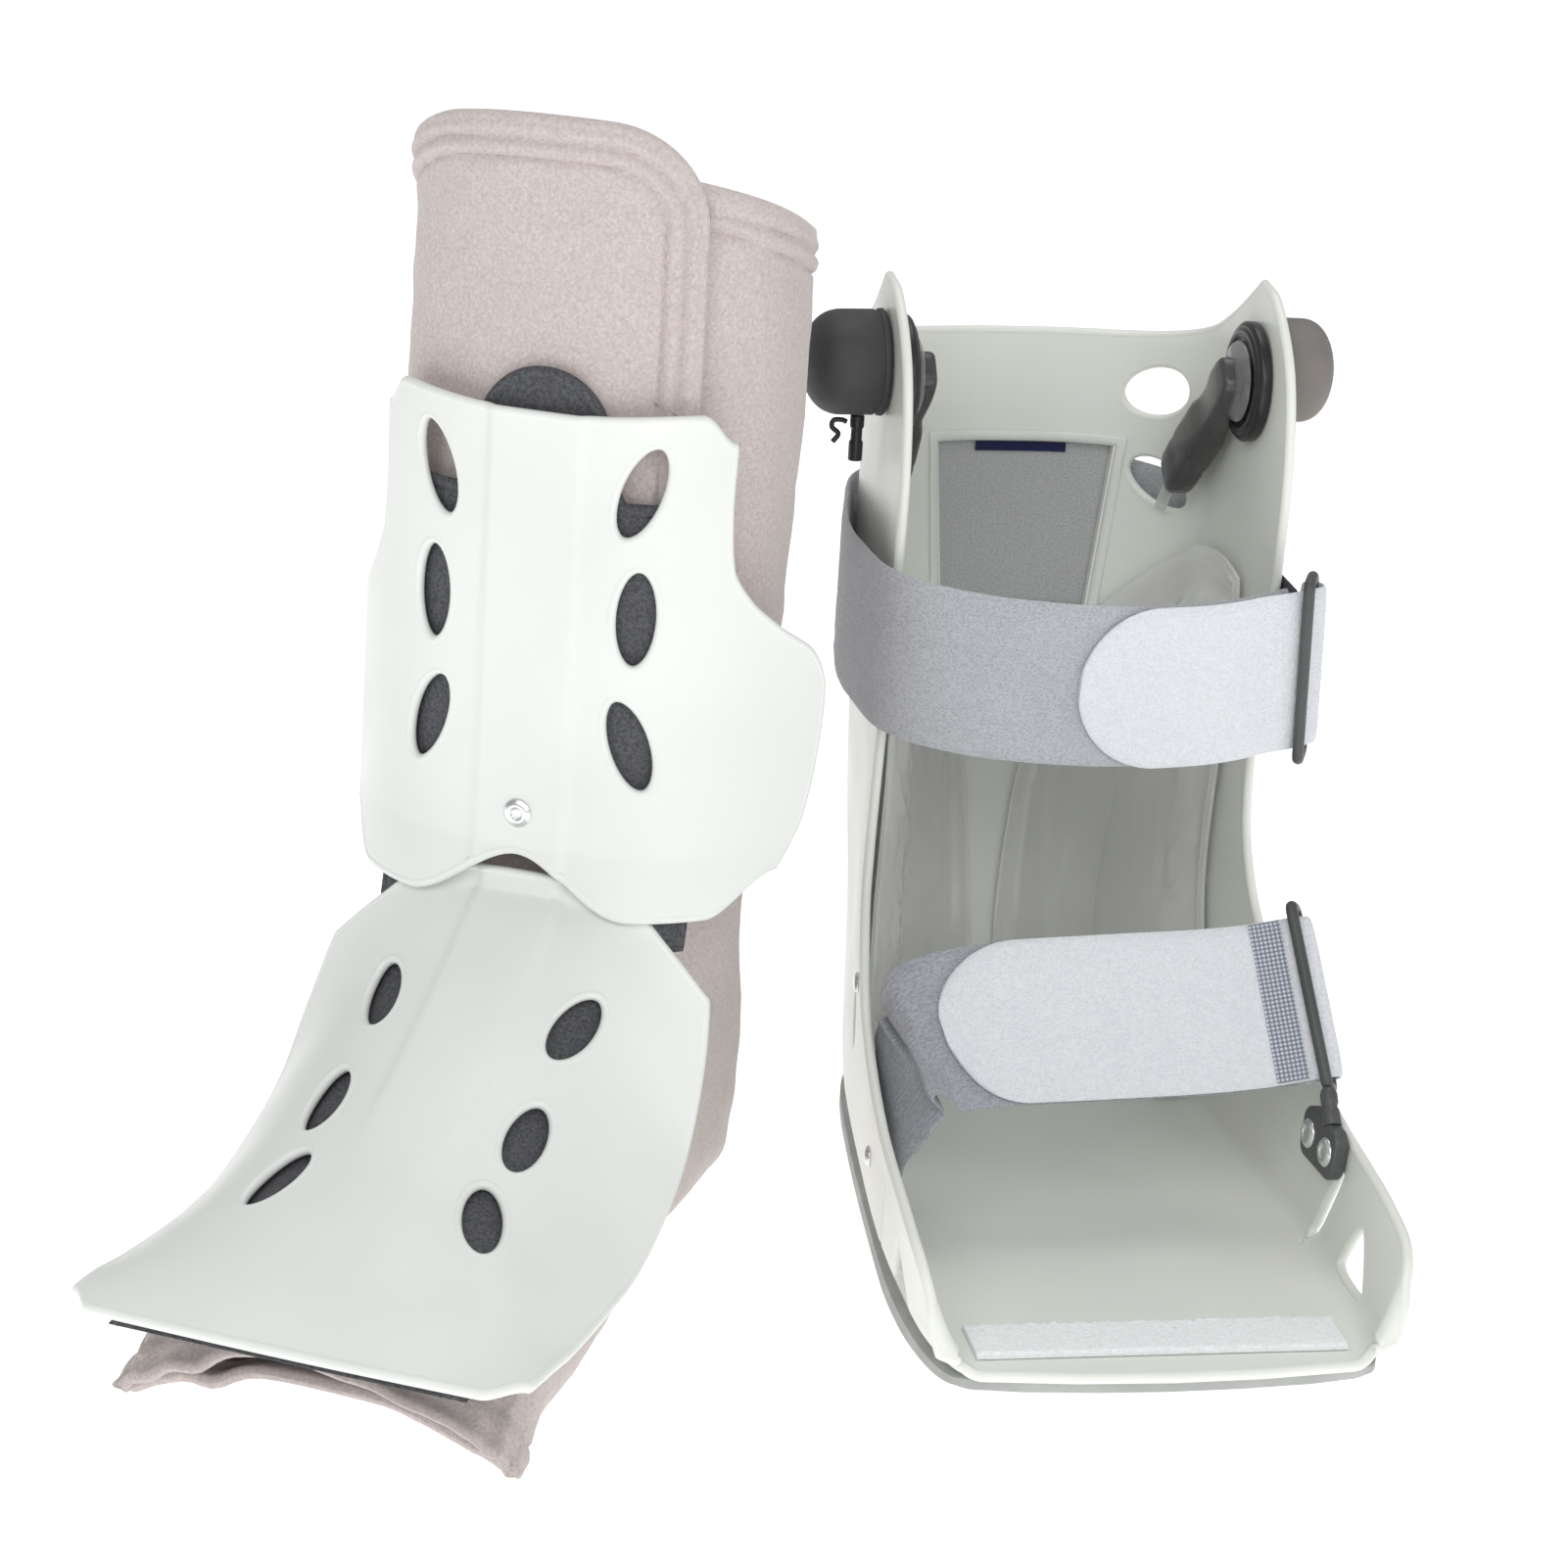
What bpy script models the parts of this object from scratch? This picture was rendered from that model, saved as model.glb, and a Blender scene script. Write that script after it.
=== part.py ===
"""A walking boot taken apart: the padded liner with its front panels, and the open rear shell beside it.

The shell's frame has +X to the viewer's right, +Y to the heel and the floor at z = 0. The liner has the same
kind of frame of its own, and stands to the left of the shell, turned about Z.
"""

import math
from collections import namedtuple

import bmesh
import bpy
from mathutils import Vector
from mathutils.bvhtree import BVHTree

# Gaps and walls shared by many pieces
GAP = 0.0003
BAND_THICKNESS = 0.002

# Rear shell
SHELL_LENGTH = 0.266
SHELL_HEIGHT = 0.280
SHELL_HALF_WIDTH = 0.0725
SHELL_WALL = 0.003
SHELL_HEEL_Y = 0.088
LEG_MIDDLE_Y = 0.025
SOLE_DEPTH = 0.009
SOLE_ROCKER = 0.0065

# Holes in the shell
WINDOW_DROP = 0.066
WINDOW_HEIGHT = 0.056
WINDOW_TOP_Z = SHELL_HEIGHT - WINDOW_DROP
WINDOW_BOTTOM_Z = WINDOW_TOP_Z - WINDOW_HEIGHT
WINDOW_TOP_HALF = 0.029
WINDOW_BOTTOM_HALF = 0.024
WINDOW_MIDDLE_X = 0.003
WINDOW_FRAME_WIDTH = 0.0035
WINDOW_FRAME_DEPTH = 0.0012
WINDOW_TAB_OVERLAP = 0.006
TAB_GAP = 0.0007
STRIPE_WIDTH = 0.030
STRIPE_DEPTH = 0.003
STRIPE_THICKNESS = 0.0006

# Pumps and valves on the ears
PUMP_Y = 0.012
PUMP_DROP = 0.025
PUMP_Z = SHELL_HEIGHT - PUMP_DROP
PUMP_RADIUS = 0.016
PUMP_REACH = {"left": 0.0250, "right": 0.0195}
PUMP_SKIRT = 0.5
STEM_RADIUS = 0.0022
STEM_LENGTH = 0.014
STEM_OFF_WALL = 0.0078
HOOK_WIRE = 0.0008
HOOK_SIZE = 0.0042
VALVE_RADIUS = 0.0185
VALVE_DEPTH = 0.0045
VALVE_RIM = 0.0012
VALVE_COVER_RADIUS = 0.0125
VALVE_COVER_DEPTH = 0.0035
VALVE_DROP = 0.029
VALVE_Z = SHELL_HEIGHT - VALVE_DROP
NOZZLE_HALF_WIDTH = 0.0075
NOZZLE_HALF_DEPTH = 0.0042
NOZZLE_END_Y = 0.057
NOZZLE_END_DROP = 0.070
NOZZLE_END_Z = SHELL_HEIGHT - NOZZLE_END_DROP
TUBE_RADIUS = 0.0021
TUBE_DROP = 0.013

# Air cells on the inside of the shell
CELL_FULLNESS = 0.011
CELL_WELD_THICKNESS = 0.0012
CELL_WELD_SHARE = 0.88
CELL_WALL_GAP = WINDOW_FRAME_DEPTH + 3.0 * GAP

# Straps
STRAP_WIDTH = 0.050
TAB_WIDTH = 0.050
RING_BAR_RADIUS = 0.0018
RING_SPREAD = 0.0045
RING_END_CLEARANCE = 0.0012
LAYER_GAP = 0.0006
FOLD_EASE = 0.018
RETURN_LEG = 0.007
UPPER_FRONT_INSET = 0.005
UPPER_FRONT_HALF = SHELL_HALF_WIDTH - UPPER_FRONT_INSET
UPPER_FRONT_DEPTH = 0.072
UPPER_WALL_CLEARANCE = 0.0036
STRAP_STEP = 0.0085
WEBBING_STATIONS = 6
WEBBING_INSET = 0.003
RING_CORNER = 0.0022
UPPER_TAB_LENGTH = 0.080
LOWER_TAB_LENGTH = 0.117
STITCH_BAND_WIDTH = 0.009
STITCH_BAND_THICKNESS = 0.0005
HOOK_TAPE_LENGTH = 0.108
HOOK_TAPE_WIDTH = 0.020
HOOK_TAPE_THICKNESS = 0.0016
HOOK_TAPE_SETBACK = 0.0065
HOOK_TAPE_FRONT_Y = SHELL_HEEL_Y - SHELL_LENGTH + HOOK_TAPE_SETBACK
RIVET_RADIUS = 0.0032
RIVET_DEPTH = 0.0014
BRACKET_LENGTH = 0.026
BRACKET_HEIGHT = 0.016
BRACKET_DEPTH = 0.0045
BRACKET_WALL_GAP = 0.0009
BRACKET_RIVET_RADIUS = 0.0045
BRACKET_RIVET_DEPTH = 0.0012
BARREL_RADIUS = 0.0024
BARREL_LENGTH = 0.008

# Liner
LINER_SPOT = (-0.1644, -0.0559)
LINER_TURN = math.radians(-29.3)
LINER_LENGTH = 0.233
LINER_HEIGHT = 0.326
LINER_HALF_WIDTH = 0.060
LINER_HEEL_Y = 0.081
LINER_WALL = 0.004
FLAP_THICKNESS = 0.004
FLAP_RISE = 0.010
FLAP_EDGE_X = 0.039
FLAP_CORNER = 0.024
FLAP_LOWER_Z = 0.150

# Front panels and the pads under them
PANEL_WALL = 0.0028
PAD_THICKNESS = 0.0032
PAD_GAP = 0.00095
TIBIA_TOP_Z = 0.257
TIBIA_BOTTOM_Z = 0.115
TIBIA_HALF_WIDTH = 0.0725
TIBIA_DROP = 0.049
TIBIA_WRAP_POWER = 3.2
TIBIA_ARCH = 0.016
TIBIA_STRAIGHT_Z = 0.132
TIBIA_FLARE = 0.24
TIBIA_RIDGE = 0.0013
RIDGE_HALF_WIDTH = 0.014
TIBIA_PAD_TOP_Z = 0.234
TIBIA_TONGUE_RADIUS = 0.021
TIBIA_TONGUE_Z = 0.270
TIBIA_PAD_HALF_WIDTH = 0.051
TIBIA_PAD_LOWER_Z = 0.104
TIBIA_PAD_MIDDLE_Z = 0.131
FOOT_PANEL_HALF = 0.066
FOOT_PANEL_DROP = 0.054
FOOT_PANEL_REACH = 0.019
FOOT_CORNER_CUT = 1.7
OVAL_HALF_WIDTH = 0.0067
TIBIA_OVAL_HALF_LENGTH = 0.0146
FOOT_OVAL_HALF_LENGTH = 0.0130
OVAL_SPREAD = 0.031
SCREW_RADIUS = 0.0042
SCREW_DEPTH = 0.0012
SCREW_Z = 0.142

# Sections of the shell from the toe to the top edge. Each runs from its base line to its rim. Lengths along y
# are shares of SHELL_LENGTH from the heel, heights are shares of the height above the sole, and widths,
# corners and the bow of the toe edge are shares of SHELL_HALF_WIDTH. ease bends the top edge up to the ears.
ShellSection = namedtuple(
    "ShellSection", "base_y base_z rim_y rim_z base_half rim_half corner_side corner_rise bow ease"
)
SHELL_SECTIONS = [
    ShellSection(0.996, 0.000, 0.985, 0.026, 0.840, 0.905, 0.100, 0.075, 0.069, 1.0),
    ShellSection(0.968, 0.000, 0.962, 0.103, 0.915, 0.985, 0.138, 0.138, 0.050, 1.0),
    ShellSection(0.887, 0.000, 0.883, 0.131, 0.952, 1.000, 0.138, 0.138, 0.014, 1.0),
    ShellSection(0.699, 0.000, 0.699, 0.159, 0.945, 0.979, 0.138, 0.138, 0.000, 1.0),
    ShellSection(0.492, 0.000, 0.523, 0.214, 0.883, 0.931, 0.138, 0.138, 0.000, 1.0),
    ShellSection(0.297, 0.000, 0.421, 0.295, 0.814, 0.883, 0.166, 0.166, 0.000, 1.0),
    ShellSection(0.162, 0.003, 0.385, 0.360, 0.752, 0.855, 0.250, 0.250, 0.000, 1.0),
    ShellSection(0.060, 0.036, 0.376, 0.421, 0.703, 0.841, 0.386, 0.372, 0.000, 1.0),
    ShellSection(0.015, 0.133, 0.380, 0.502, 0.703, 0.834, 0.524, 0.497, 0.000, 1.0),
    ShellSection(0.000, 0.299, 0.398, 0.605, 0.752, 0.834, 0.648, 0.593, 0.000, 1.0),
    ShellSection(0.000, 0.483, 0.414, 0.716, 0.786, 0.834, 0.690, 0.634, 0.000, 1.0),
    ShellSection(0.000, 0.690, 0.415, 0.834, 0.807, 0.834, 0.703, 0.648, 0.000, 1.1),
    ShellSection(0.000, 0.808, 0.387, 0.926, 0.807, 0.834, 0.703, 0.648, 0.000, 1.3),
    ShellSection(0.000, 0.871, 0.320, 0.987, 0.807, 0.834, 0.703, 0.621, 0.000, 1.6),
    ShellSection(0.000, 0.889, 0.263, 1.000, 0.807, 0.834, 0.703, 0.593, 0.000, 1.7),
]

# Sections of the outsole: place along the shell's length from the heel, half width as a share of
# SHELL_HALF_WIDTH, and the lift of its underside off the floor as a share of SOLE_ROCKER.
SoleSection = namedtuple("SoleSection", "along half lift")
SOLE_SECTIONS = [
    SoleSection(0.994, 0.720, 0.77),
    SoleSection(0.975, 0.860, 0.65),
    SoleSection(0.895, 0.925, 0.37),
    SoleSection(0.780, 0.940, 0.08),
    SoleSection(0.650, 0.915, 0.00),
    SoleSection(0.400, 0.840, 0.00),
    SoleSection(0.200, 0.750, 0.00),
    SoleSection(0.120, 0.630, 0.25),
    SoleSection(0.070, 0.480, 0.60),
    SoleSection(0.045, 0.300, 1.00),
]

# Front stretch of the upper strap in plan, from the left wall to the ring: across as a share of
# UPPER_FRONT_HALF, forward of the leg's middle as a share of UPPER_FRONT_DEPTH, and the height of its centre
# as a share of SHELL_HEIGHT.
StrapPoint = namedtuple("StrapPoint", "across forward height")
UPPER_FRONT = [
    StrapPoint(-1.000, 0.10, 0.643),
    StrapPoint(-0.995, 0.42, 0.637),
    StrapPoint(-0.900, 0.78, 0.628),
    StrapPoint(-0.540, 0.96, 0.617),
    StrapPoint(0.000, 1.00, 0.609),
    StrapPoint(0.480, 0.98, 0.612),
    StrapPoint(0.800, 0.90, 0.620),
    StrapPoint(0.965, 0.79, 0.623),
]
UPPER_BACK_HEIGHTS = (0.632, 0.662, 0.650)

# Route of the lower strap's centre line from its anchor inside the left wall to the ring. x is a share of
# SHELL_HALF_WIDTH, y a share of SHELL_LENGTH from the heel, z a share of SHELL_HEIGHT, and lean is how far the
# band's width leans back from vertical, in degrees.
LowerPoint = namedtuple("LowerPoint", "x y z lean")
LOWER_ROUTE = [
    LowerPoint(-0.900, 0.568, 0.118, 62.0),
    LowerPoint(-0.895, 0.590, 0.155, 58.0),
    LowerPoint(-0.860, 0.609, 0.200, 51.0),
    LowerPoint(-0.765, 0.616, 0.240, 44.0),
    LowerPoint(-0.550, 0.618, 0.262, 38.0),
    LowerPoint(0.000, 0.619, 0.271, 34.0),
    LowerPoint(0.460, 0.617, 0.276, 34.0),
    LowerPoint(0.770, 0.612, 0.282, 35.0),
    LowerPoint(0.905, 0.608, 0.284, 35.0),
]
LOWER_RING_LEAN = math.radians(11.0)
LOWER_WALL_CLEARANCE = 0.0015
RIM_CLEARANCE = 0.010

# Each cell's outline on the wall: rows of the shell's sections from its bottom to its top, and shares of the
# way round the section from the centre line to the rim.
CELL_BOTTOM_ROW = 5.0
CELL_TOP_ROW = 10.55
CELL_INNER_SHARE = 0.022
CELL_OUTER_LOW = 0.80
CELL_OUTER_HIGH = 0.94
CELL_CORNER = 0.34

# Sections of the liner from the toe round the heel to the top. Each runs from its base, which is the sole or
# the back, to its top, which is the instep or the front. y is a share of LINER_LENGTH from the heel, z a share
# of LINER_HEIGHT and half a share of LINER_HALF_WIDTH. taper narrows the upper side, the powers square the two
# sides, and arch lifts the middle of the sole, as a share of LINER_HALF_WIDTH.
LinerSection = namedtuple(
    "LinerSection", "base_y base_z top_y top_z half taper base_power top_power arch"
)
LINER_SECTIONS = [
    LinerSection(0.990, 0.012, 1.003, 0.118, 0.970, 0.12, 3.6, 2.7, 0.15),
    LinerSection(0.890, 0.006, 0.910, 0.143, 0.950, 0.12, 3.8, 2.5, 0.08),
    LinerSection(0.768, 0.000, 0.794, 0.176, 0.917, 0.12, 4.0, 2.4, 0.02),
    LinerSection(0.631, 0.000, 0.691, 0.212, 0.883, 0.08, 4.0, 2.4, 0.00),
    LinerSection(0.485, 0.000, 0.592, 0.255, 0.825, 0.04, 4.0, 2.4, 0.00),
    LinerSection(0.339, 0.000, 0.519, 0.290, 0.767, 0.00, 3.8, 2.4, 0.00),
    LinerSection(0.193, 0.000, 0.468, 0.318, 0.735, 0.00, 4.0, 2.4, 0.00),
    LinerSection(0.068, 0.006, 0.434, 0.338, 0.725, 0.00, 4.0, 2.3, 0.00),
    LinerSection(0.014, 0.044, 0.420, 0.352, 0.722, 0.00, 3.8, 2.3, 0.00),
    LinerSection(0.000, 0.120, 0.411, 0.370, 0.730, 0.00, 3.0, 2.3, 0.00),
    LinerSection(0.006, 0.225, 0.406, 0.404, 0.740, 0.00, 2.3, 2.3, 0.00),
    LinerSection(0.008, 0.368, 0.402, 0.475, 0.775, 0.00, 2.3, 2.3, 0.00),
    LinerSection(0.002, 0.506, 0.399, 0.577, 0.842, 0.00, 2.3, 2.3, 0.00),
    LinerSection(-0.006, 0.660, 0.395, 0.712, 0.890, 0.00, 2.3, 2.3, 0.00),
    LinerSection(-0.009, 0.790, 0.393, 0.850, 0.915, 0.00, 2.3, 2.3, 0.00),
    LinerSection(-0.009, 0.900, 0.393, 1.000, 0.912, 0.00, 2.3, 2.3, 0.00),
]

# Side edge of the tibia panel: share of the way up it, and half width as a share of TIBIA_HALF_WIDTH.
TibiaEdge = namedtuple("TibiaEdge", "up half")
TIBIA_EDGES = [
    TibiaEdge(0.00, 0.915),
    TibiaEdge(0.10, 0.965),
    TibiaEdge(0.25, 0.992),
    TibiaEdge(0.42, 1.000),
    TibiaEdge(0.50, 0.965),
    TibiaEdge(0.56, 0.885),
    TibiaEdge(0.63, 0.800),
    TibiaEdge(0.71, 0.738),
    TibiaEdge(0.85, 0.722),
    TibiaEdge(1.00, 0.727),
]

# Rows of the foot panel from the toe to the instep: place on the liner's rows, how far the side edge lies
# back and down from the centre as shares of FOOT_PANEL_DROP, and half width as a share of FOOT_PANEL_HALF.
FootRow = namedtuple("FootRow", "row back down half")
FOOT_ROWS = [
    FootRow(-1.0, 0.04, 0.01, 0.985),
    FootRow(0.0, 0.02, 0.14, 1.000),
    FootRow(1.0, -0.02, 0.33, 1.000),
    FootRow(2.0, -0.04, 0.54, 0.990),
    FootRow(3.0, -0.04, 0.72, 0.985),
    FootRow(4.0, -0.04, 0.82, 0.975),
    FootRow(5.0, -0.03, 0.82, 0.960),
    FootRow(6.0, -0.01, 0.68, 0.940),
    FootRow(7.0, 0.04, 0.48, 0.900),
    FootRow(8.1, 0.12, 0.30, 0.850),
]

# Ovals in the two panels, one row for a pair: place up the panel and outward lean of the top, in degrees
OvalPair = namedtuple("OvalPair", "place lean")
TIBIA_OVALS = [OvalPair(0.238, 20.0), OvalPair(0.202, 2.0), OvalPair(0.165, -19.0)]
FOOT_OVALS = [OvalPair(4.62, 14.0), OvalPair(2.98, 0.0), OvalPair(1.75, -21.0)]


# Back vents: turn round the leg, distance below the ears' tops, half sizes and lean in degrees
BackVent = namedtuple("BackVent", "name turn drop half_width half_height lean")
BACK_VENTS = [
    BackVent("upper_vent", math.radians(47.0), 0.0460, 0.0125, 0.0080, 14.0),
    BackVent("lower_vent", math.radians(44.0), 0.0755, 0.0125, 0.0070, -22.0),
]
# Side vents: share of SHELL_LENGTH from the heel, share of SHELL_HEIGHT, size, and outline with +a toward the
# toe in shares of the size
SideVent = namedtuple("SideVent", "name along up size outline")
SIDE_VENTS = [
    SideVent("slot_vent", 0.731, 0.098, 0.0130,
             [(0.50, 1.00), (0.20, 0.92), (-0.62, -0.72), (-0.58, -0.98), (-0.25, -0.95), (0.56, 0.72)]),
    SideVent("kite_vent", 0.836, 0.082, 0.0110,
             [(0.25, 0.70), (-0.15, 0.85), (-0.85, -0.05), (-0.95, -0.70), (0.85, -0.75), (0.95, -0.45)]),
    SideVent("heel_vent", 0.406, 0.200, 0.0120,
             [(0.0, 1.0), (-0.38, 0.6), (-0.50, 0.0), (-0.38, -0.6), (0.0, -1.0), (0.38, -0.6), (0.50, 0.0),
              (0.38, 0.6)]),
]
# Rivets on the outer left wall: share of SHELL_LENGTH from the heel and share of SHELL_HEIGHT
Rivet = namedtuple("Rivet", "along up")
RIVETS = [Rivet(0.624, 0.118), Rivet(0.444, 0.250)]
# Section of a valve nozzle, in shares of its half sizes
CHAMFERED = [(1.0, -0.55), (1.0, 0.55), (0.75, 1.0), (-0.75, 1.0), (-1.0, 0.55), (-1.0, -0.55), (-0.75, -1.0),
             (0.75, -1.0)]

# Steps round each corner and along each side of a shell section
CORNER_STEPS = 4
SIDE_STEPS = 3


def clear_scene():
    """Remove every object the file holds."""
    for thing in list(bpy.data.objects):
        bpy.data.objects.remove(thing, do_unlink=True)


def new_collection(name):
    """Collection of that name, linked to the scene."""
    group = bpy.data.collections.new(name)
    bpy.context.scene.collection.children.link(group)
    return group


def new_empty(name, spot=(0.0, 0.0, 0.0), turn=0.0, parent=None):
    """Empty that carries one half of the boot."""
    empty = bpy.data.objects.new(name, None)
    empty.location = spot
    empty.rotation_euler = (0.0, 0.0, turn)
    empty.parent = parent
    PARTS.objects.link(empty)
    return empty


def look(name, colour, roughness, metallic=0.0, alpha=1.0):
    """Principled material."""
    material = bpy.data.materials.new(name)
    material.use_nodes = True
    shader = material.node_tree.nodes["Principled BSDF"]
    shader.inputs["Base Color"].default_value = (*colour, 1.0)
    shader.inputs["Roughness"].default_value = roughness
    shader.inputs["Metallic"].default_value = metallic
    shader.inputs["Alpha"].default_value = alpha
    return material


def add_part(name, mesh, material, carrier):
    """Object of the boot, shaded smooth up to 35 degrees."""
    part = bpy.data.objects.new(name, mesh)
    mesh.materials.append(material)
    part.parent = carrier
    PARTS.objects.link(part)
    mesh.shade_smooth()
    mesh.set_sharp_from_angle(angle=math.radians(35.0))
    return part


def mesh_from(name, points, faces, outward=True):
    """Mesh with its faces turned outward, if it is closed."""
    mesh = bpy.data.meshes.new(name)
    mesh.from_pydata([tuple(p) for p in points], [], faces)
    if outward:
        shape = bmesh.new()
        shape.from_mesh(mesh)
        bmesh.ops.recalc_face_normals(shape, faces=shape.faces)
        shape.to_mesh(mesh)
        shape.free()
    return mesh


def grid_faces(rows, columns, closed=False, start=0, turned=False):
    """Quads of a grid of points, row by row."""
    faces = []
    for i in range(rows - 1):
        for j in range(columns if closed else columns - 1):
            k = (j + 1) % columns
            face = (i * columns + j, i * columns + k, (i + 1) * columns + k, (i + 1) * columns + j)
            face = tuple(start + corner for corner in face)
            faces.append(face[::-1] if turned else face)
    return faces


def slab_mesh(name, outer, inner):
    """Closed mesh between two grids of the same size."""
    rows = len(outer)
    columns = len(outer[0])
    start = rows * columns
    points = [p for row in outer for p in row] + [p for row in inner for p in row]
    faces = grid_faces(rows, columns) + grid_faces(rows, columns, start=start, turned=True)
    border = [j for j in range(columns)]
    border += [i * columns + columns - 1 for i in range(1, rows)]
    border += [(rows - 1) * columns + j for j in range(columns - 2, -1, -1)]
    border += [i * columns for i in range(rows - 2, 0, -1)]
    for here, there in zip(border, border[1:] + border[:1]):
        faces.append((there, here, start + here, start + there))
    return mesh_from(name, points, faces)


def solidified(part, wall):
    """Give an open surface its wall, inward from the faces."""
    solid = part.modifiers.new("wall", "SOLIDIFY")
    solid.thickness = wall
    solid.offset = -1.0
    solid.use_even_offset = True
    return part


def evaluated_mesh(part):
    """Mesh of a part with its modifiers applied."""
    bpy.context.view_layer.update()
    graph = bpy.context.evaluated_depsgraph_get()
    return bpy.data.meshes.new_from_object(part.evaluated_get(graph))


def tree_of_mesh(mesh):
    """Search tree over a mesh."""
    return BVHTree.FromPolygons([v.co for v in mesh.vertices], [p.vertices[:] for p in mesh.polygons])


def tree_of_grid(grid):
    """Search tree over one grid of points."""
    points = [p for row in grid for p in row]
    return BVHTree.FromPolygons(points, grid_faces(len(grid), len(grid[0])))


def rod(name, points, radius, material, carrier, cyclic=False):
    """Round bar or tube along a route."""
    curve = bpy.data.curves.new(name, "CURVE")
    curve.dimensions = "3D"
    curve.bevel_depth = radius
    curve.bevel_resolution = 2
    curve.use_fill_caps = not cyclic
    spline = curve.splines.new("POLY")
    spline.points.add(len(points) - 1)
    for knot, point in zip(spline.points, points):
        knot.co = (*point, 1.0)
    spline.use_cyclic_u = cyclic
    part = bpy.data.objects.new(name, curve)
    curve.materials.append(material)
    part.parent = carrier
    PARTS.objects.link(part)
    return part


def turned(name, profile, spot, axis, material, carrier, steps):
    """Turned piece: (radius, height) points from its top to its base, standing on spot along axis."""
    mesh = bpy.data.meshes.new(name)
    points = [(radius, 0.0, height) for radius, height in profile]
    mesh.from_pydata(points, [(i, i + 1) for i in range(len(points) - 1)], [])
    part = add_part(name, mesh, material, carrier)
    screw = part.modifiers.new("turn", "SCREW")
    screw.steps = steps
    screw.render_steps = steps
    screw.use_merge_vertices = True
    screw.merge_threshold = 0.00005
    part.location = spot
    part.rotation_euler = Vector(axis).to_track_quat("Z", "Y").to_euler()
    return part


def smooth_row(rows, place):
    """Row at a fractional place, on a smooth curve through the rows. It runs on straight past the ends."""
    last = len(rows) - 1
    i = min(max(int(math.floor(place)), 0), last - 1)
    t = place - i
    values = []
    for column in range(len(rows[0])):
        here, there = rows[i][column], rows[i + 1][column]
        before = rows[i - 1][column] if i > 0 else 2.0 * here - there
        after = rows[i + 2][column] if i + 2 <= last else 2.0 * there - here
        if t < 0.0:
            values.append(here + 0.5 * (there - before) * t)
        elif t > 1.0:
            values.append(there + 0.5 * (after - here) * (t - 1.0))
        else:
            bend = (
                (2.0 * before - 5.0 * here + 4.0 * there - after) * t
                + (3.0 * here - before - 3.0 * there + after) * t * t
            )
            values.append(here + 0.5 * t * (there - before + bend))
    return type(rows[0])(*values)


def steps(low, high, count):
    """Evenly spaced values, both ends included."""
    return [low + (high - low) * i / (count - 1) for i in range(count)]


def ease(low, high, value):
    """0 below low, 1 above high and smooth between."""
    t = min(max((value - low) / (high - low), 0.0), 1.0)
    return t * t * (3.0 - 2.0 * t)


def surface_normal(surface, a, b, step=0.01):
    """Unit normal of a surface given as a function of two values."""
    along = surface(a + step, b) - surface(a - step, b)
    across = surface(a, b + step) - surface(a, b - step)
    return across.cross(along).normalized()


# The rear shell's form

def shell_profile(row):
    """Half a section as (across, up the section) points, from the centre line to the rim."""
    base_half = row.base_half * SHELL_HALF_WIDTH
    rim_half = row.rim_half * SHELL_HALF_WIDTH
    side = row.corner_side * SHELL_HALF_WIDTH
    rise = row.corner_rise * SHELL_HALF_WIDTH
    height = (shell_line(row, rim=True) - shell_line(row, rim=False)).length
    rise = min(rise, 0.8 * height)
    points = [(share * (base_half - side), 0.0) for share in (0.0, 0.5)]
    for angle in steps(0.0, 0.5 * math.pi, CORNER_STEPS + 1):
        points.append((base_half - side + side * math.sin(angle), rise * (1.0 - math.cos(angle))))
    for share in steps(0.0, 1.0, SIDE_STEPS + 1)[1:]:
        points.append((base_half + share * (rim_half - base_half), rise + share * (height - rise)))
    return points, height


def shell_line(row, rim):
    """Point of the base line or of the rim line in the middle plane."""
    y = SHELL_HEEL_Y - SHELL_LENGTH * (row.rim_y if rim else row.base_y)
    z = SOLE_DEPTH + (SHELL_HEIGHT - SOLE_DEPTH) * max(row.rim_z if rim else row.base_z, 0.0)
    return Vector((0.0, y, z))


def shell_lift(row, across, up, height, side):
    """Point in space of a profile point, on one side (-1 or 1)."""
    base = shell_line(row, rim=False)
    rim = shell_line(row, rim=True)
    share = up / height
    y = base.y + (rim.y - base.y) * share
    z = base.z + (rim.z - base.z) * share ** row.ease
    bow = row.bow * SHELL_HALF_WIDTH * (1.0 - (across / (row.base_half * SHELL_HALF_WIDTH)) ** 2)
    return Vector((side * across, y - max(bow, 0.0), z))


def shell_point(place, share):
    """Point on the shell's outer face: fractional row, and signed share of the way from centre to rim."""
    row = smooth_row(SHELL_SECTIONS, place)
    profile, height = shell_profile(row)
    lengths = [math.dist(a, b) for a, b in zip(profile, profile[1:])]
    distance = min(abs(share), 1.0) * sum(lengths)
    for (here, there), length in zip(zip(profile, profile[1:]), lengths):
        if distance <= length:
            break
        distance -= length
    part = min(distance / length, 1.0)
    across = here[0] + (there[0] - here[0]) * part
    up = here[1] + (there[1] - here[1]) * part
    return shell_lift(row, across, up, height, -1.0 if share < 0.0 else 1.0)


def shell_grid():
    """Outer face of the shell, a row of points for each section."""
    grid = []
    for place in steps(0.0, len(SHELL_SECTIONS) - 1.0, 20):
        row = smooth_row(SHELL_SECTIONS, place)
        profile, height = shell_profile(row)
        left = [shell_lift(row, across, up, height, -1.0) for across, up in profile[:0:-1]]
        right = [shell_lift(row, across, up, height, 1.0) for across, up in profile]
        grid.append(left + right)
    return grid


def wall_hit(origin, direction):
    """First point and normal where a ray meets the uncut shell."""
    point, normal, _, _ = SHELL_TREE.ray_cast(Vector(origin), Vector(direction))
    return point, normal


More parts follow.
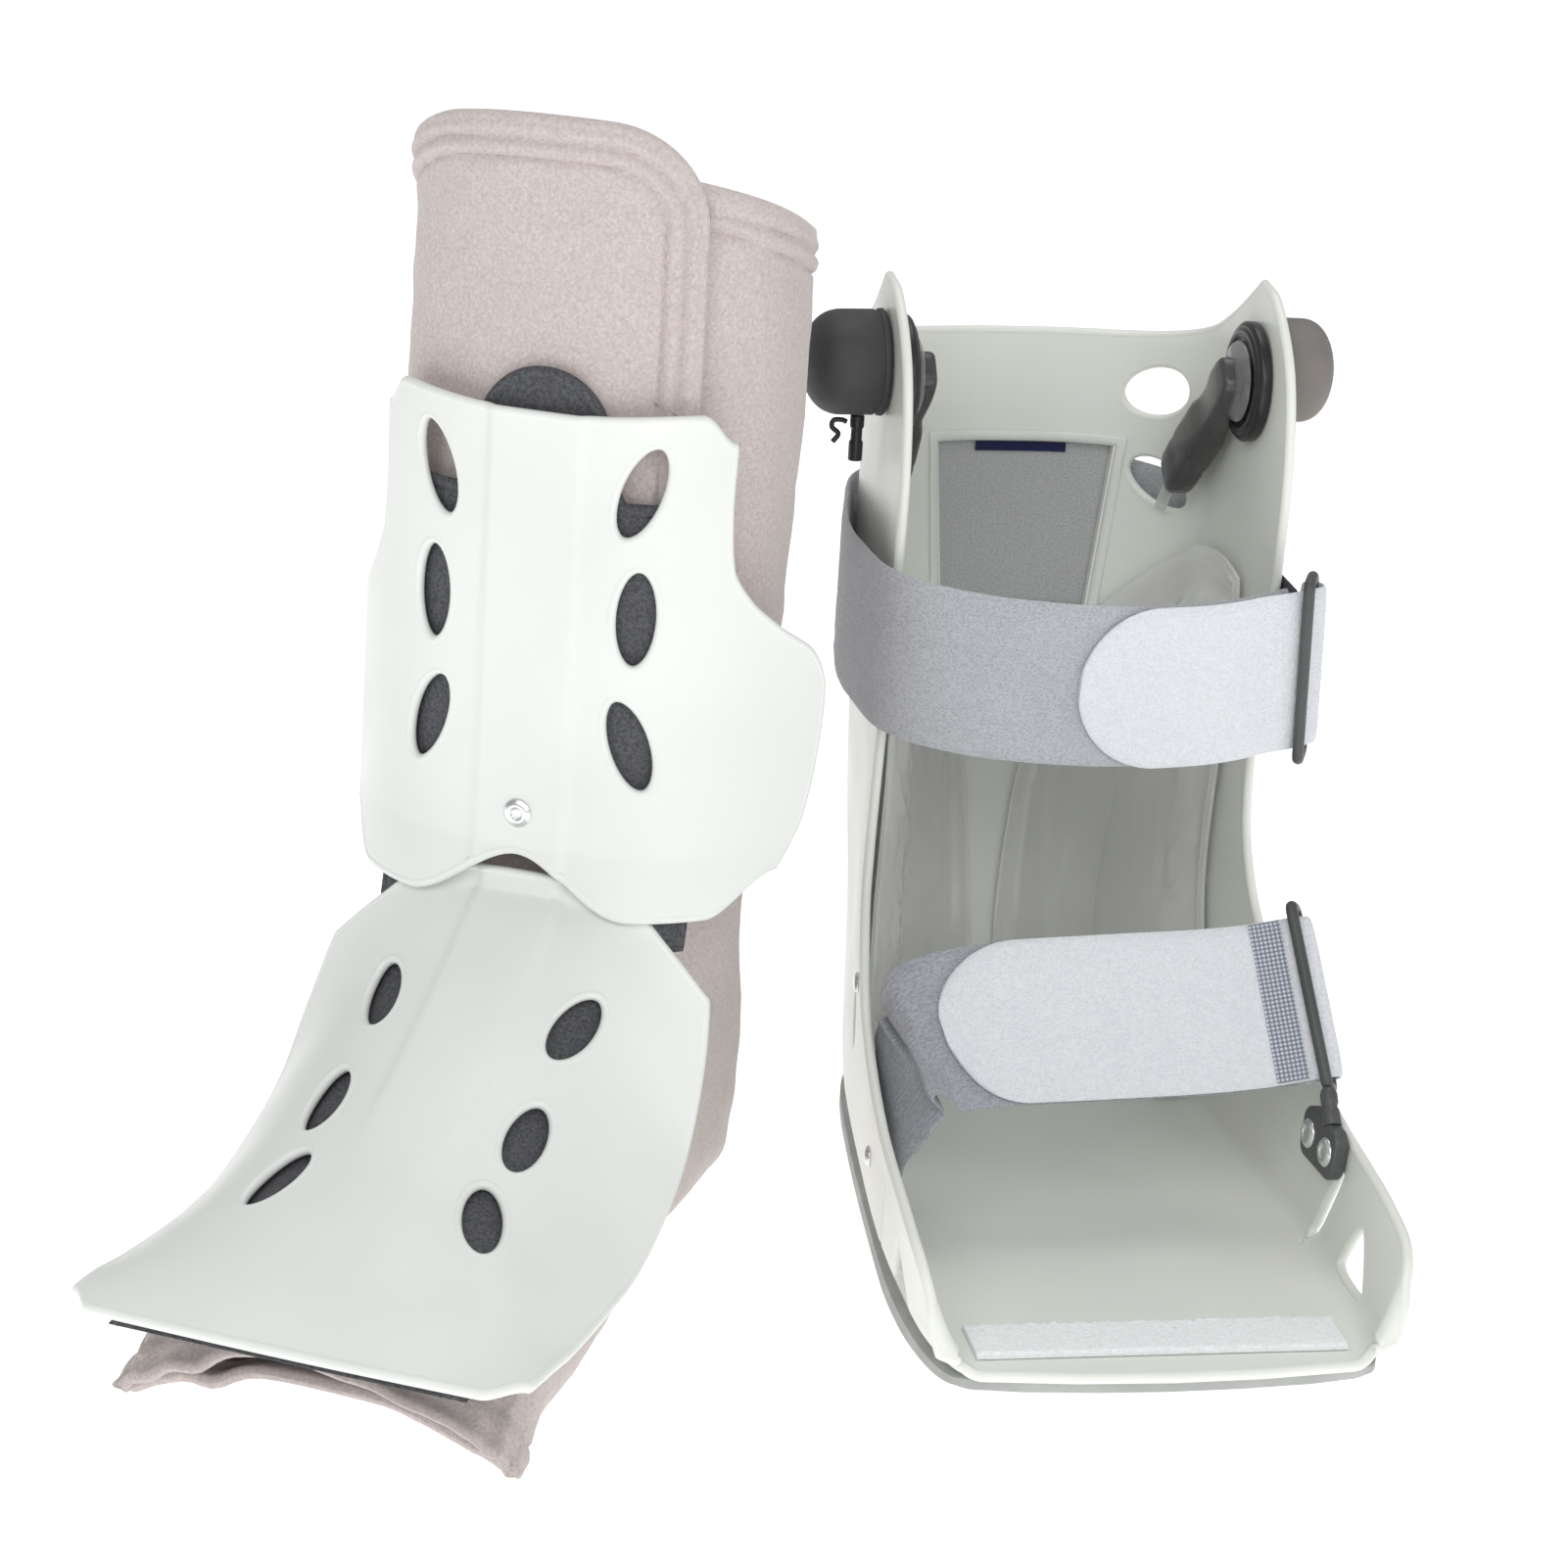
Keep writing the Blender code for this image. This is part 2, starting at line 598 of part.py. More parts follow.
def inside_wall(side, y, z):
    """Point on the inner face of the left (-1) or right (1) wall, and its normal into the shell."""
    point, normal = wall_hit((0.0, y, z), (side, 0.0, 0.0))
    return point, -normal if normal.x * side > 0.0 else normal


def outside_wall(side, y, z):
    """Point on the outer face of a side wall, and its normal away from the shell."""
    point, normal = wall_hit((side * 2.0 * SHELL_HALF_WIDTH, y, z), (-side, 0.0, 0.0))
    return point, normal if normal.x * side > 0.0 else -normal


def cutter_from(name, mesh, carrier):
    """Cutter object, hidden from the render and drawn as wire."""
    cutter = bpy.data.objects.new(name, mesh)
    cutter.parent = carrier
    cutter.hide_render = True
    cutter.display_type = "WIRE"
    CUTTERS.objects.link(cutter)
    return cutter


def outline_cutter(name, outline, spot, axis, up, depth, carrier):
    """Prism with its outline in the plane across axis, centred on spot."""
    axis = Vector(axis).normalized()
    side = Vector(up).cross(axis).normalized()
    rise = axis.cross(side)
    points = []
    for end in (-0.5, 0.5):
        points += [Vector(spot) + side * a + rise * b + axis * (end * depth) for a, b in outline]
    count = len(outline)
    faces = [tuple(range(count)), tuple(range(2 * count - 1, count - 1, -1))]
    faces += [(i, (i + 1) % count, count + (i + 1) % count, count + i) for i in range(count)]
    return cutter_from(name, mesh_from(name, points, faces), carrier)


def oval(half_width, half_length, lean=0.0, count=12):
    """Outline of an oval whose long axis leans from vertical by an angle in degrees."""
    turn = math.radians(lean)
    outline = []
    for i in range(count):
        a = half_width * math.cos(2.0 * math.pi * i / count)
        b = half_length * math.sin(2.0 * math.pi * i / count)
        outline.append((a * math.cos(turn) + b * math.sin(turn), b * math.cos(turn) - a * math.sin(turn)))
    return outline


def cut(part, cutters):
    """Cut holes through a part."""
    for cutter in cutters:
        boolean = part.modifiers.new(cutter.name, "BOOLEAN")
        boolean.operation = "DIFFERENCE"
        boolean.solver = "EXACT"
        boolean.object = cutter


def window_outline(margin):
    """Corners of the heel window as (x, z), grown by a margin."""
    top = WINDOW_TOP_HALF + margin
    bottom = WINDOW_BOTTOM_HALF + margin
    high = WINDOW_TOP_Z + margin
    low = WINDOW_BOTTOM_Z - margin
    middle = WINDOW_MIDDLE_X
    return [(middle - bottom, low), (middle + bottom, low), (middle + top, high), (middle - top, high)]


def shell_cutters(carrier):
    """Heel window, four back vents, and the vents of both side walls."""
    through = 8.0 * SHELL_WALL
    cutters = []
    middle_z = 0.5 * (WINDOW_TOP_Z + WINDOW_BOTTOM_Z)
    outline = [(-x, z - middle_z) for x, z in window_outline(0.0)]
    spot = (0.0, SHELL_HEEL_Y, middle_z)
    cutters.append(outline_cutter("window_cut", outline, spot, (0, 1, 0), (0, 0, 1), 2 * through, carrier))
    for side, word in ((-1.0, "left"), (1.0, "right")):
        for vent in BACK_VENTS:
            toward = Vector((side * math.cos(vent.turn), math.sin(vent.turn), 0.0))
            spot, _ = wall_hit((0.0, LEG_MIDDLE_Y, SHELL_HEIGHT - vent.drop), toward)
            outline = oval(vent.half_width, vent.half_height, side * vent.lean)
            name = f"{vent.name}_{word}_cut"
            cutters.append(outline_cutter(name, outline, spot, toward, (0, 0, 1), through, carrier))
        for vent in SIDE_VENTS:
            y = SHELL_HEEL_Y - vent.along * SHELL_LENGTH
            spot, _ = outside_wall(side, y, vent.up * SHELL_HEIGHT)
            outline = [(-side * a * vent.size, b * vent.size) for a, b in vent.outline]
            name = f"{vent.name}_{word}_cut"
            cutters.append(outline_cutter(name, outline, spot, (side, 0, 0), (0, 0, 1), through, carrier))
    return cutters


def make_shell(carrier, material):
    """Hollow shell with its holes."""
    grid = shell_grid()
    points = [p for row in grid for p in row]
    faces = grid_faces(len(grid), len(grid[0]), turned=True)
    mesh = mesh_from("rear_shell", points, faces, outward=False)
    shell = add_part("rear_shell", mesh, material, carrier)
    return solidified(shell, SHELL_WALL)


def make_outsole(carrier, material):
    """Thin sole under the shell, lifted at the toe and at the heel."""
    base = [shell_line(smooth_row(SHELL_SECTIONS, p), rim=False) for p in steps(0.0, 9.0, 37)]
    top_rows = []
    bottom_rows = []
    for place in steps(0.0, len(SOLE_SECTIONS) - 1.0, 14):
        row = smooth_row(SOLE_SECTIONS, place)
        y = SHELL_HEEL_Y - row.along * SHELL_LENGTH
        half = row.half * SHELL_HALF_WIDTH
        ahead, behind = next((a, b) for a, b in zip(base, base[1:]) if b.y >= y or b is base[-1])
        share = min(max((y - ahead.y) / (behind.y - ahead.y), 0.0), 1.0)
        seat = ahead.z + (behind.z - ahead.z) * share - 1.5 * GAP
        low = max(row.lift, 0.0) * SOLE_ROCKER
        top = []
        bottom = []
        for share in (-1.0, -0.97, -0.5, 0.0, 0.5, 0.97, 1.0):
            bow = 0.05 * SHELL_HALF_WIDTH * (1.0 - share * share) * ease(0.85, 1.0, row.along)
            edge = 0.30 * (seat - low) if abs(share) == 1.0 else 0.0
            top.append(Vector((share * half, y - bow, seat - 0.5 * edge)))
            bottom.append(Vector((share * half, y - bow, low + edge)))
        top_rows.append(top)
        bottom_rows.append(bottom)
    add_part("outsole", slab_mesh("outsole", top_rows, bottom_rows), material, carrier)


def make_window(carrier, materials):
    """Frame round the heel window, the fabric tab behind it and the tab's plain stripe."""
    def on_inner(x, z, out=0.0):
        point, _ = wall_hit((x, LEG_MIDDLE_Y, z), (0.0, 1.0, 0.0))
        return point - Vector((0.0, GAP + out, 0.0))

    def on_outer(x, z, out=0.0):
        point, _ = wall_hit((x, 2.0 * SHELL_HEEL_Y, z), (0.0, -1.0, 0.0))
        return point + Vector((0.0, GAP + out, 0.0))

    def loop(margin, out):
        corners = window_outline(margin)
        points = []
        for (x0, z0), (x1, z1) in zip(corners, corners[1:] + corners[:1]):
            points += [on_inner(x0 + (x1 - x0) * t, z0 + (z1 - z0) * t, out) for t in (0.0, 0.25, 0.5, 0.75)]
        return points

    near = 2.0 * GAP
    wide = WINDOW_FRAME_WIDTH
    rings = [loop(near, 0.0), loop(near, WINDOW_FRAME_DEPTH), loop(wide, WINDOW_FRAME_DEPTH), loop(wide, 0.0)]
    points = [p for row in rings for p in row]
    faces = grid_faces(5, len(rings[0]), closed=True)
    faces = [tuple(corner % len(points) for corner in face) for face in faces]
    mesh = mesh_from("window_frame", points, faces)
    add_part("window_frame", mesh, materials["frame"], carrier)

    lap = WINDOW_TAB_OVERLAP
    low_left, low_right, high_right, high_left = window_outline(lap)
    outer = []
    inner = []
    for up in steps(0.0, 1.0, 4):
        left = low_left[0] + (high_left[0] - low_left[0]) * up
        right = low_right[0] + (high_right[0] - low_right[0]) * up
        z = low_left[1] + (high_left[1] - low_left[1]) * up
        inner.append([on_outer(x, z, TAB_GAP) for x in steps(left, right, 11)])
        outer.append([on_outer(x, z, TAB_GAP + 0.6 * BAND_THICKNESS) for x in steps(left, right, 11)])
    add_part("window_tab", slab_mesh("window_tab", outer, inner), materials["fabric"], carrier)

    top = WINDOW_TOP_Z - 4.0 * GAP
    xs = steps(WINDOW_MIDDLE_X - 0.5 * STRIPE_WIDTH, WINDOW_MIDDLE_X + 0.5 * STRIPE_WIDTH, 6)
    lie = TAB_GAP - 1.4 * GAP
    back = [[on_outer(x, z, lie) for x in xs] for z in (top - STRIPE_DEPTH, top)]
    front = [[on_outer(x, z, lie - STRIPE_THICKNESS) for x in xs] for z in (top - STRIPE_DEPTH, top)]
    add_part("window_tab_stripe", slab_mesh("window_tab_stripe", front, back), materials["navy"], carrier)


def make_pumps(carrier, materials):
    """Rubber bulbs outside the ears, with the stem and hook under the left one."""
    for side, word in ((-1.0, "left"), (1.0, "right")):
        point, normal = outside_wall(side, PUMP_Y, PUMP_Z)
        reach = PUMP_REACH[word]
        skirt = PUMP_SKIRT * reach
        profile = []
        for angle in steps(0.0, 0.5 * math.pi, 7):
            profile.append((PUMP_RADIUS * math.sin(angle), skirt + (reach - skirt) * math.cos(angle)))
        profile += [(PUMP_RADIUS, 0.0), (0.0, 0.0)]
        seat = point + normal * 3.0 * GAP
        turned(f"pump_bulb_{word}", profile, seat, normal, materials[f"bulb_{word}"], carrier, 16)
    point, _ = outside_wall(-1.0, PUMP_Y, PUMP_Z)
    top = Vector((point.x - STEM_OFF_WALL, PUMP_Y, PUMP_Z - PUMP_RADIUS - 2.0 * GAP))
    profile = [(0.0, 0.0), (STEM_RADIUS, 0.0), (STEM_RADIUS, -STEM_LENGTH), (0.0, -STEM_LENGTH)]
    turned("pump_stem", profile, top, (0, 0, 1), materials["black"], carrier, 12)
    out = STEM_RADIUS + HOOK_WIRE + GAP
    size = HOOK_SIZE
    shape = [(0.0, -0.50), (-0.35, -0.36), (-0.95, -0.40), (-1.05, -0.90), (-0.55, -1.40), (-0.95, -2.00)]
    route = [top + Vector((size * a - out, 0.0, size * b)) for a, b in shape]
    rod("pump_hook", route, HOOK_WIRE, materials["black"], carrier)


def make_valves(carrier, materials):
    """Valve disc, clear cover, nozzle and air tube inside each ear."""
    for side, word in ((-1.0, "left"), (1.0, "right")):
        point, normal = inside_wall(side, PUMP_Y, VALVE_Z)
        rim = VALVE_RIM
        profile = [(0.0, VALVE_DEPTH), (VALVE_RADIUS - rim, VALVE_DEPTH), (VALVE_RADIUS, VALVE_DEPTH - rim)]
        profile += [(VALVE_RADIUS, 0.0), (0.0, 0.0)]
        seat = point + normal * 2.0 * GAP
        turned(f"valve_disc_{word}", profile, seat, normal, materials["black"], carrier, 18)
        profile = []
        for angle in steps(0.0, 0.5 * math.pi, 5):
            profile.append((VALVE_COVER_RADIUS * math.sin(angle), VALVE_COVER_DEPTH * math.cos(angle)))
        profile.append((0.0, 0.0))
        top = seat + normal * (VALVE_DEPTH + GAP)
        turned(f"valve_cover_{word}", profile, top, normal, materials["clear"], carrier, 16)
        end_wall, end_normal = inside_wall(side, NOZZLE_END_Y, NOZZLE_END_Z)
        foot = end_wall + end_normal * (NOZZLE_HALF_DEPTH + 6.0 * GAP)
        leave = (Vector((0.0, NOZZLE_END_Y, NOZZLE_END_Z)) - Vector((0.0, PUMP_Y, VALVE_Z))).normalized()
        head = seat + leave * (VALVE_RADIUS + 2.5 * GAP) + normal * NOZZLE_HALF_DEPTH
        run = (foot - head).normalized()
        wide = run.cross(normal).normalized()
        deep = wide.cross(run).normalized()
        ends = []
        for share, half, thick in ((0.0, 0.85, 0.90), (0.15, 1.0, 1.0), (0.85, 0.95, 1.0), (1.0, 0.70, 0.75)):
            spot = head.lerp(foot, share)
            a = wide * NOZZLE_HALF_WIDTH * half
            b = deep * NOZZLE_HALF_DEPTH * thick
            ends.append([spot + a * x + b * y for x, y in CHAMFERED])
        points = [p for ring in ends for p in ring]
        faces = grid_faces(len(ends), len(CHAMFERED), closed=True)
        faces += [tuple(range(len(CHAMFERED))), tuple(len(points) - 1 - i for i in range(len(CHAMFERED)))]
        mesh = mesh_from(f"valve_nozzle_{word}", points, faces)
        add_part(f"valve_nozzle_{word}", mesh, materials["black"], carrier)
        start = foot + run * 2.0 * GAP
        route = [start + run * (TUBE_DROP * t) + Vector((0.0, 0.0, -0.2 * TUBE_DROP * t * t)) for t in
                 steps(0.0, 1.0, 5)]
        rod(f"air_tube_{word}", route, TUBE_RADIUS, materials["clear"], carrier)


def make_cells(carrier, material):
    """Two welded air cells that line the heel and the sides."""
    count = 8
    middle = 0.5 * (CELL_BOTTOM_ROW + CELL_TOP_ROW)
    half = 0.5 * (CELL_TOP_ROW - CELL_BOTTOM_ROW)
    for side, word in ((-1.0, "left"), (1.0, "right")):
        front = []
        back = []
        for v in steps(-1.0, 1.0, count):
            front_row = []
            back_row = []
            for u in steps(-1.0, 1.0, count):
                across = u * math.sqrt(1.0 - CELL_CORNER * v * v)
                up = v * math.sqrt(1.0 - CELL_CORNER * u * u)
                outer = CELL_OUTER_LOW + (CELL_OUTER_HIGH - CELL_OUTER_LOW) * 0.5 * (up + 1.0)
                share = CELL_INNER_SHARE + (outer - CELL_INNER_SHARE) * 0.5 * (across + 1.0)
                place = middle + half * up
                point = shell_point(place, side * share)
                normal = surface_normal(shell_point, place, side * share)
                edge = max(abs(u), abs(v)) / CELL_WELD_SHARE
                puff = max(1.0 - edge ** 3.0, 0.0) ** 0.7
                lie = SHELL_WALL + CELL_WALL_GAP
                back_row.append(point + normal * lie)
                front_row.append(point + normal * (lie + CELL_WELD_THICKNESS + CELL_FULLNESS * puff))
            front.append(front_row)
            back.append(back_row)
        add_part(f"air_cell_{word}", slab_mesh(f"air_cell_{word}", front, back), material, carrier)


# Straps. A station is a centre, the direction across the band and the normal of its outer face.
Station = namedtuple("Station", "centre across normal")
Knot = namedtuple("Knot", "a b c d e f", defaults=(0.0, 0.0, 0.0))


def stations_along(centres, acrosses):
    """Stations with normals square to the route and to the band's width."""
    stations = []
    last = len(centres) - 1
    for i, (centre, across) in enumerate(zip(centres, acrosses)):
        run = (centres[min(i + 1, last)] - centres[max(i - 1, 0)]).normalized()
        across = (across - run * across.dot(run)).normalized()
        stations.append(Station(centre, across, run.cross(across).normalized()))
    return stations


def shifted(station, distance):
    """Station moved along its normal."""
    return Station(station.centre + station.normal * distance, station.across, station.normal)


def band(name, stations, widths, thickness, material, carrier):
    """Flat band whose middle layer runs through the stations."""
    outer = []
    inner = []
    for station, width in zip(stations, widths):
        edge = station.across * (0.5 * width)
        lift = station.normal * (0.5 * thickness)
        spots = [station.centre - edge, station.centre + edge]
        outer.append([spot + lift for spot in spots])
        inner.append([spot - lift for spot in spots])
    add_part(name, slab_mesh(name, outer, inner), material, carrier)


def run_lengths(stations):
    """Distance of each station from the last one, along the route."""
    lengths = [0.0]
    for here, there in zip(stations[::-1], stations[-2::-1]):
        lengths.append(lengths[-1] + (here.centre - there.centre).length)
    return lengths[::-1]


def fold_and_tab(stations, tab_length):
    """Stations of the tab: return leg, fold round the ring's hidden bar, then the outer layer to the tip."""
    radius = RING_BAR_RADIUS + 1.5 * GAP + 0.5 * BAND_THICKNESS
    behind = run_lengths(stations)
    end = stations[-1]
    run = (end.centre - stations[-2].centre).normalized()
    leg = [s for s, d in zip(stations, behind) if d < RETURN_LEG]
    route = [Station(s.centre, s.across, -s.normal) for s in leg]
    bar = end.centre + end.normal * radius
    for angle in steps(-0.5 * math.pi, 0.5 * math.pi, 9)[1:]:
        toward = run * math.cos(angle) + end.normal * math.sin(angle)
        route.append(Station(bar + toward * radius, end.across, toward))
    near = BAND_THICKNESS + LAYER_GAP
    widths = [TAB_WIDTH] * len(route)
    for station, distance in list(zip(stations, behind))[-2::-1]:
        if distance > tab_length:
            break
        lift = 2.0 * radius + (near - 2.0 * radius) * ease(0.0, FOLD_EASE, distance)
        route.append(shifted(station, lift))
        to_tip = tab_length - distance
        rounding = min(to_tip / (0.5 * TAB_WIDTH), 1.0)
        widths.append(TAB_WIDTH * max(math.sqrt(1.0 - (1.0 - rounding) ** 2), 0.12))
    return route, widths, bar, end


def ring(name, stations, bar, end, material, carrier):
    """Rectangular ring: one long bar inside the fold, the other over the tab."""
    radius = RING_BAR_RADIUS + 1.5 * GAP + 0.5 * BAND_THICKNESS
    behind = run_lengths(stations)
    spot = min(range(len(stations)), key=lambda i: abs(behind[i] - RING_SPREAD))
    station = stations[spot]
    near = BAND_THICKNESS + LAYER_GAP
    lift = 2.0 * radius + (near - 2.0 * radius) * ease(0.0, FOLD_EASE, behind[spot])
    over = station.centre + station.normal * (lift + 0.5 * BAND_THICKNESS + RING_BAR_RADIUS + 2.5 * GAP)
    half = 0.5 * TAB_WIDTH + RING_END_CLEARANCE + RING_BAR_RADIUS
    corner = RING_CORNER
    low, high = -end.across, end.across
    route = []
    for centre, other, first, second in ((bar, over, low, high), (over, bar, high, low)):
        toward = (other - centre).normalized()
        route.append(centre + first * (half - corner))
        route += [centre + first * ((half - corner) * (1.0 - t)) + second * ((half - corner) * t) for t in
                  (0.5, 1.0)]
        route.append(centre + second * (half - 0.3 * corner) + toward * (0.3 * corner))
        route.append(centre + second * half + toward * corner)
        route.append(other + second * half - toward * corner)
        route.append(other + second * (half - 0.3 * corner) - toward * (0.3 * corner))
    rod(name, route, RING_BAR_RADIUS, material, carrier, cyclic=True)
    return over


def resampled(points, spacing):
    """Points at about even spacing along a smooth curve through the given ones."""
    fine = []
    for i in range(8 * (len(points) - 1) + 1):
        row = smooth_row([Knot(*p) for p in points], i / 8.0)
        fine.append(Vector(row[:3]))
    total = sum((b - a).length for a, b in zip(fine, fine[1:]))
    count = max(int(round(total / spacing)), 2)
    result = [fine[0]]
    walked = 0.0
    for here, there in zip(fine, fine[1:]):
        length = (there - here).length
        while len(result) < count and walked + length >= total * len(result) / count:
            share = (total * len(result) / count - walked) / length
            result.append(here.lerp(there, share))
        walked += length
    result.append(fine[-1])
    return result


def upper_route():
    """Centre line of the upper strap, from the right wall round the back to the ring."""
    half = 0.5 * STRAP_WIDTH
    points = []
    start, back, end = UPPER_BACK_HEIGHTS
    for degrees in range(-8, 166, 12):
        angle = math.radians(degrees)
        toward = Vector((math.cos(angle), math.sin(angle), 0.0))
        share = (degrees + 8.0) / 174.0
        height = start + (back - start) * ease(0.0, 0.5, share) + (end - back) * ease(0.5, 1.0, share)
        reach = 0.0
        for level in (-half, 0.0, half):
            middle = Vector((0.0, LEG_MIDDLE_Y, height * SHELL_HEIGHT + level))
            point, _ = wall_hit(middle + toward * SHELL_LENGTH, -toward)
            if point is not None:
                reach = max(reach, (point - middle).dot(toward))
        reach += UPPER_WALL_CLEARANCE
        points.append((toward.x * reach, LEG_MIDDLE_Y + toward.y * reach, height * SHELL_HEIGHT))
    for row in UPPER_FRONT:
        y = LEG_MIDDLE_Y - row.forward * UPPER_FRONT_DEPTH
        points.append((row.across * UPPER_FRONT_HALF, y, row.height * SHELL_HEIGHT))
    return resampled(points, STRAP_STEP)


def make_upper_strap(carrier, materials):
    """Webbing, strap, tab and ring round the leg."""
    centres = upper_route()
    stations = stations_along(centres, [Vector((0.0, 0.0, 1.0))] * len(centres))
    if stations[0].normal.x < 0.0:
        stations = [Station(s.centre, s.across, -s.normal) for s in stations]
    behind = run_lengths(stations)
    leg = [i for i, d in enumerate(behind) if d >= RETURN_LEG]
    strap = stations[WEBBING_STATIONS:leg[-1] + 1]
    strap[-1] = pulled_back(strap[-1], strap[-2])
    band("upper_strap", strap, [STRAP_WIDTH] * len(strap), BAND_THICKNESS, materials["loop"], carrier)
    route, widths, bar, end = fold_and_tab(stations, UPPER_TAB_LENGTH)
    band("upper_tab", route, widths, BAND_THICKNESS, materials["tab"], carrier)
    ring("upper_ring", stations, bar, end, materials["ring"], carrier)
    back = stations[:WEBBING_STATIONS + 1]
    back[-1] = pulled_back(back[-1], back[-2])
    seat = end.centre - end.normal * (BAND_THICKNESS + LAYER_GAP)
    ahead = [(back[0].centre + (seat - back[0].centre) * t) for t in (1.0, 0.66, 0.33)]
    ahead = [Station(spot, end.across, back[0].normal) for spot in ahead]
    width = STRAP_WIDTH - 2.0 * WEBBING_INSET
    band("upper_ring_webbing", ahead + back, [width] * (len(back) + 3), BAND_THICKNESS, materials["webbing"],
         carrier)


def pulled_back(station, before):
    """Station drawn back a little, so that the next band starts clear of it."""
    toward = (before.centre - station.centre).normalized()
    return Station(station.centre + toward * 2.0 * GAP, station.across, station.normal)


def clear_of_wall(centres, acrosses):
    """Centres moved inward until the band's whole width is clear of the left wall and its rim."""
    for _ in range(4):
        moved = []
        for station in stations_along(centres, acrosses):
            need = 0.0
            for edge in steps(-0.5 * STRAP_WIDTH, 0.5 * STRAP_WIDTH, 5):
                spot = station.centre + station.across * edge
                for below in (0.0, 0.5 * RIM_CLEARANCE, RIM_CLEARANCE):
                    wall, _ = wall_hit((0.0, spot.y, spot.z - below), (-1.0, 0.0, 0.0))
                    if wall is not None:
                        need = max(need, wall.x + LOWER_WALL_CLEARANCE - spot.x)
            moved.append(station.centre + Vector((need, 0.0, 0.0)))
        centres = moved
    return centres


def make_lower_strap(carrier, materials):
    """Strap, tab, ring and its bracket over the instep."""
    rows = []
    for row in LOWER_ROUTE:
        y = SHELL_HEEL_Y - row.y * SHELL_LENGTH
        z = row.z * SHELL_HEIGHT
        lean = math.radians(row.lean)
        rows.append((row.x * SHELL_HALF_WIDTH, y, z, 0.0, math.sin(lean), math.cos(lean)))
    samples = []
    count = 34
    for place in steps(0.0, len(rows) - 1.0, count):
        samples.append(smooth_row([Knot(*row) for row in rows], place))
    centres = [Vector(sample[:3]) for sample in samples]
    acrosses = []
    for sample, place in zip(samples, steps(0.0, 1.0, count)):
        tilt = -math.sin(LOWER_RING_LEAN) * ease(0.6, 1.0, place)
        acrosses.append(Vector((tilt, sample[4], sample[5])))
    stations = stations_along(clear_of_wall(centres, acrosses), acrosses)
    if stations[count // 2].normal.y > 0.0:
        stations = [Station(s.centre, s.across, -s.normal) for s in stations]
    behind = run_lengths(stations)
    leg = [i for i, d in enumerate(behind) if d >= RETURN_LEG]
    strap = stations[:leg[-1] + 1]
    strap[-1] = pulled_back(strap[-1], strap[-2])
    band("lower_strap", strap, [STRAP_WIDTH] * len(strap), BAND_THICKNESS, materials["loop"], carrier)
    route, widths, bar, end = fold_and_tab(stations, LOWER_TAB_LENGTH)
    band("lower_tab", route, widths, BAND_THICKNESS, materials["tab"], carrier)
    over = ring("lower_ring", stations, bar, end, materials["ring"], carrier)

    radius = RING_BAR_RADIUS + 1.5 * GAP + 0.5 * BAND_THICKNESS
    near = BAND_THICKNESS + LAYER_GAP
    patch = []
    for distance in (RING_SPREAD + 0.004, RING_SPREAD + 0.004 + STITCH_BAND_WIDTH):
        place = min(range(len(stations)), key=lambda i: abs(behind[i] - distance))
        lift = 2.0 * radius + (near - 2.0 * radius) * ease(0.0, FOLD_EASE, behind[place])
        patch.append(shifted(stations[place], lift + 0.5 * BAND_THICKNESS + 0.5 * STITCH_BAND_THICKNESS + GAP))
    band("lower_stitch_band", patch, [TAB_WIDTH - 0.001] * 2, STITCH_BAND_THICKNESS, materials["stitch"],
         carrier)
    return over, end


def make_bracket(carrier, materials, bar, end):
    """Bracket on the inner right wall that carries the lower ring, with its barrel and two rivets."""
    foot = bar - end.across * (0.5 * TAB_WIDTH + 2.0 * RING_BAR_RADIUS + RING_END_CLEARANCE + 2.0 * GAP)
    drop = BARREL_LENGTH + 0.5 * BRACKET_HEIGHT
    point, normal = inside_wall(1.0, foot.y - 0.15 * BRACKET_LENGTH, foot.z - drop)
    seat = point + normal * (BRACKET_WALL_GAP + 0.5 * BRACKET_DEPTH)
    mesh = bpy.data.meshes.new("ring_bracket")
    shape = bmesh.new()
    bmesh.ops.create_cube(shape, size=1.0)
    bmesh.ops.scale(shape, vec=(BRACKET_DEPTH, BRACKET_LENGTH, BRACKET_HEIGHT), verts=shape.verts)
    bmesh.ops.bevel(shape, geom=shape.edges[:], offset=0.0012, segments=2, affect="EDGES", profile=0.5)
    shape.to_mesh(mesh)
    shape.free()
    bracket = add_part("ring_bracket", mesh, materials["ring"], carrier)
    turn = normal.to_track_quat("X", "Z")
    bracket.location = seat
    bracket.rotation_euler = turn.to_euler()
    along = turn @ Vector((0.0, 1.0, 0.0))
    upward = turn @ Vector((0.0, 0.0, 1.0))
    face = seat + normal * (0.5 * BRACKET_DEPTH + GAP)
    rise = BRACKET_RIVET_DEPTH
    for step, word in ((-1.0, "front"), (1.0, "back")):
        size = BRACKET_RIVET_RADIUS
        profile = [(0.0, rise), (0.8 * size, 0.8 * rise), (size, 0.0), (0.0, 0.0)]
        spot = face + along * (step * 0.27 * BRACKET_LENGTH)
        turned(f"bracket_rivet_{word}", profile, spot, normal, materials["rivet"], carrier, 12)
    base = seat + upward * (0.5 * BRACKET_HEIGHT + GAP) + along * (0.15 * BRACKET_LENGTH)
    axis = (foot - base).normalized()
    upright = axis.dot(upward)
    base += axis * (BARREL_RADIUS * math.sqrt(1.0 - upright * upright) / upright)
    reach = (foot - base).length
    tip = 0.45 * BARREL_RADIUS
    profile = [(0.0, reach), (tip, reach), (BARREL_RADIUS, 0.8 * reach), (BARREL_RADIUS, 0.0), (0.0, 0.0)]
    turned("ring_barrel", profile, base, axis, materials["ring"], carrier, 14)


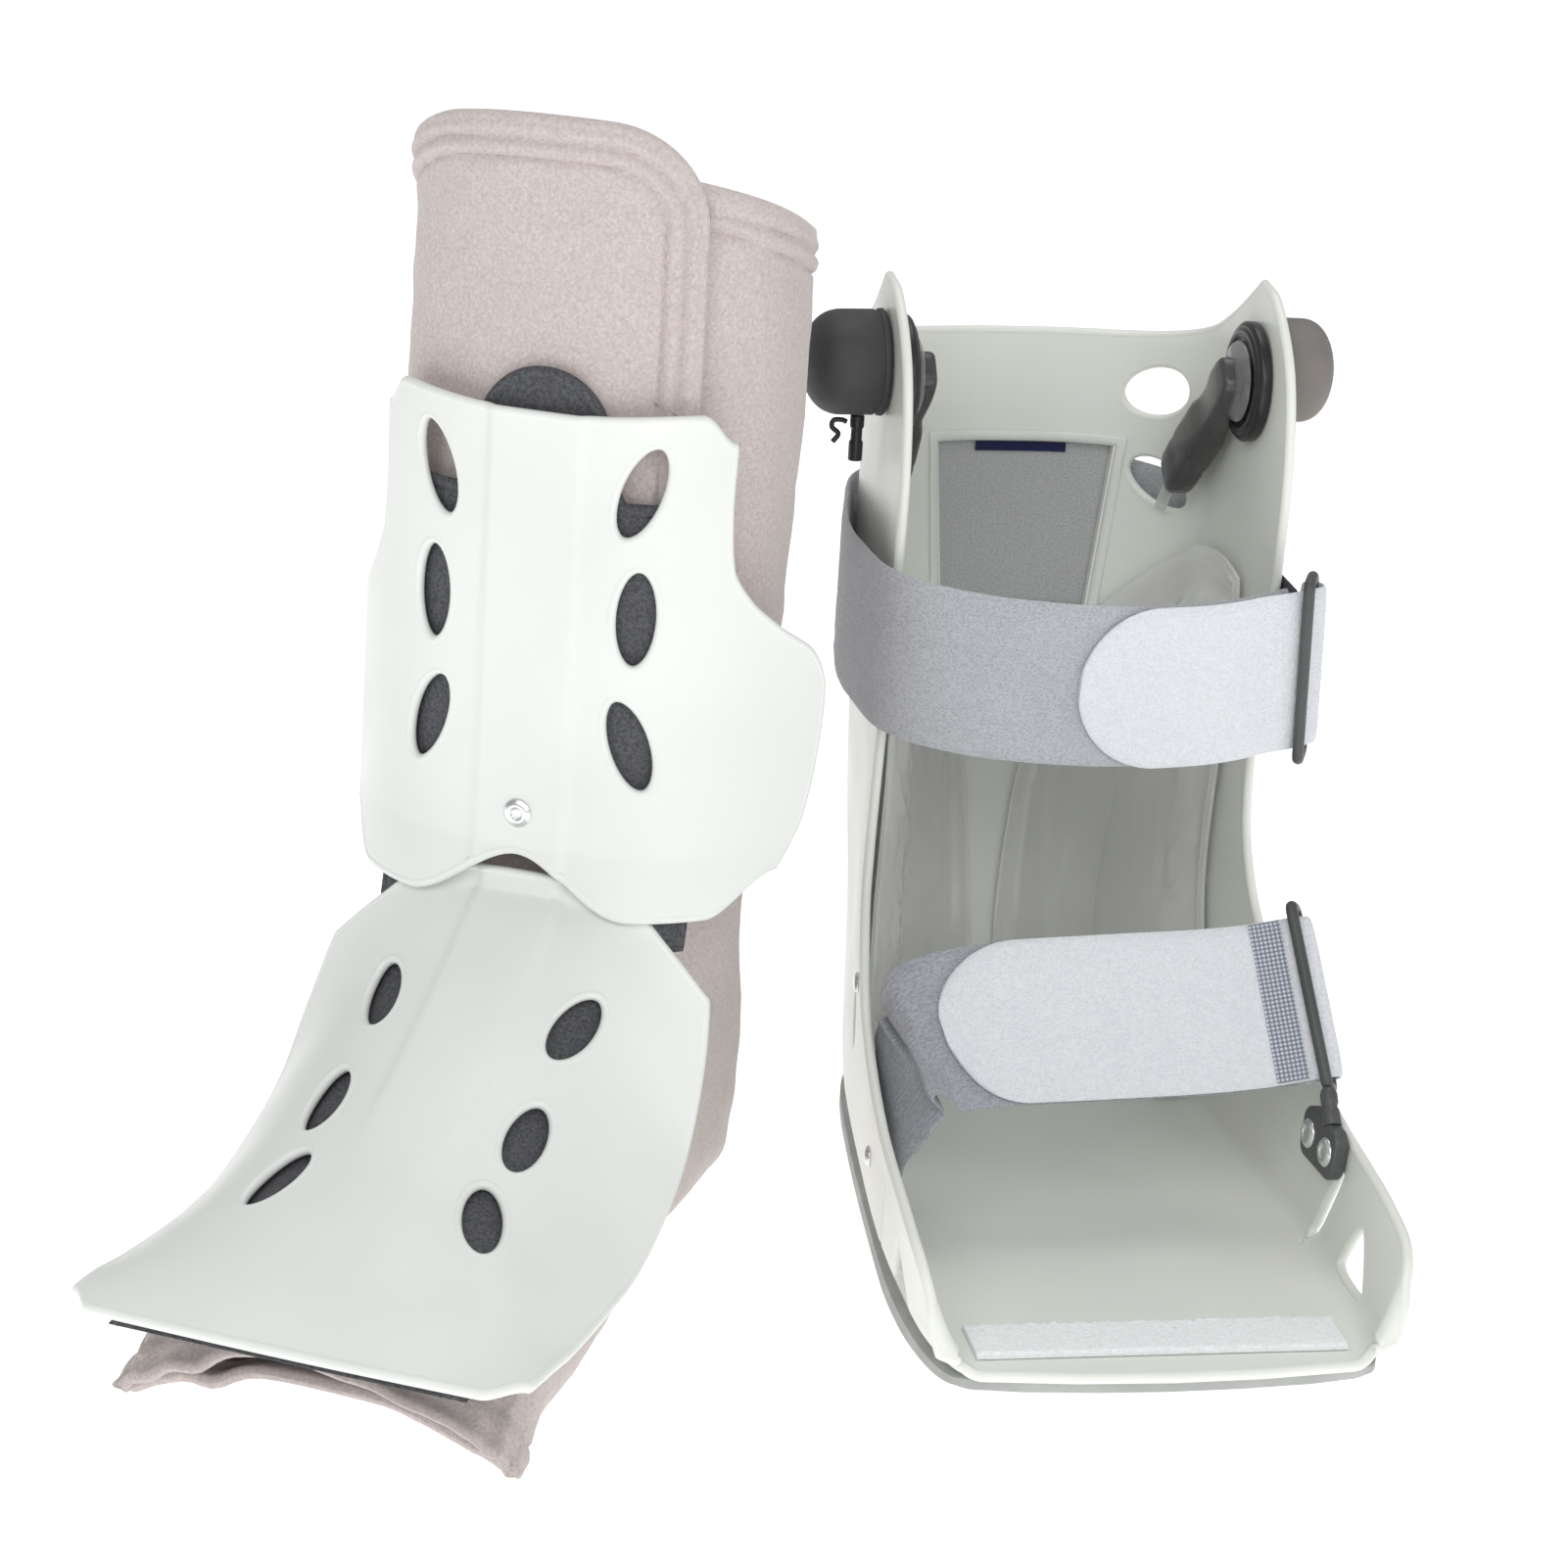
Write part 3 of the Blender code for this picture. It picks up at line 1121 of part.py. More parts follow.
def make_trim(carrier, materials):
    """Hook tape on the tray's front edge and the rivets on the outer left wall."""
    floor_z = SOLE_DEPTH + SHELL_WALL + 2.0 * GAP
    xs = steps(-0.5 * HOOK_TAPE_LENGTH, 0.5 * HOOK_TAPE_LENGTH, 5)
    ys = (HOOK_TAPE_FRONT_Y, HOOK_TAPE_FRONT_Y + HOOK_TAPE_WIDTH)
    low = [[Vector((x, y, floor_z)) for x in xs] for y in ys]
    high = [[p + Vector((0.0, 0.0, HOOK_TAPE_THICKNESS)) for p in row] for row in low]
    add_part("toe_hook_strip", slab_mesh("toe_hook_strip", high, low), materials["white"], carrier)
    for number, rivet in enumerate(RIVETS, 1):
        y = SHELL_HEEL_Y - rivet.along * SHELL_LENGTH
        point, normal = outside_wall(-1.0, y, rivet.up * SHELL_HEIGHT)
        size = RIVET_RADIUS
        profile = [(0.0, RIVET_DEPTH), (0.7 * size, 0.85 * RIVET_DEPTH), (size, 0.0), (0.0, 0.0)]
        turned(f"strap_rivet_{number}", profile, point + normal * GAP, normal, materials["rivet"], carrier, 12)


# The liner's form

def liner_ends(row):
    """Base and top points of a section in the middle plane."""
    base = Vector((0.0, LINER_HEEL_Y - row.base_y * LINER_LENGTH, row.base_z * LINER_HEIGHT))
    top = Vector((0.0, LINER_HEEL_Y - row.top_y * LINER_LENGTH, row.top_z * LINER_HEIGHT))
    return base, top


def liner_point(place, angle):
    """Point on the liner's outer face: fractional row, and angle with 90 degrees at the front or instep."""
    row = smooth_row(LINER_SECTIONS, place)
    base, top = liner_ends(row)
    level, rise = math.cos(angle), math.sin(angle)
    power = row.top_power if rise > 0.0 else row.base_power
    across = math.copysign(abs(level) ** (2.0 / power), level)
    up = math.copysign(abs(rise) ** (2.0 / power), rise)
    x = row.half * LINER_HALF_WIDTH * across * (1.0 - row.taper * max(up, 0.0))
    point = base.lerp(top, 0.5 * (1.0 + up))
    arch = row.arch * LINER_HALF_WIDTH * max(-up, 0.0) * (1.0 - across * across)
    point += Vector((x, 0.0, arch))
    point.z = max(point.z, 0.0)
    return point


def instep_point(place, out):
    """Point out from the liner's top line along its normal in the middle plane."""
    point = liner_ends(smooth_row(LINER_SECTIONS, place))[1]
    ahead = liner_ends(smooth_row(LINER_SECTIONS, place + 0.05))[1]
    behind = liner_ends(smooth_row(LINER_SECTIONS, place - 0.05))[1]
    run = (ahead - behind).normalized()
    return point + Vector((0.0, -run.z, run.y)) * out


def front_y(z):
    """Front of the liner's leg at a height."""
    line = [liner_ends(smooth_row(LINER_SECTIONS, p))[1] for p in steps(7.0, 16.0, 37)]
    for low, high in zip(line, line[1:]):
        if low.z <= z <= high.z:
            return low.y + (high.y - low.y) * (z - low.z) / (high.z - low.z)
    return line[-1].y if z > line[-1].z else line[0].y


def ridge(x):
    """Share of the raised band down the middle of a panel."""
    return 1.0 - ease(0.75 * RIDGE_HALF_WIDTH, 1.25 * RIDGE_HALF_WIDTH, abs(x))


def tibia_surface(x, z, depth):
    """Point at a depth behind the tibia panel's outer face."""
    stack = 2.0 * PAD_GAP + GAP + PANEL_WALL + PAD_THICKNESS + FLAP_THICKNESS
    share = abs(x) / TIBIA_HALF_WIDTH
    wrap = TIBIA_DROP * share ** TIBIA_WRAP_POWER
    slope = TIBIA_WRAP_POWER * TIBIA_DROP / TIBIA_HALF_WIDTH * share ** (TIBIA_WRAP_POWER - 1.0)
    tilt = math.atan(slope)
    raised = TIBIA_RIDGE * ridge(x) if depth < PANEL_WALL + GAP else 0.0
    front = front_y(max(z, TIBIA_STRAIGHT_Z)) - TIBIA_FLARE * max(TIBIA_STRAIGHT_Z - z, 0.0)
    y = front - stack + wrap - raised + depth * math.cos(tilt)
    return Vector((x - math.copysign(depth * math.sin(tilt), x), y, z))


def tibia_grid(depth, margin=0.0):
    """Grid over the tibia panel's outline at a depth behind its outer face."""
    grid = []
    for up in steps(0.0, 1.0, 12):
        edge = smooth_row(TIBIA_EDGES, place_of(TIBIA_EDGES, up))
        half = edge.half * TIBIA_HALF_WIDTH - margin
        row = []
        for share in spread(15):
            x = share * half
            side = abs(share)
            arch = TIBIA_ARCH * (1.0 - ease(0.0, 0.52, side))
            low = TIBIA_BOTTOM_Z + arch + 0.011 * ease(0.80, 1.0, side) + margin
            high = TIBIA_TOP_Z + 0.002 * ease(0.2, 0.9, side) - 0.008 * ease(0.86, 1.0, side) - margin
            row.append(tibia_surface(x, low + (high - low) * up, depth))
        grid.append(row)
    return grid


def place_of(rows, value):
    """Fractional row of a table at a value of its first column."""
    for i in range(len(rows) - 1):
        if value <= rows[i + 1][0]:
            return i + (value - rows[i][0]) / (rows[i + 1][0] - rows[i][0])
    return len(rows) - 1.0


def spread(count):
    """Shares from -1 to 1, closer together at both edges."""
    return [math.copysign(1.0 - (1.0 - abs(t)) ** 1.25, t) for t in steps(-1.0, 1.0, count)]


def make_tibia(carrier, materials):
    """Tibia panel, its screw and the pad under it."""
    mesh = slab_mesh("tibia_panel", tibia_grid(0.0), tibia_grid(PANEL_WALL))
    panel = add_part("tibia_panel", mesh, materials["panel"], carrier)
    cutters = []
    for number, pair in enumerate(TIBIA_OVALS, 1):
        for side, word in ((-1.0, "left"), (1.0, "right")):
            spot = tibia_surface(side * OVAL_SPREAD, pair.place, 0.5 * PANEL_WALL)
            ahead = tibia_surface(side * OVAL_SPREAD, pair.place, 0.0)
            outline = oval(OVAL_HALF_WIDTH, TIBIA_OVAL_HALF_LENGTH, -side * pair.lean)
            name = f"tibia_oval_{number}_{word}_cut"
            axis = spot - ahead
            cutters.append(outline_cutter(name, outline, spot, axis, (0, 0, 1), 3.0 * PANEL_WALL, carrier))
    cut(panel, cutters)
    front = tibia_surface(0.0, SCREW_Z, 0.0)
    rise = SCREW_DEPTH
    profile = [(0.0, rise), (0.8 * SCREW_RADIUS, 0.9 * rise), (SCREW_RADIUS, 0.0), (0.0, 0.0)]
    seat = front - Vector((0.0, 2.0 * GAP, 0.0))
    turned("tibia_screw", profile, seat, (0, -1, 0), materials["rivet"], carrier, 16)

    top_layer = []
    bottom_layer = []
    depth = PANEL_WALL + PAD_GAP
    for up in steps(0.0, 1.0, 9):
        top_row = []
        bottom_row = []
        for share in steps(-1.0, 1.0, 15):
            x = share * TIBIA_PAD_HALF_WIDTH
            tongue = TIBIA_TONGUE_RADIUS ** 2 - min(abs(x), TIBIA_TONGUE_RADIUS) ** 2
            rise = TIBIA_TONGUE_Z - TIBIA_TONGUE_RADIUS - TIBIA_PAD_TOP_Z
            beside = ease(0.95, 1.25, abs(x) / TIBIA_TONGUE_RADIUS)
            high = TIBIA_PAD_TOP_Z + math.sqrt(tongue) + rise * (1.0 - beside)
            ear = ease(0.62, 0.90, abs(share))
            low = TIBIA_PAD_MIDDLE_Z + (TIBIA_PAD_LOWER_Z - TIBIA_PAD_MIDDLE_Z) * ear
            z = low + (high - low) * up
            top_row.append(tibia_surface(x, z, depth))
            bottom_row.append(tibia_surface(x, z, depth + PAD_THICKNESS))
        top_layer.append(top_row)
        bottom_layer.append(bottom_row)
    add_part("tibia_pad", slab_mesh("tibia_pad", top_layer, bottom_layer), materials["pad"], carrier)


def foot_surface(place, share, depth):
    """Point at a depth under the foot panel: place on the liner's rows and signed share across."""
    row = smooth_row(FOOT_ROWS, place_of(FOOT_ROWS, place))
    stack = 2.0 * PAD_GAP + PANEL_WALL + PAD_THICKNESS
    forward = max(-place, 0.0)
    centre = instep_point(max(place, 0.0), stack)
    slope = instep_point(0.05, stack) - instep_point(0.0, stack)
    centre = centre - slope.normalized() * forward * FOOT_PANEL_REACH
    down = row.down * FOOT_PANEL_DROP
    side = abs(share)
    raised = TIBIA_RIDGE * ridge(side * FOOT_PANEL_HALF) * ease(2.0, 3.2, place)
    if depth > PANEL_WALL:
        raised = 0.0
    x = math.copysign(side * row.half * FOOT_PANEL_HALF, share)
    y = centre.y + row.back * FOOT_PANEL_DROP * side * side
    z = centre.z - down * side ** 2.5
    point = Vector((x, y, z))
    run = slope_at(place)
    fall = 2.5 * down * side ** 1.5 / (row.half * FOOT_PANEL_HALF)
    normal = Vector((math.copysign(fall, share), -run.z, run.y)).normalized()
    return point + normal * (raised - depth)


def slope_at(place):
    """Direction of the liner's top line."""
    ahead = liner_ends(smooth_row(LINER_SECTIONS, max(place, 0.0) + 0.1))[1]
    behind = liner_ends(smooth_row(LINER_SECTIONS, max(place, 0.0) - 0.1))[1]
    return (ahead - behind).normalized()


def foot_grid(depth):
    """Grid over the foot panel's outline at a depth under its outer face."""
    front = FOOT_ROWS[0].row
    back = FOOT_ROWS[-1].row
    grid = []
    for up in steps(0.0, 1.0, 13):
        row = []
        for share in spread(13):
            corner = abs(share)
            low = front + 0.5 * ease(0.86, 1.0, corner)
            high = back - FOOT_CORNER_CUT * ease(0.35, 1.0, corner)
            row.append(foot_surface(low + (high - low) * up, share, depth))
        grid.append(row)
    return grid


def make_foot(carrier, materials):
    """Foot panel and the pad under it."""
    mesh = slab_mesh("foot_panel", foot_grid(0.0), foot_grid(PANEL_WALL))
    panel = add_part("foot_panel", mesh, materials["panel"], carrier)
    cutters = []
    for number, pair in enumerate(FOOT_OVALS, 1):
        for side, word in ((-1.0, "left"), (1.0, "right")):
            share = side * OVAL_SPREAD / FOOT_PANEL_HALF
            spot = foot_surface(pair.place, share, 0.5 * PANEL_WALL)
            axis = spot - foot_surface(pair.place, share, 0.0)
            outline = oval(OVAL_HALF_WIDTH, FOOT_OVAL_HALF_LENGTH, -side * pair.lean)
            name = f"foot_oval_{number}_{word}_cut"
            up = slope_at(pair.place)
            cutters.append(outline_cutter(name, outline, spot, axis, up, 3.0 * PANEL_WALL, carrier))
    cut(panel, cutters)
    depth = PANEL_WALL + PAD_GAP
    top = [row[2:-2] for row in foot_grid(depth)[:-1]]
    bottom = [row[2:-2] for row in foot_grid(depth + PAD_THICKNESS)[:-1]]
    add_part("foot_pad", slab_mesh("foot_pad", top, bottom), materials["pad"], carrier)


def pressed(point, centre, trees, clearance):
    """Point drawn in along its ray from the centre, so that it stays clear of the surfaces pressing on it."""
    toward = point - centre
    reach = toward.length
    toward.normalize()
    for tree in trees:
        hit, _, _, distance = tree.ray_cast(centre, toward)
        if hit is not None:
            reach = min(reach, distance - clearance)
    return centre + toward * reach


def make_liner(carrier, material):
    """Hollow bootie, open at the toe and at the top, and the flap over its front."""
    under_foot = tree_of_grid(foot_grid(PANEL_WALL + PAD_GAP + PAD_THICKNESS))
    under_tibia = tree_of_grid(tibia_grid(PANEL_WALL + PAD_GAP + PAD_THICKNESS + GAP + FLAP_THICKNESS))
    flap_under = tree_of_grid(tibia_grid(PANEL_WALL + PAD_GAP + PAD_THICKNESS))
    around = 18
    rings = []
    for place in steps(0.0, len(LINER_SECTIONS) - 1.0, 19):
        base, top = liner_ends(smooth_row(LINER_SECTIONS, place))
        centre = base.lerp(top, 0.4)
        row = []
        for i in range(around):
            point = liner_point(place, 2.0 * math.pi * (i + 0.5) / around)
            row.append(pressed(point, centre, (under_foot, under_tibia), 1.6 * PAD_GAP))
        rings.append(row)
    points = [p for row in rings for p in row]
    faces = grid_faces(len(rings), around, closed=True, turned=True)
    mesh = mesh_from("liner", points, faces, outward=False)
    liner = solidified(add_part("liner", mesh, material, carrier), LINER_WALL)

    outer = []
    inner = []
    left_angle = math.radians(196.0)
    top_place = len(LINER_SECTIONS) - 1.0
    low_place = flap_row(FLAP_LOWER_Z)
    for up in steps(0.0, 1.0, 9):
        outer_row = []
        inner_row = []
        for share in spread(13):
            t = 0.5 * (share + 1.0)
            right = edge_angle(low_place + (top_place - low_place) * up)
            angle = left_angle + (right - left_angle) * t
            corner = max(t - 0.80, 0.0) / 0.20
            drop = 1.0 - math.sqrt(max(1.0 - corner * corner, 0.0))
            rise = FLAP_RISE / (0.15 * LINER_HEIGHT) * ease(0.0, 0.5, t) + 0.06
            high = top_place + rise - FLAP_CORNER / (0.15 * LINER_HEIGHT) * drop
            place = low_place + (high - low_place) * up
            point = liner_point(place, angle)
            normal = surface_normal(liner_point, place, angle)
            normal = normal if normal.dot(point - liner_middle(place)) > 0.0 else -normal
            skin = max(0.15 + 0.85 * ease(0.0, 0.3, t), 0.15) * FLAP_THICKNESS
            near = point + normal * 3.0 * GAP
            far = pressed(near + normal * skin, liner_middle(place), (flap_under,), PAD_GAP)
            close = far - normal * skin
            outer_row.append(far)
            inner_row.append(close)
        outer.append(outer_row)
        inner.append(inner_row)
    add_part("liner_flap", slab_mesh("liner_flap", outer, inner), material, carrier)
    return liner


def liner_middle(place):
    """Middle of a liner section."""
    base, top = liner_ends(smooth_row(LINER_SECTIONS, place))
    return base.lerp(top, 0.4)


def flap_row(z):
    """Fractional row at which the liner's front reaches a height."""
    places = steps(7.0, len(LINER_SECTIONS) - 1.0, 90)
    return min(places, key=lambda p: abs(liner_ends(smooth_row(LINER_SECTIONS, p))[1].z - z))


def edge_angle(place):
    """Angle at which the liner's front is as far right as the flap's edge."""
    angles = [math.radians(a) for a in range(20, 90, 2)]
    return min(angles, key=lambda a: abs(liner_point(place, a).x - FLAP_EDGE_X))


def settle(carrier):
    """Move the whole boot so that its origin is under the middle of its box, on the floor."""
    bpy.context.view_layer.update()
    graph = bpy.context.evaluated_depsgraph_get()
    spots = []
    for part in PARTS.objects:
        if part.type == "EMPTY":
            continue
        shape = part.evaluated_get(graph)
        mesh = shape.to_mesh()
        spots += [part.matrix_world @ vertex.co for vertex in mesh.vertices]
        shape.to_mesh_clear()
    low = [min(spot[axis] for spot in spots) for axis in range(3)]
    high = [max(spot[axis] for spot in spots) for axis in range(3)]
    carrier.location = (-0.5 * (low[0] + high[0]), -0.5 * (low[1] + high[1]), -low[2])


clear_scene()
PARTS = new_collection("walking_boot")
CUTTERS = new_collection("walking_boot_cutters")
boot = new_empty("boot_origin")
shell_half = new_empty("shell_frame", parent=boot)
liner_half = new_empty("liner_frame", (*LINER_SPOT, 0.0), LINER_TURN, boot)

looks = {
    "shell": look("shell_plastic", (0.66, 0.69, 0.63), 0.38),
    "sole": look("sole_rubber", (0.45, 0.46, 0.45), 0.6),
    "bulb_left": look("bulb_charcoal", (0.045, 0.045, 0.045), 0.6),
    "bulb_right": look("bulb_grey", (0.15, 0.14, 0.13), 0.6),
    "black": look("valve_black", (0.012, 0.012, 0.013), 0.3),
    "clear": look("clear_vinyl", (0.75, 0.77, 0.76), 0.15, alpha=0.5),
    "cell": look("air_cell_vinyl", (0.60, 0.63, 0.60), 0.2, alpha=0.6),
    "frame": look("window_frame_plastic", (0.80, 0.81, 0.78), 0.35),
    "fabric": look("window_fabric", (0.26, 0.27, 0.27), 0.9),
    "navy": look("navy_stripe", (0.02, 0.03, 0.12), 0.7),
    "loop": look("strap_loop", (0.42, 0.43, 0.46), 0.95),
    "tab": look("strap_tab", (0.68, 0.70, 0.74), 0.85),
    "webbing": look("ring_webbing", (0.12, 0.12, 0.13), 0.9),
    "stitch": look("stitch_mesh", (0.30, 0.32, 0.37), 0.9),
    "ring": look("ring_plastic", (0.055, 0.06, 0.06), 0.45),
    "rivet": look("rivet_metal", (0.75, 0.76, 0.76), 0.3, 1.0),
    "white": look("hook_tape", (0.85, 0.86, 0.87), 0.9),
    "felt": look("liner_felt", (0.56, 0.50, 0.48), 0.95),
    "panel": look("panel_plastic", (0.82, 0.84, 0.81), 0.4),
    "pad": look("pad_foam", (0.09, 0.09, 0.10), 0.7),
}

rear_shell = make_shell(shell_half, looks["shell"])
SHELL_TREE = tree_of_mesh(evaluated_mesh(rear_shell))
cut(rear_shell, shell_cutters(shell_half))
make_outsole(shell_half, looks["sole"])
make_window(shell_half, looks)
make_pumps(shell_half, looks)
make_valves(shell_half, looks)
make_cells(shell_half, looks["cell"])
make_upper_strap(shell_half, looks)
ring_bar, ring_end = make_lower_strap(shell_half, looks)
make_bracket(shell_half, looks, ring_bar, ring_end)
make_trim(shell_half, looks)
make_tibia(liner_half, looks)
make_foot(liner_half, looks)
make_liner(liner_half, looks["felt"])
settle(boot)
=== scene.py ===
"""Looks of the walking boot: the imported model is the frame, and each soft or moulded piece is made again here.

The shell's frame has +X to the viewer's right, +Y to the heel and the floor at z = 0. The liner has a frame of
its own, turned about Z. Every piece is made in one of the two and then set in the row's frame.
"""

import math
from collections import namedtuple

import bmesh
import bpy
from mathutils import Matrix, Vector, noise
from mathutils.bvhtree import BVHTree
from mathutils.kdtree import KDTree


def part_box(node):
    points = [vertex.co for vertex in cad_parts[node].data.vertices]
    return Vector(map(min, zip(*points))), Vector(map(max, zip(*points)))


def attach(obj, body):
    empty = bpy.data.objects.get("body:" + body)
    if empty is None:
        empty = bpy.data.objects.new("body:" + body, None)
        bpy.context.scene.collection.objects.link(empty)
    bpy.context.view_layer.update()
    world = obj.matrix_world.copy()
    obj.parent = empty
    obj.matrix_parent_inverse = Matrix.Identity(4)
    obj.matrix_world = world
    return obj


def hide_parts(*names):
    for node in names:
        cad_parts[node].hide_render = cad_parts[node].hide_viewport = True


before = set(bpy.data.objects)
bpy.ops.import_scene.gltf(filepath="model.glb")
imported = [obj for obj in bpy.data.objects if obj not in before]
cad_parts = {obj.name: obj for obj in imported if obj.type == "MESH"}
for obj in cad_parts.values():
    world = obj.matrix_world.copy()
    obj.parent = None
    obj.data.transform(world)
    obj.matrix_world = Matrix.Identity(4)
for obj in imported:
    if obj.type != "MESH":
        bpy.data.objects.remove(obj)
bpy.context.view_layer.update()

# Camera, in the shell's frame
CAMERA_SPOT = (-0.3007, -1.1308, 0.5027)
CAMERA_TURN = math.radians(-10.764)
CAMERA_TILT = math.radians(18.202)
CAMERA_ROLL = math.radians(3.369)
CAMERA_LENS = 89.94

# Gaps and walls shared by many pieces
GAP = 0.0003
BAND_THICKNESS = 0.002

# Rear shell
SHELL_LENGTH = 0.266
SHELL_HEIGHT = 0.280
SHELL_HALF_WIDTH = 0.0725
SHELL_WALL = 0.003
SHELL_HEEL_Y = 0.088
LEG_MIDDLE_Y = 0.025
SOLE_DEPTH = 0.009
SOLE_ROCKER = 0.0065

# Holes in the shell
WINDOW_DROP = 0.066
WINDOW_HEIGHT = 0.056
WINDOW_TOP_Z = SHELL_HEIGHT - WINDOW_DROP
WINDOW_BOTTOM_Z = WINDOW_TOP_Z - WINDOW_HEIGHT
WINDOW_TOP_HALF = 0.029
WINDOW_BOTTOM_HALF = 0.024
WINDOW_MIDDLE_X = 0.003
WINDOW_FRAME_WIDTH = 0.0035
WINDOW_FRAME_DEPTH = 0.0012
WINDOW_TAB_OVERLAP = 0.006
TAB_GAP = 0.0007
STRIPE_WIDTH = 0.030
STRIPE_DEPTH = 0.003
STRIPE_THICKNESS = 0.0006

# Pumps and valves on the ears
PUMP_Y = 0.012
PUMP_DROP = 0.025
PUMP_Z = SHELL_HEIGHT - PUMP_DROP
PUMP_RADIUS = 0.016
PUMP_REACH = {"left": 0.0250, "right": 0.0195}
PUMP_SKIRT = 0.5
STEM_RADIUS = 0.0022
STEM_LENGTH = 0.014
STEM_OFF_WALL = 0.0078
HOOK_WIRE = 0.0008
HOOK_SIZE = 0.0042
VALVE_RADIUS = 0.0185
VALVE_DEPTH = 0.0045
VALVE_RIM = 0.0012
VALVE_COVER_RADIUS = 0.0125
VALVE_COVER_DEPTH = 0.0035
VALVE_DROP = 0.029
VALVE_Z = SHELL_HEIGHT - VALVE_DROP
NOZZLE_HALF_WIDTH = 0.0075
NOZZLE_HALF_DEPTH = 0.0042
NOZZLE_END_Y = 0.057
NOZZLE_END_DROP = 0.070
NOZZLE_END_Z = SHELL_HEIGHT - NOZZLE_END_DROP
TUBE_RADIUS = 0.0021
TUBE_DROP = 0.013

# Air cells on the inside of the shell
CELL_FULLNESS = 0.011
CELL_WELD_THICKNESS = 0.0012
CELL_WELD_SHARE = 0.88
CELL_WALL_GAP = WINDOW_FRAME_DEPTH + 3.0 * GAP

# Straps
STRAP_WIDTH = 0.050
TAB_WIDTH = 0.050
RING_BAR_RADIUS = 0.0018
RING_SPREAD = 0.0045
RING_END_CLEARANCE = 0.0012
LAYER_GAP = 0.0006
FOLD_EASE = 0.018
RETURN_LEG = 0.007
UPPER_FRONT_INSET = 0.005
UPPER_FRONT_HALF = SHELL_HALF_WIDTH - UPPER_FRONT_INSET
UPPER_FRONT_DEPTH = 0.072
UPPER_WALL_CLEARANCE = 0.0036
STRAP_STEP = 0.0085
WEBBING_STATIONS = 6
WEBBING_INSET = 0.003
RING_CORNER = 0.0022
UPPER_TAB_LENGTH = 0.080
LOWER_TAB_LENGTH = 0.117
STITCH_BAND_WIDTH = 0.009
STITCH_BAND_THICKNESS = 0.0005
HOOK_TAPE_LENGTH = 0.108
HOOK_TAPE_WIDTH = 0.020
HOOK_TAPE_THICKNESS = 0.0016
HOOK_TAPE_SETBACK = 0.0065
HOOK_TAPE_FRONT_Y = SHELL_HEEL_Y - SHELL_LENGTH + HOOK_TAPE_SETBACK
RIVET_RADIUS = 0.0032
RIVET_DEPTH = 0.0014
BRACKET_LENGTH = 0.026
BRACKET_HEIGHT = 0.016
BRACKET_DEPTH = 0.0045
BRACKET_WALL_GAP = 0.0009
BRACKET_RIVET_RADIUS = 0.0045
BRACKET_RIVET_DEPTH = 0.0012
BARREL_RADIUS = 0.0024
BARREL_LENGTH = 0.008

# Liner
LINER_SPOT = (-0.1644, -0.0559)
LINER_TURN = math.radians(-29.3)
LINER_LENGTH = 0.233
LINER_HEIGHT = 0.326
LINER_HALF_WIDTH = 0.060
LINER_HEEL_Y = 0.081
LINER_WALL = 0.004
FLAP_THICKNESS = 0.004
FLAP_RISE = 0.010
FLAP_EDGE_X = 0.039
FLAP_CORNER = 0.024
FLAP_LOWER_Z = 0.150

# Front panels and the pads under them
PANEL_WALL = 0.0028
PAD_THICKNESS = 0.0032
PAD_GAP = 0.00095
TIBIA_TOP_Z = 0.257
TIBIA_BOTTOM_Z = 0.115
TIBIA_HALF_WIDTH = 0.0725
TIBIA_DROP = 0.049
TIBIA_WRAP_POWER = 3.2
TIBIA_ARCH = 0.016
TIBIA_STRAIGHT_Z = 0.132
TIBIA_FLARE = 0.24
TIBIA_RIDGE = 0.0013
RIDGE_HALF_WIDTH = 0.014
TIBIA_PAD_TOP_Z = 0.234
TIBIA_TONGUE_RADIUS = 0.021
TIBIA_TONGUE_Z = 0.270
TIBIA_PAD_HALF_WIDTH = 0.051
TIBIA_PAD_LOWER_Z = 0.104
TIBIA_PAD_MIDDLE_Z = 0.131
FOOT_PANEL_HALF = 0.066
FOOT_PANEL_DROP = 0.054
FOOT_PANEL_REACH = 0.019
FOOT_CORNER_CUT = 1.7
OVAL_HALF_WIDTH = 0.0067
TIBIA_OVAL_HALF_LENGTH = 0.0146
FOOT_OVAL_HALF_LENGTH = 0.0130
OVAL_SPREAD = 0.031
SCREW_RADIUS = 0.0042
SCREW_DEPTH = 0.0012
SCREW_Z = 0.142

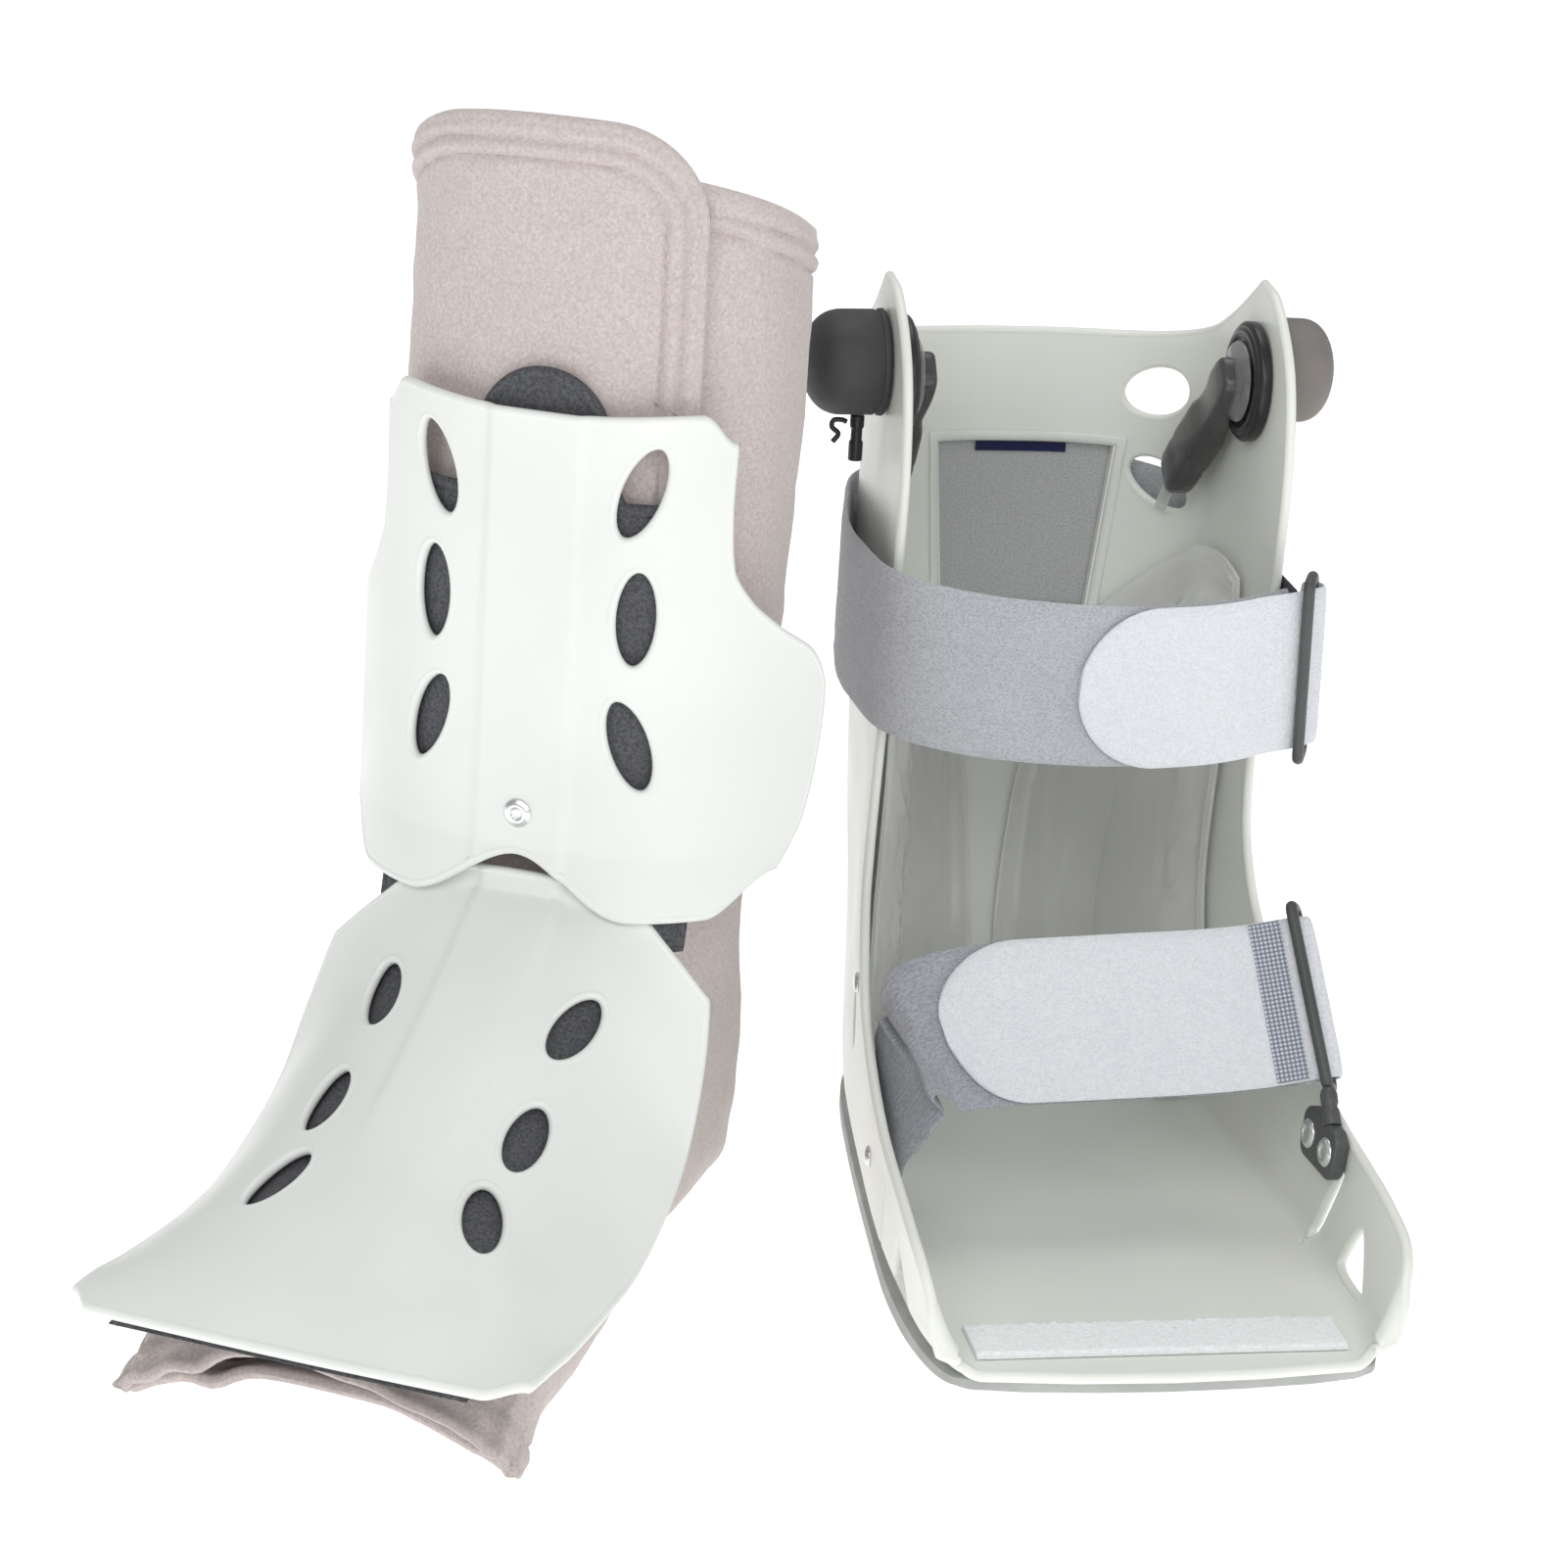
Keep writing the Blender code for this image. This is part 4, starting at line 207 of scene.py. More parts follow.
# Sections of the shell from the toe to the top edge. Each runs from its base line to its rim. Lengths along y
# are shares of SHELL_LENGTH from the heel, heights are shares of the height above the sole, and widths,
# corners and the bow of the toe edge are shares of SHELL_HALF_WIDTH. ease bends the top edge up to the ears.
ShellSection = namedtuple(
    "ShellSection", "base_y base_z rim_y rim_z base_half rim_half corner_side corner_rise bow ease"
)
SHELL_SECTIONS = [
    ShellSection(0.996, 0.000, 0.985, 0.026, 0.840, 0.905, 0.100, 0.075, 0.069, 1.0),
    ShellSection(0.968, 0.000, 0.962, 0.103, 0.915, 0.985, 0.138, 0.138, 0.050, 1.0),
    ShellSection(0.887, 0.000, 0.883, 0.131, 0.952, 1.000, 0.138, 0.138, 0.014, 1.0),
    ShellSection(0.699, 0.000, 0.699, 0.159, 0.945, 0.979, 0.138, 0.138, 0.000, 1.0),
    ShellSection(0.492, 0.000, 0.523, 0.214, 0.883, 0.931, 0.138, 0.138, 0.000, 1.0),
    ShellSection(0.297, 0.000, 0.421, 0.295, 0.814, 0.883, 0.166, 0.166, 0.000, 1.0),
    ShellSection(0.162, 0.003, 0.385, 0.360, 0.752, 0.855, 0.250, 0.250, 0.000, 1.0),
    ShellSection(0.060, 0.036, 0.376, 0.421, 0.703, 0.841, 0.386, 0.372, 0.000, 1.0),
    ShellSection(0.015, 0.133, 0.380, 0.502, 0.703, 0.834, 0.524, 0.497, 0.000, 1.0),
    ShellSection(0.000, 0.299, 0.398, 0.605, 0.752, 0.834, 0.648, 0.593, 0.000, 1.0),
    ShellSection(0.000, 0.483, 0.414, 0.716, 0.786, 0.834, 0.690, 0.634, 0.000, 1.0),
    ShellSection(0.000, 0.690, 0.415, 0.834, 0.807, 0.834, 0.703, 0.648, 0.000, 1.1),
    ShellSection(0.000, 0.808, 0.387, 0.926, 0.807, 0.834, 0.703, 0.648, 0.000, 1.3),
    ShellSection(0.000, 0.871, 0.320, 0.987, 0.807, 0.834, 0.703, 0.621, 0.000, 1.6),
    ShellSection(0.000, 0.889, 0.263, 1.000, 0.807, 0.834, 0.703, 0.593, 0.000, 1.7),
]

# Sections of the outsole: place along the shell's length from the heel, half width as a share of
# SHELL_HALF_WIDTH, and the lift of its underside off the floor as a share of SOLE_ROCKER.
SoleSection = namedtuple("SoleSection", "along half lift")
SOLE_SECTIONS = [
    SoleSection(0.994, 0.720, 0.77),
    SoleSection(0.975, 0.860, 0.65),
    SoleSection(0.895, 0.925, 0.37),
    SoleSection(0.780, 0.940, 0.08),
    SoleSection(0.650, 0.915, 0.00),
    SoleSection(0.400, 0.840, 0.00),
    SoleSection(0.200, 0.750, 0.00),
    SoleSection(0.120, 0.630, 0.25),
    SoleSection(0.070, 0.480, 0.60),
    SoleSection(0.045, 0.300, 1.00),
]

# Front stretch of the upper strap in plan, from the left wall to the ring: across as a share of
# UPPER_FRONT_HALF, forward of the leg's middle as a share of UPPER_FRONT_DEPTH, and the height of its centre
# as a share of SHELL_HEIGHT.
StrapPoint = namedtuple("StrapPoint", "across forward height")
UPPER_FRONT = [
    StrapPoint(-1.000, 0.10, 0.643),
    StrapPoint(-0.995, 0.42, 0.637),
    StrapPoint(-0.900, 0.78, 0.628),
    StrapPoint(-0.540, 0.96, 0.617),
    StrapPoint(0.000, 1.00, 0.609),
    StrapPoint(0.480, 0.98, 0.612),
    StrapPoint(0.800, 0.90, 0.620),
    StrapPoint(0.965, 0.79, 0.623),
]
UPPER_BACK_HEIGHTS = (0.632, 0.662, 0.650)

# Route of the lower strap's centre line from its anchor inside the left wall to the ring. x is a share of
# SHELL_HALF_WIDTH, y a share of SHELL_LENGTH from the heel, z a share of SHELL_HEIGHT, and lean is how far the
# band's width leans back from vertical, in degrees.
LowerPoint = namedtuple("LowerPoint", "x y z lean")
LOWER_ROUTE = [
    LowerPoint(-0.900, 0.568, 0.118, 62.0),
    LowerPoint(-0.895, 0.590, 0.155, 58.0),
    LowerPoint(-0.860, 0.609, 0.200, 51.0),
    LowerPoint(-0.765, 0.616, 0.240, 44.0),
    LowerPoint(-0.550, 0.618, 0.262, 38.0),
    LowerPoint(0.000, 0.619, 0.271, 34.0),
    LowerPoint(0.460, 0.617, 0.276, 34.0),
    LowerPoint(0.770, 0.612, 0.282, 35.0),
    LowerPoint(0.905, 0.608, 0.284, 35.0),
]
LOWER_RING_LEAN = math.radians(11.0)
LOWER_WALL_CLEARANCE = 0.0015
RIM_CLEARANCE = 0.010

# Each cell's outline on the wall: rows of the shell's sections from its bottom to its top, and shares of the
# way round the section from the centre line to the rim.
CELL_BOTTOM_ROW = 5.0
CELL_TOP_ROW = 10.55
CELL_INNER_SHARE = 0.022
CELL_OUTER_LOW = 0.80
CELL_OUTER_HIGH = 0.94
CELL_CORNER = 0.34

# Sections of the liner from the toe round the heel to the top. Each runs from its base, which is the sole or
# the back, to its top, which is the instep or the front. y is a share of LINER_LENGTH from the heel, z a share
# of LINER_HEIGHT and half a share of LINER_HALF_WIDTH. taper narrows the upper side, the powers square the two
# sides, and arch lifts the middle of the sole, as a share of LINER_HALF_WIDTH.
LinerSection = namedtuple(
    "LinerSection", "base_y base_z top_y top_z half taper base_power top_power arch"
)
LINER_SECTIONS = [
    LinerSection(0.990, 0.012, 1.003, 0.118, 0.970, 0.12, 3.6, 2.7, 0.15),
    LinerSection(0.890, 0.006, 0.910, 0.143, 0.950, 0.12, 3.8, 2.5, 0.08),
    LinerSection(0.768, 0.000, 0.794, 0.176, 0.917, 0.12, 4.0, 2.4, 0.02),
    LinerSection(0.631, 0.000, 0.691, 0.212, 0.883, 0.08, 4.0, 2.4, 0.00),
    LinerSection(0.485, 0.000, 0.592, 0.255, 0.825, 0.04, 4.0, 2.4, 0.00),
    LinerSection(0.339, 0.000, 0.519, 0.290, 0.767, 0.00, 3.8, 2.4, 0.00),
    LinerSection(0.193, 0.000, 0.468, 0.318, 0.735, 0.00, 4.0, 2.4, 0.00),
    LinerSection(0.068, 0.006, 0.434, 0.338, 0.725, 0.00, 4.0, 2.3, 0.00),
    LinerSection(0.014, 0.044, 0.420, 0.352, 0.722, 0.00, 3.8, 2.3, 0.00),
    LinerSection(0.000, 0.120, 0.411, 0.370, 0.730, 0.00, 3.0, 2.3, 0.00),
    LinerSection(0.006, 0.225, 0.406, 0.404, 0.740, 0.00, 2.3, 2.3, 0.00),
    LinerSection(0.008, 0.368, 0.402, 0.475, 0.775, 0.00, 2.3, 2.3, 0.00),
    LinerSection(0.002, 0.506, 0.399, 0.577, 0.842, 0.00, 2.3, 2.3, 0.00),
    LinerSection(-0.006, 0.660, 0.395, 0.712, 0.890, 0.00, 2.3, 2.3, 0.00),
    LinerSection(-0.009, 0.790, 0.393, 0.850, 0.915, 0.00, 2.3, 2.3, 0.00),
    LinerSection(-0.009, 0.900, 0.393, 1.000, 0.912, 0.00, 2.3, 2.3, 0.00),
]

# Side edge of the tibia panel: share of the way up it, and half width as a share of TIBIA_HALF_WIDTH.
TibiaEdge = namedtuple("TibiaEdge", "up half")
TIBIA_EDGES = [
    TibiaEdge(0.00, 0.915),
    TibiaEdge(0.10, 0.965),
    TibiaEdge(0.25, 0.992),
    TibiaEdge(0.42, 1.000),
    TibiaEdge(0.50, 0.965),
    TibiaEdge(0.56, 0.885),
    TibiaEdge(0.63, 0.800),
    TibiaEdge(0.71, 0.738),
    TibiaEdge(0.85, 0.722),
    TibiaEdge(1.00, 0.727),
]

# Rows of the foot panel from the toe to the instep: place on the liner's rows, how far the side edge lies
# back and down from the centre as shares of FOOT_PANEL_DROP, and half width as a share of FOOT_PANEL_HALF.
FootRow = namedtuple("FootRow", "row back down half")
FOOT_ROWS = [
    FootRow(-1.0, 0.04, 0.01, 0.985),
    FootRow(0.0, 0.02, 0.14, 1.000),
    FootRow(1.0, -0.02, 0.33, 1.000),
    FootRow(2.0, -0.04, 0.54, 0.990),
    FootRow(3.0, -0.04, 0.72, 0.985),
    FootRow(4.0, -0.04, 0.82, 0.975),
    FootRow(5.0, -0.03, 0.82, 0.960),
    FootRow(6.0, -0.01, 0.68, 0.940),
    FootRow(7.0, 0.04, 0.48, 0.900),
    FootRow(8.1, 0.12, 0.30, 0.850),
]

# Ovals in the two panels, one row for a pair: place up the panel and outward lean of the top, in degrees
OvalPair = namedtuple("OvalPair", "place lean")
TIBIA_OVALS = [OvalPair(0.238, 20.0), OvalPair(0.202, 2.0), OvalPair(0.165, -19.0)]
FOOT_OVALS = [OvalPair(4.62, 14.0), OvalPair(2.98, 0.0), OvalPair(1.75, -21.0)]


# Back vents: turn round the leg, distance below the ears' tops, half sizes and lean in degrees
BackVent = namedtuple("BackVent", "name turn drop half_width half_height lean")
BACK_VENTS = [
    BackVent("upper_vent", math.radians(47.0), 0.0460, 0.0125, 0.0080, 14.0),
    BackVent("lower_vent", math.radians(44.0), 0.0755, 0.0125, 0.0070, -22.0),
]
# Side vents: share of SHELL_LENGTH from the heel, share of SHELL_HEIGHT, size, and outline with +a toward the
# toe in shares of the size
SideVent = namedtuple("SideVent", "name along up size outline")
SIDE_VENTS = [
    SideVent("slot_vent", 0.731, 0.098, 0.0130,
             [(0.50, 1.00), (0.20, 0.92), (-0.62, -0.72), (-0.58, -0.98), (-0.25, -0.95), (0.56, 0.72)]),
    SideVent("kite_vent", 0.836, 0.082, 0.0110,
             [(0.25, 0.70), (-0.15, 0.85), (-0.85, -0.05), (-0.95, -0.70), (0.85, -0.75), (0.95, -0.45)]),
    SideVent("heel_vent", 0.406, 0.200, 0.0120,
             [(0.0, 1.0), (-0.38, 0.6), (-0.50, 0.0), (-0.38, -0.6), (0.0, -1.0), (0.38, -0.6), (0.50, 0.0),
              (0.38, 0.6)]),
]
# Rivets on the outer left wall: share of SHELL_LENGTH from the heel and share of SHELL_HEIGHT
Rivet = namedtuple("Rivet", "along up")
RIVETS = [Rivet(0.624, 0.118), Rivet(0.444, 0.250)]
# Section of a valve nozzle, in shares of its half sizes
CHAMFERED = [(1.0, -0.55), (1.0, 0.55), (0.75, 1.0), (-0.75, 1.0), (-1.0, 0.55), (-1.0, -0.55), (-0.75, -1.0),
             (0.75, -1.0)]

# Steps round each corner and along each side of a shell section
CORNER_STEPS = 14
SIDE_STEPS = 22

SHELL_BACK_Y = 0.0882
HEM_WIDTH = 0.012
RIM_SHARE = 0.54
FOOT_TOP_REACH = 0.9

Station = namedtuple("Station", "centre across normal")
Knot = namedtuple("Knot", "a b c d e f", defaults=(0.0, 0.0, 0.0))


def mesh_from(name, points, faces, outward=True):
    """Mesh with its faces turned outward, if it is closed."""
    mesh = bpy.data.meshes.new(name)
    mesh.from_pydata([tuple(p) for p in points], [], faces)
    if outward:
        shape = bmesh.new()
        shape.from_mesh(mesh)
        bmesh.ops.recalc_face_normals(shape, faces=shape.faces)
        shape.to_mesh(mesh)
        shape.free()
    return mesh


def grid_faces(rows, columns, closed=False, start=0, turned=False):
    """Quads of a grid of points, row by row."""
    faces = []
    for i in range(rows - 1):
        for j in range(columns if closed else columns - 1):
            k = (j + 1) % columns
            face = (i * columns + j, i * columns + k, (i + 1) * columns + k, (i + 1) * columns + j)
            face = tuple(start + corner for corner in face)
            faces.append(face[::-1] if turned else face)
    return faces


def slab_mesh(name, outer, inner):
    """Closed mesh between two grids of the same size."""
    rows = len(outer)
    columns = len(outer[0])
    start = rows * columns
    points = [p for row in outer for p in row] + [p for row in inner for p in row]
    faces = grid_faces(rows, columns) + grid_faces(rows, columns, start=start, turned=True)
    border = [j for j in range(columns)]
    border += [i * columns + columns - 1 for i in range(1, rows)]
    border += [(rows - 1) * columns + j for j in range(columns - 2, -1, -1)]
    border += [i * columns for i in range(rows - 2, 0, -1)]
    for here, there in zip(border, border[1:] + border[:1]):
        faces.append((there, here, start + here, start + there))
    return mesh_from(name, points, faces)


def tree_of_grid(grid):
    """Search tree over one grid of points."""
    points = [p for row in grid for p in row]
    return BVHTree.FromPolygons(points, grid_faces(len(grid), len(grid[0])))


def tree_of_mesh(mesh):
    """Search tree over a mesh."""
    return BVHTree.FromPolygons([v.co for v in mesh.vertices], [p.vertices[:] for p in mesh.polygons])


def smooth_row(rows, place):
    """Row at a fractional place, on a smooth curve through the rows. It runs on straight past the ends."""
    last = len(rows) - 1
    i = min(max(int(math.floor(place)), 0), last - 1)
    t = place - i
    values = []
    for column in range(len(rows[0])):
        here, there = rows[i][column], rows[i + 1][column]
        before = rows[i - 1][column] if i > 0 else 2.0 * here - there
        after = rows[i + 2][column] if i + 2 <= last else 2.0 * there - here
        if t < 0.0:
            values.append(here + 0.5 * (there - before) * t)
        elif t > 1.0:
            values.append(there + 0.5 * (after - here) * (t - 1.0))
        else:
            bend = (
                (2.0 * before - 5.0 * here + 4.0 * there - after) * t
                + (3.0 * here - before - 3.0 * there + after) * t * t
            )
            values.append(here + 0.5 * t * (there - before + bend))
    return type(rows[0])(*values)


def steps(low, high, count):
    """Evenly spaced values, both ends included."""
    return [low + (high - low) * i / (count - 1) for i in range(count)]


def ease(low, high, value):
    """0 below low, 1 above high and smooth between."""
    t = min(max((value - low) / (high - low), 0.0), 1.0)
    return t * t * (3.0 - 2.0 * t)


def surface_normal(surface, a, b, step=0.01):
    """Unit normal of a surface given as a function of two values."""
    along = surface(a + step, b) - surface(a - step, b)
    across = surface(a, b + step) - surface(a, b - step)
    return across.cross(along).normalized()


def shell_profile(row):
    """Half a section as (across, up the section) points, from the centre line to the rim."""
    base_half = row.base_half * SHELL_HALF_WIDTH
    rim_half = row.rim_half * SHELL_HALF_WIDTH
    side = row.corner_side * SHELL_HALF_WIDTH
    rise = row.corner_rise * SHELL_HALF_WIDTH
    height = (shell_line(row, rim=True) - shell_line(row, rim=False)).length
    rise = min(rise, 0.8 * height)
    points = [(share * (base_half - side), 0.0) for share in (0.0, 0.5)]
    for angle in steps(0.0, 0.5 * math.pi, CORNER_STEPS + 1):
        points.append((base_half - side + side * math.sin(angle), rise * (1.0 - math.cos(angle))))
    for share in steps(0.0, 1.0, SIDE_STEPS + 1)[1:]:
        points.append((base_half + share * (rim_half - base_half), rise + share * (height - rise)))
    return points, height


def shell_line(row, rim):
    """Point of the base line or of the rim line in the middle plane."""
    y = SHELL_HEEL_Y - SHELL_LENGTH * (row.rim_y if rim else row.base_y)
    z = SOLE_DEPTH + (SHELL_HEIGHT - SOLE_DEPTH) * max(row.rim_z if rim else row.base_z, 0.0)
    return Vector((0.0, y, z))


def shell_lift(row, across, up, height, side):
    """Point in space of a profile point, on one side (-1 or 1)."""
    base = shell_line(row, rim=False)
    rim = shell_line(row, rim=True)
    share = up / height
    y = base.y + (rim.y - base.y) * share
    z = base.z + (rim.z - base.z) * share ** row.ease
    bow = row.bow * SHELL_HALF_WIDTH * (1.0 - (across / (row.base_half * SHELL_HALF_WIDTH)) ** 2)
    return Vector((side * across, y - max(bow, 0.0), z))


def shell_point(place, share):
    """Point on the shell's outer face: fractional row, and signed share of the way from centre to rim."""
    row = smooth_row(SHELL_SECTIONS, place)
    profile, height = shell_profile(row)
    lengths = [math.dist(a, b) for a, b in zip(profile, profile[1:])]
    distance = min(abs(share), 1.0) * sum(lengths)
    for (here, there), length in zip(zip(profile, profile[1:]), lengths):
        if distance <= length:
            break
        distance -= length
    part = min(distance / length, 1.0)
    across = here[0] + (there[0] - here[0]) * part
    up = here[1] + (there[1] - here[1]) * part
    return shell_lift(row, across, up, height, -1.0 if share < 0.0 else 1.0)


def wall_hit(origin, direction):
    """First point and normal where a ray meets the uncut shell."""
    point, normal, _, _ = SHELL_TREE.ray_cast(Vector(origin), Vector(direction))
    return point, normal


def inside_wall(side, y, z):
    """Point on the inner face of the left (-1) or right (1) wall, and its normal into the shell."""
    point, normal = wall_hit((0.0, y, z), (side, 0.0, 0.0))
    return point, -normal if normal.x * side > 0.0 else normal


def outside_wall(side, y, z):
    """Point on the outer face of a side wall, and its normal away from the shell."""
    point, normal = wall_hit((side * 2.0 * SHELL_HALF_WIDTH, y, z), (-side, 0.0, 0.0))
    return point, normal if normal.x * side > 0.0 else -normal


def oval(half_width, half_length, lean=0.0, count=12):
    """Outline of an oval whose long axis leans from vertical by an angle in degrees."""
    turn = math.radians(lean)
    outline = []
    for i in range(count):
        a = half_width * math.cos(2.0 * math.pi * i / count)
        b = half_length * math.sin(2.0 * math.pi * i / count)
        outline.append((a * math.cos(turn) + b * math.sin(turn), b * math.cos(turn) - a * math.sin(turn)))
    return outline


def window_outline(margin):
    """Corners of the heel window as (x, z), grown by a margin."""
    top = WINDOW_TOP_HALF + margin
    bottom = WINDOW_BOTTOM_HALF + margin
    high = WINDOW_TOP_Z + margin
    low = WINDOW_BOTTOM_Z - margin
    middle = WINDOW_MIDDLE_X
    return [(middle - bottom, low), (middle + bottom, low), (middle + top, high), (middle - top, high)]


def stations_along(centres, acrosses):
    """Stations with normals square to the route and to the band's width."""
    stations = []
    last = len(centres) - 1
    for i, (centre, across) in enumerate(zip(centres, acrosses)):
        run = (centres[min(i + 1, last)] - centres[max(i - 1, 0)]).normalized()
        across = (across - run * across.dot(run)).normalized()
        stations.append(Station(centre, across, run.cross(across).normalized()))
    return stations


def shifted(station, distance):
    """Station moved along its normal."""
    return Station(station.centre + station.normal * distance, station.across, station.normal)


def run_lengths(stations):
    """Distance of each station from the last one, along the route."""
    lengths = [0.0]
    for here, there in zip(stations[::-1], stations[-2::-1]):
        lengths.append(lengths[-1] + (here.centre - there.centre).length)
    return lengths[::-1]


def fold_and_tab(stations, tab_length):
    """Stations of the tab: return leg, fold round the ring's hidden bar, then the outer layer to the tip."""
    radius = RING_BAR_RADIUS + 1.5 * GAP + 0.5 * BAND_THICKNESS
    behind = run_lengths(stations)
    end = stations[-1]
    run = (end.centre - stations[-2].centre).normalized()
    leg = [s for s, d in zip(stations, behind) if d < RETURN_LEG]
    route = [Station(s.centre, s.across, -s.normal) for s in leg]
    bar = end.centre + end.normal * radius
    for angle in steps(-0.5 * math.pi, 0.5 * math.pi, 9)[1:]:
        toward = run * math.cos(angle) + end.normal * math.sin(angle)
        route.append(Station(bar + toward * radius, end.across, toward))
    near = BAND_THICKNESS + LAYER_GAP
    widths = [TAB_WIDTH] * len(route)
    for station, distance in list(zip(stations, behind))[-2::-1]:
        if distance > tab_length:
            break
        lift = 2.0 * radius + (near - 2.0 * radius) * ease(0.0, FOLD_EASE, distance)
        route.append(shifted(station, lift))
        to_tip = tab_length - distance
        rounding = min(to_tip / (0.5 * TAB_WIDTH), 1.0)
        widths.append(TAB_WIDTH * max(math.sqrt(1.0 - (1.0 - rounding) ** 2), 0.12))
    return route, widths, bar, end


def resampled(points, spacing):
    """Points at about even spacing along a smooth curve through the given ones."""
    fine = []
    for i in range(8 * (len(points) - 1) + 1):
        row = smooth_row([Knot(*p) for p in points], i / 8.0)
        fine.append(Vector(row[:3]))
    total = sum((b - a).length for a, b in zip(fine, fine[1:]))
    count = max(int(round(total / spacing)), 2)
    result = [fine[0]]
    walked = 0.0
    for here, there in zip(fine, fine[1:]):
        length = (there - here).length
        while len(result) < count and walked + length >= total * len(result) / count:
            share = (total * len(result) / count - walked) / length
            result.append(here.lerp(there, share))
        walked += length
    result.append(fine[-1])
    return result


def upper_route():
    """Centre line of the upper strap, from the right wall round the back to the ring."""
    half = 0.5 * STRAP_WIDTH
    points = []
    start, back, end = UPPER_BACK_HEIGHTS
    for degrees in range(-8, 166, 12):
        angle = math.radians(degrees)
        toward = Vector((math.cos(angle), math.sin(angle), 0.0))
        share = (degrees + 8.0) / 174.0
        height = start + (back - start) * ease(0.0, 0.5, share) + (end - back) * ease(0.5, 1.0, share)
        reach = 0.0
        for level in (-half, 0.0, half):
            middle = Vector((0.0, LEG_MIDDLE_Y, height * SHELL_HEIGHT + level))
            point, _ = wall_hit(middle + toward * SHELL_LENGTH, -toward)
            if point is not None:
                reach = max(reach, (point - middle).dot(toward))
        reach += UPPER_WALL_CLEARANCE
        points.append((toward.x * reach, LEG_MIDDLE_Y + toward.y * reach, height * SHELL_HEIGHT))
    for row in UPPER_FRONT:
        y = LEG_MIDDLE_Y - row.forward * UPPER_FRONT_DEPTH
        points.append((row.across * UPPER_FRONT_HALF, y, row.height * SHELL_HEIGHT))
    return resampled(points, STRAP_STEP)


def pulled_back(station, before):
    """Station drawn back a little, so that the next band starts clear of it."""
    toward = (before.centre - station.centre).normalized()
    return Station(station.centre + toward * 2.0 * GAP, station.across, station.normal)


def clear_of_wall(centres, acrosses):
    """Centres moved inward until the band's whole width is clear of the left wall and its rim."""
    for _ in range(4):
        moved = []
        for station in stations_along(centres, acrosses):
            need = 0.0
            for edge in steps(-0.5 * STRAP_WIDTH, 0.5 * STRAP_WIDTH, 5):
                spot = station.centre + station.across * edge
                for below in (0.0, 0.5 * RIM_CLEARANCE, RIM_CLEARANCE):
                    wall, _ = wall_hit((0.0, spot.y, spot.z - below), (-1.0, 0.0, 0.0))
                    if wall is not None:
                        need = max(need, wall.x + LOWER_WALL_CLEARANCE - spot.x)
            moved.append(station.centre + Vector((need, 0.0, 0.0)))
        centres = moved
    return centres


def liner_ends(row):
    """Base and top points of a section in the middle plane."""
    base = Vector((0.0, LINER_HEEL_Y - row.base_y * LINER_LENGTH, row.base_z * LINER_HEIGHT))
    top = Vector((0.0, LINER_HEEL_Y - row.top_y * LINER_LENGTH, row.top_z * LINER_HEIGHT))
    return base, top


def liner_point(place, angle):
    """Point on the liner's outer face: fractional row, and angle with 90 degrees at the front or instep."""
    row = smooth_row(LINER_SECTIONS, place)
    base, top = liner_ends(row)
    level, rise = math.cos(angle), math.sin(angle)
    power = row.top_power if rise > 0.0 else row.base_power
    across = math.copysign(abs(level) ** (2.0 / power), level)
    up = math.copysign(abs(rise) ** (2.0 / power), rise)
    x = row.half * LINER_HALF_WIDTH * across * (1.0 - row.taper * max(up, 0.0))
    point = base.lerp(top, 0.5 * (1.0 + up))
    arch = row.arch * LINER_HALF_WIDTH * max(-up, 0.0) * (1.0 - across * across)
    point += Vector((x, 0.0, arch))
    point.z = max(point.z, 0.0)
    return point


def instep_point(place, out):
    """Point out from the liner's top line along its normal in the middle plane."""
    point = liner_ends(smooth_row(LINER_SECTIONS, place))[1]
    ahead = liner_ends(smooth_row(LINER_SECTIONS, place + 0.05))[1]
    behind = liner_ends(smooth_row(LINER_SECTIONS, place - 0.05))[1]
    run = (ahead - behind).normalized()
    return point + Vector((0.0, -run.z, run.y)) * out


def tibia_surface(x, z, depth):
    """Point at a depth behind the tibia panel's outer face."""
    stack = 2.0 * PAD_GAP + GAP + PANEL_WALL + PAD_THICKNESS + FLAP_THICKNESS
    share = abs(x) / TIBIA_HALF_WIDTH
    wrap = TIBIA_DROP * share ** TIBIA_WRAP_POWER
    slope = TIBIA_WRAP_POWER * TIBIA_DROP / TIBIA_HALF_WIDTH * share ** (TIBIA_WRAP_POWER - 1.0)
    tilt = math.atan(slope)
    raised = TIBIA_RIDGE * ridge(x) if depth < PANEL_WALL + GAP else 0.0
    front = front_y(max(z, TIBIA_STRAIGHT_Z)) - TIBIA_FLARE * max(TIBIA_STRAIGHT_Z - z, 0.0)
    y = front - stack + wrap - raised + depth * math.cos(tilt)
    return Vector((x - math.copysign(depth * math.sin(tilt), x), y, z))


def place_of(rows, value):
    """Fractional row of a table at a value of its first column."""
    for i in range(len(rows) - 1):
        if value <= rows[i + 1][0]:
            return i + (value - rows[i][0]) / (rows[i + 1][0] - rows[i][0])
    return len(rows) - 1.0


def spread(count, power=1.25):
    """Shares from -1 to 1, closer together at both edges."""
    return [math.copysign(1.0 - (1.0 - abs(t)) ** power, t) for t in steps(-1.0, 1.0, count)]


